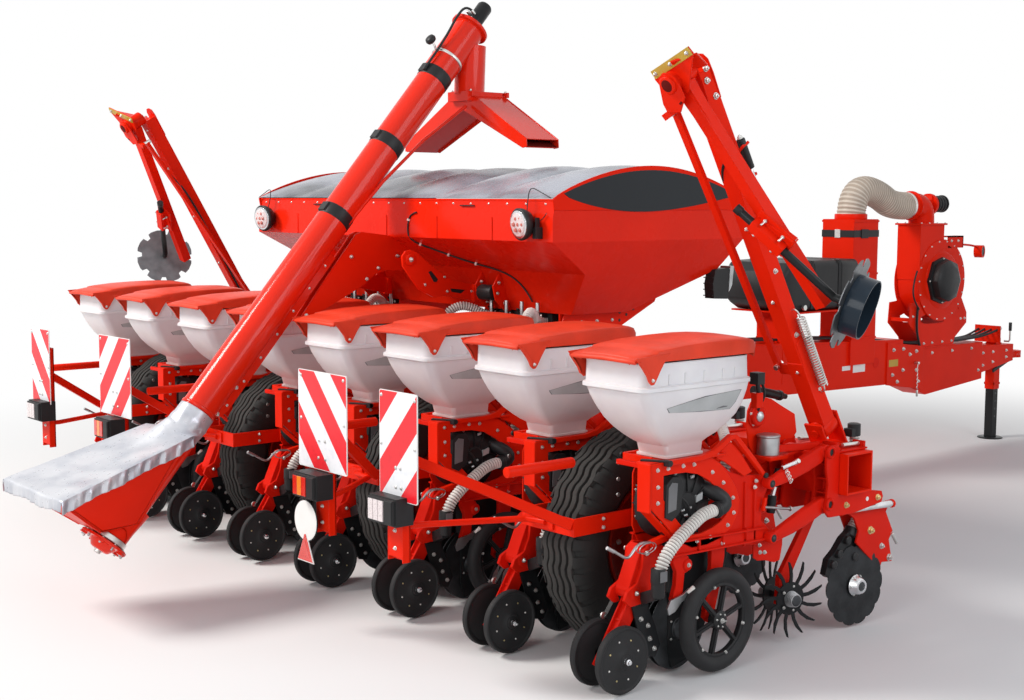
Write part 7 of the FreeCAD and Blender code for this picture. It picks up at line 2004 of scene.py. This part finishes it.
# air hoses from the metering units to each row, on the route of their CAD solids
REAR, LEVEL = 1.1697, 1.4525
for side in SIDES:
    for row, start in ((0.5, 0.520), (1.5, 0.940), (2.5, 0.800), (3.5, 0.660)):
        end = row * 0.750
        across = end - start
        route = [(start, REAR, LEVEL), (start, REAR - 0.070, LEVEL)]
        if row == 2.5:
            route += [(0.830, REAR - 0.130, LEVEL - 0.060), (0.925, REAR - 0.150, LEVEL - 0.170),
                      (1.190, REAR - 0.140, LEVEL - 0.250), (end - 0.260, REAR - 0.190, LEVEL - 0.260)]
        elif row == 3.5:
            route += [(0.680, REAR - 0.120, LEVEL - 0.080), (0.750, REAR - 0.110, LEVEL - 0.220),
                      (1.050, REAR - 0.090, LEVEL - 0.340), (1.600, REAR - 0.075, LEVEL - 0.355),
                      (end - 0.500, REAR - 0.090, LEVEL - 0.350), (end - 0.220, REAR - 0.190, LEVEL - 0.350)]
        else:
            route += [(start + across * 0.3, REAR - 0.135, LEVEL + 0.050),
                      (start + across * 0.6, REAR - 0.215, LEVEL + 0.072),
                      (start + across * 0.85, REAR - 0.295, LEVEL + 0.020),
                      (end, REAR - 0.345, LEVEL - 0.095)]
        route += [(end, 0.800, 1.020), (end, 0.795, 0.900), (end, 0.730, 0.785), (end, 0.6153, 0.785)]
        hose = Shape()
        corrugated(hose, [(x * side, y, z) for x, y, z in route], 0.0268, 0.0150, HOSE_RIB, HOSE_WALL_PAINTED_SHADE, 11,
                   0.17)
        name = f"air_hose_{'right' if side > 0 else 'left'}_{int(row + 0.5)}"
        show(name, hose.data(name, smooth=30), "frame", place=ORIGIN)

metering = Shape()
for side in SIDES:
    for step in range(4):
        x = side * (0.500 + 0.135 * step)
        metering.box((x - 0.052, 1.130, 1.412), (x + 0.052, 1.172, 1.494), BLACK)
        metering.turned([(0, 0.031), (0.030, 0.031), (0.034, 0.028)], (x, 1.150, 1.4525), (0, -1, 0), BLACK,
                        24)
        metering.beam((x, 1.148, 1.470), (x + side * 0.004, 1.105, 1.515), 0.020, 0.008, BLACK)
        metering.bolt((x + 0.045, 1.130, 1.484), (0, -1, 0), 0.006)
        metering.bolt((x - 0.045, 1.130, 1.422), (0, -1, 0), 0.006)
        metering.rod((x + 0.060, 1.090, 1.440), (x + 0.060, 1.090, 1.560), 0.012, GREY_STEEL)
    metering.rod((side * 0.440, 1.100, 1.430), (side * 1.020, 1.100, 1.430), 0.012, ZINC)
    for x in (0.470, 0.740, 1.010):
        metering.box((side * x - 0.010, 1.095, 1.412), (side * x + 0.010, 1.180, 1.450), GREY_STEEL)
show("metering_units", metering.data("metering", bevel=0.001, smooth=35), "frame",
     place=ORIGIN)

# ---- row markers ------------------------------------------------------------------------------------

def marker_pieces(side):
    """The fittings of the lower arm, the upper arm with its dark rod, and the disc with its drum."""
    hand = "right" if side > 0 else "left"

    def on(out, up, ahead=0.0):
        return Vector((side * (2.640 + out), 1.500 - 0.5 * up + 0.866025 * ahead,
                       1.028 + 0.866025 * up + 0.5 * ahead))

    forward = Vector((0, 0.866025, 0.5))
    upward = Vector((0, -0.5, 0.866025))
    over = Vector((side, 0, 0))
    low = Shape()

    def slab(points, back, front, material=RED):
        """A flat plate square to the swing, from (out, up) points."""
        low.rings([[on(out, up, ahead) for out, up in points] for ahead in (back, front)], material)

    low.beam(on(0, 0, 0), on(0, 1.930, 0), 0.084, 0.084, RED, over)
    low.turned([(-0.052, 0.048), (-0.048, 0.052), (0.048, 0.052), (0.052, 0.048)], on(0, 0, 0), forward, RED,
               36)
    for ahead in (-0.044, 0.038):
        slab([(-0.048, 1.780), (0.044, 1.780), (0.050, 1.900), (0.046, 1.965), (0.026, 1.990),
              (-0.006, 1.994), (-0.040, 1.980), (-0.052, 1.940)], ahead, ahead + 0.006)
    slab([(-0.058, 1.950), (-0.047, 1.993), (-0.015, 2.014), (0.020, 2.012), (0.049, 1.990), (0.057, 1.948),
          (0.062, 1.892), (0.010, 1.826), (-0.066, 1.828), (-0.074, 1.870)], -0.190, -0.182)
    low.turned([(0, 0.042), (0.010, 0.042), (0.014, 0.038), (0.014, 0.030)], on(0, 1.960, -0.190), -forward,
               RED, 36)
    # The dark disc in the boss's bore and the small dark patch below it are painted shade.
    low.turned([(0.0142, 0.029), (0.0150, 0.028)], on(0, 1.960, -0.190), -forward, PAINTED_SHADE_RED, 32)
    slab([(0.020, 1.868), (0.036, 1.880), (0.044, 1.872), (0.028, 1.860)], -0.1912, -0.1904, PAINTED_SHADE_RED)
    # carrier and the yellow end plate
    slab([(-0.104, 1.972), (-0.102, 2.016), (0.150, 2.110), (0.166, 2.078), (0.062, 1.900), (-0.050, 1.870)],
         -0.156, -0.150)
    low.beam(on(0.100, 2.060, -0.150), on(0.030, 1.960, -0.040), 0.010, 0.120, RED, upward)
    low.beam(on(-0.103, 1.995, -0.158), on(0.157, 2.092, -0.158), 0.003, 0.040, YELLOW_PAINT, forward)
    for out, up in ((-0.084, 2.002), (0.020, 2.041), (0.134, 2.084)):
        low.bolt(on(out, up, -0.160), -forward, 0.009)
    low.beam(on(-0.108, 1.800, -0.172), on(-0.030, 1.834, -0.172), 0.026, 0.030, RED, forward)
    # control link to the fold cylinder
    low.beam(on(-0.078, 1.806, -0.130), on(-0.150, 0.345, 0.0), 0.036, 0.022, RED, over)
    low.beam(on(-0.150, 0.330, 0.0), on(0.0, 0.330, 0.0), 0.060, 0.012, RED, upward)
    for up in (0.35, 0.75, 1.15, 1.55, 1.86):
        low.bolt(on(0.0, up, -0.040), -forward, 0.010)
    for up, out in ((0.22, 0.012), (0.55, -0.010), (0.90, 0.0)):
        low.bolt(on(0.040, up, out), over, 0.012)
    low.beam(on(0.0, 0.05, -0.042), on(0.0, 0.40, -0.042), 0.094, 0.006, RED, over)
    low.beam(on(0.043, 0.03, 0.0), on(0.043, 0.52, 0.0), 0.006, 0.090, RED, over, 0.75)
    low.beam(on(-0.043, 0.03, 0.0), on(-0.043, 0.52, 0.0), 0.006, 0.090, RED, over, 0.75)
    # fold stop with its black cylinder near the top
    low.beam(on(0.042, 1.50, 0.01), on(0.120, 1.56, 0.01), 0.050, 0.012, RED, forward)
    low.beam(on(0.042, 1.40, 0.01), on(0.105, 1.40, 0.01), 0.050, 0.012, RED, forward)
    low.rod(on(0.100, 1.585, 0.01), on(0.100, 1.440, 0.01), 0.020, BLACK)
    low.rod(on(0.100, 1.440, 0.01), on(0.100, 1.360, 0.01), 0.010, CHROME)
    low.bolt(on(0.100, 1.590, 0.01), upward, 0.012)
    # control link's pins and the hydraulic hose that runs beside it
    for point in (on(-0.150, 0.345, 0.0), on(-0.078, 1.806, -0.130)):
        low.turned([(-0.026, 0.014), (0.026, 0.014)], point, forward, ZINC, 16)
    for up, out in ((1.935, 0.010), (1.885, -0.008), (1.800, 0.012)):
        low.bolt(on(0.043, up, out), over, 0.014)
    hose = smooth_line([on(-0.048, 0.12, -0.02), on(-0.052, 0.50, -0.022), on(-0.052, 0.95, -0.020),
                        on(-0.050, 1.30, -0.022), on(-0.030, 1.47, -0.046), on(0.040, 1.52, -0.044)], 0.03)
    low.pipe(hose, 0.007, BLACK, 8)
    # coil spring beside the lower arm
    start, end = on(0.072, 0.215, 0.02), on(0.076, 0.660, 0.02)
    turns = 28
    coil = []
    for step in range(turns * 10 + 1):
        share = step / (turns * 10)
        turn = math.tau * share * turns
        centre = start.lerp(end, 0.06 + 0.88 * share)
        coil.append(centre + (over * math.cos(turn) + forward * math.sin(turn)) * 0.0205)
    low.pipe(coil, 0.0042, ZINC, 5)
    for point, sign in ((start, -1), (end, 1)):
        hook = [point.lerp(end if sign < 0 else start, 0.06), point,
                point + upward * sign * 0.020 - over * 0.020, point + upward * sign * 0.012 - over * 0.036]
        low.pipe(smooth_line(hook, 0.006), 0.0042, ZINC, 6)
    show(f"{hand}_marker_fittings", low.data(f"{hand}_marker_low", bevel=0.0008, smooth=35),
         f"{hand}_marker_lower_body", [f"{hand}_marker_lower"], ORIGIN)

    # upper arm: tube, boss, clamp with flanges, U-bolts and the black bent rod
    up_arm = Shape()
    splay = math.radians(17.5)
    far = (1.211 * math.sin(splay), 1.960 - 1.211 * math.cos(splay))
    up_arm.beam(on(0, 1.960, -0.110), on(*far, -0.110), 0.062, 0.062, RED, forward)
    up_arm.turned([(-0.0685, 0.044), (-0.064, 0.048), (0.064, 0.048), (0.0685, 0.044)], on(0, 1.960, -0.110),
                  -forward, RED, 36)
    up_arm.beam(on(0.010, 1.925, -0.110), on(0.085, 1.680, -0.110), 0.056, 0.090, RED, forward, 0.7)
    along = Vector((math.sin(math.radians(40)), -math.cos(math.radians(40))))
    middle = Vector((0.800 * math.sin(splay), 1.960 - 0.800 * math.cos(splay)))

    def off(distance, across=0.0, ahead=-0.1540):
        place = middle + along * distance + Vector((along.y, -along.x)) * across * -1
        return on(place.x, place.y, ahead)

    across_axis = (off(0, 0.01) - off(0)).normalized()
    def sheet_plate(points, back, front, material=RED):
        up_arm.rings([[on(out, up, ahead) for out, up in points] for ahead in (back, front)], material)

    up_arm.beam(off(-0.100, 0, -0.1475), off(0.100, 0, -0.1475), 0.140, 0.008, RED, across_axis)
    up_arm.beam(off(-0.092, 0, -0.1765), off(0.092, 0, -0.1765), 0.056, 0.050, RED, across_axis)
    sheet_plate([(0.140, 1.290), (0.240, 1.266), (0.356, 1.158), (0.304, 1.116), (0.215, 1.090)], -0.160,
                -0.153)
    # The dark plate inside this plate's outline is painted shade in its window.
    sheet_plate([(0.214, 1.222), (0.246, 1.218), (0.314, 1.158), (0.288, 1.146), (0.226, 1.200)], -0.1612,
                -0.1604, PAINTED_SHADE_RED)
    up_arm.beam(on(0.236, 1.268, -0.142), on(0.354, 1.160, -0.142), 0.006, 0.040, RED, across_axis)
    up_arm.beam(on(0.356, 1.156, -0.142), on(0.302, 1.114, -0.142), 0.006, 0.040, RED, upward)
    for shift in (-0.052, 0.052):
        for reach in (-0.042, 0.046):
            up_arm.rod(off(shift, reach, -0.150), off(shift, reach, -0.196), 0.0055, ZINC, 12)
            up_arm.bolt(off(shift, reach, -0.162), -forward, 0.009)
    bend = on(0.4945, 0.8944, -0.1765)
    start = on(0.1185, 1.3425, -0.1765)
    level = Vector((side * math.cos(math.radians(27)), 0, 0)) - upward * math.sin(math.radians(27))
    spin = level * math.cos(math.radians(9)) + forward * math.sin(math.radians(9))
    hub = bend + spin * 0.070
    up_arm.rod(start, bend, 0.0188, BLACK_PAINT, 24)
    up_arm.turned([(0, 0.022), (0.030, 0.022), (0.034, 0.018)], start + (start - bend).normalized() * 0.002,
                  (bend - start), BLACK, 24)
    up_arm.turned([(-0.018, 0.012), (-0.010, 0.017), (0.0, 0.0188), (0.010, 0.017), (0.018, 0.012)], bend,
                  spin, BLACK_PAINT, 24)
    up_arm.rod(bend, hub - spin * 0.001, 0.0188, BLACK_PAINT, 24)
    show(f"{hand}_marker_arm", up_arm.data(f"{hand}_marker_up", bevel=0.0012, smooth=35),
         f"{hand}_marker_upper_body", [f"{hand}_marker_upper"], ORIGIN)

    # notched disc and its open depth drum
    disc = Shape()
    outline = []
    for number in range(8):
        for share, radius in ((0.00, 0.170), (0.20, 0.172), (0.25, 0.205), (0.40, 0.2095), (0.70, 0.2095),
                              (0.93, 0.205),
                              (0.98, 0.172)):
            outline.append((math.tau * (number + share) / 8, radius))
    lobed(disc, hub + spin * 0.003, spin, outline, 0.005, MARKER_STEEL, 0.0)
    disc.turned([(0.006, 0.100), (0.006, 0.1345), (0.086, 0.1345), (0.0895, 0.1350), (0.0895, 0.1285),
                 (0.086, 0.1285), (0.012, 0.1285), (0.012, 0.020)], hub, spin, DRUM_BLUE, 56, False)
    disc.turned([(0.010, 0.020), (0.012, 0.030), (0.030, 0.030), (0.034, 0.024), (0.034, 0.010)], hub, spin,
                DRUM_BLUE, 28)
    for step in range(5):
        turn = math.tau * step / 5
        first = spin.orthogonal().normalized()
        second = spin.cross(first)
        disc.bolt(hub + spin * 0.012 + (first * math.cos(turn) + second * math.sin(turn)) * 0.060, spin,
                  0.009)
    for step in range(3):
        turn = math.tau * step / 3 + 0.5
        first = spin.orthogonal().normalized()
        second = spin.cross(first)
        disc.turned([(0.0, 0.026), (0.0012, 0.026)],
                    hub + spin * 0.012 + (first * math.cos(turn) + second * math.sin(turn)) * 0.092, spin,
                    BLACK, 20)
    show(f"{hand}_marker_wheel", disc.data(f"{hand}_marker_disc", bevel=0.0008, smooth=35),
         f"{hand}_marker_disc_body", [f"{hand}_marker_disc"], ORIGIN)


MARKER_STEEL = metal("marker_steel", (0.16, 0.165, 0.175), 0.40)
DRUM_BLUE = paint("drum_blue", (0.018, 0.030, 0.045), 0.32, 0.002, 0.3)
for side in SIDES:
    marker_pieces(side)

# ---- camera, floor and light --------------------------------------------------------------

CAMERA_PLACE = (6.973, -4.225, 2.136)
FLOOR_HALF, FADE_START, FADE_END = 60, 3.5, 8.5
YAW, PITCH, ROLL = math.radians(49.52), math.radians(6.0), math.radians(0.22)


def camera():
    """The photograph's three-quarter view from behind and to the right."""
    data = bpy.data.cameras.new("camera")
    data.lens = 50.39
    data.sensor_width = 36
    data.sensor_fit = "HORIZONTAL"
    data.clip_end = 200
    item = linked("camera", data)
    forward = Vector((-math.sin(YAW) * math.cos(PITCH), math.cos(YAW) * math.cos(PITCH), -math.sin(PITCH)))
    right = Vector((math.cos(YAW), math.sin(YAW), 0))
    up = right.cross(forward)
    tilted = right * math.cos(ROLL) + up * math.sin(ROLL)
    up = up * math.cos(ROLL) - right * math.sin(ROLL)
    turn = Matrix((tilted, up, -forward)).transposed()
    item.matrix_world = Matrix.Translation(at(*CAMERA_PLACE)) @ turn.to_4x4()
    bpy.context.scene.camera = item


def seen_factor(tree):
    """One for rays that come from the camera, a mirror or glass."""
    path = add_node(tree, "LightPath")
    both = add_node(tree, "Math", operation="MAXIMUM")
    tree.links.new(path.outputs["Is Camera Ray"], both.inputs[0])
    tree.links.new(path.outputs["Is Glossy Ray"], both.inputs[1])
    every = add_node(tree, "Math", operation="MAXIMUM")
    tree.links.new(both.outputs[0], every.inputs[0])
    tree.links.new(path.outputs["Is Transmission Ray"], every.inputs[1])
    return every.outputs[0]


def floor():
    """A pale floor that fades into the white background away from the machine."""
    material, tree, shader = new_material("floor", (0.80, 0.80, 0.80), 0.9)
    shader.inputs["Specular IOR Level"].default_value = 0.1
    white = add_node(tree, "Emission", Color=(1, 1, 1, 1), Strength=1.0)
    place = add_node(tree, "TexCoord").outputs["Object"]
    far = add_node(tree, "VectorMath", operation="LENGTH")
    tree.links.new(place, far.inputs[0])
    fade = add_node(tree, "MapRange", interpolation_type="SMOOTHSTEP", From_Min=FADE_START, From_Max=FADE_END)
    tree.links.new(far.outputs["Value"], fade.inputs["Value"])
    seen = add_node(tree, "Math", operation="MULTIPLY")
    tree.links.new(fade.outputs["Result"], seen.inputs[0])
    tree.links.new(seen_factor(tree), seen.inputs[1])
    mix = add_node(tree, "MixShader")
    tree.links.new(seen.outputs[0], mix.inputs[0])
    tree.links.new(shader.outputs[0], mix.inputs[1])
    tree.links.new(white.outputs[0], mix.inputs[2])
    tree.links.new(mix.outputs[0], tree.nodes["Material Output"].inputs["Surface"])
    mesh = bpy.data.meshes.new("floor")
    half = FLOOR_HALF
    mesh.from_pydata([(-half, -half, 0), (half, -half, 0), (half, half, 0), (-half, half, 0)], [],
                     [(0, 1, 2, 3)])
    mesh.materials.append(material)
    item = linked("floor", mesh)
    item.location.z = -0.001


def world():
    """White where the camera looks past the floor, and an even soft fill for everything else."""
    sky = bpy.data.worlds.new("studio")
    sky.use_nodes = True
    tree = sky.node_tree
    fill = tree.nodes["Background"]
    fill.inputs["Color"].default_value = (0.93, 0.95, 1.0, 1)
    fill.inputs["Strength"].default_value = 0.36
    white = add_node(tree, "Background", Color=(1, 1, 1, 1), Strength=1.0)
    mix = add_node(tree, "MixShader")
    tree.links.new(seen_factor(tree), mix.inputs[0])
    tree.links.new(fill.outputs[0], mix.inputs[1])
    tree.links.new(white.outputs[0], mix.inputs[2])
    tree.links.new(mix.outputs[0], tree.nodes["World Output"].inputs["Surface"])
    bpy.context.scene.world = sky


def softbox(name, place, target, size, power, colour=(1, 1, 1)):
    data = bpy.data.lights.new(name, "AREA")
    data.shape = "DISK"
    data.size = size
    data.energy = power
    data.color = colour
    item = linked(name, data)
    direction = at(*target) - at(*place)
    item.matrix_world = (Matrix.Translation(at(*place))
                         @ direction.to_track_quat("-Z", "Y").to_matrix().to_4x4())


camera()
floor()
world()
softbox("key_light", (-5.5, -7.5, 10.0), (0, 1.5, 0.8), 4.5, 1700, (1.0, 0.97, 0.93))
softbox("fill_light", (9.0, 2.5, 5.0), (0, 2.5, 1.0), 6.0, 260, (0.92, 0.95, 1.0))
softbox("front_light", (5.0, -9.0, 4.5), (1.5, 0, 0.9), 5.0, 260)
bpy.context.scene.view_settings.view_transform = "Standard"
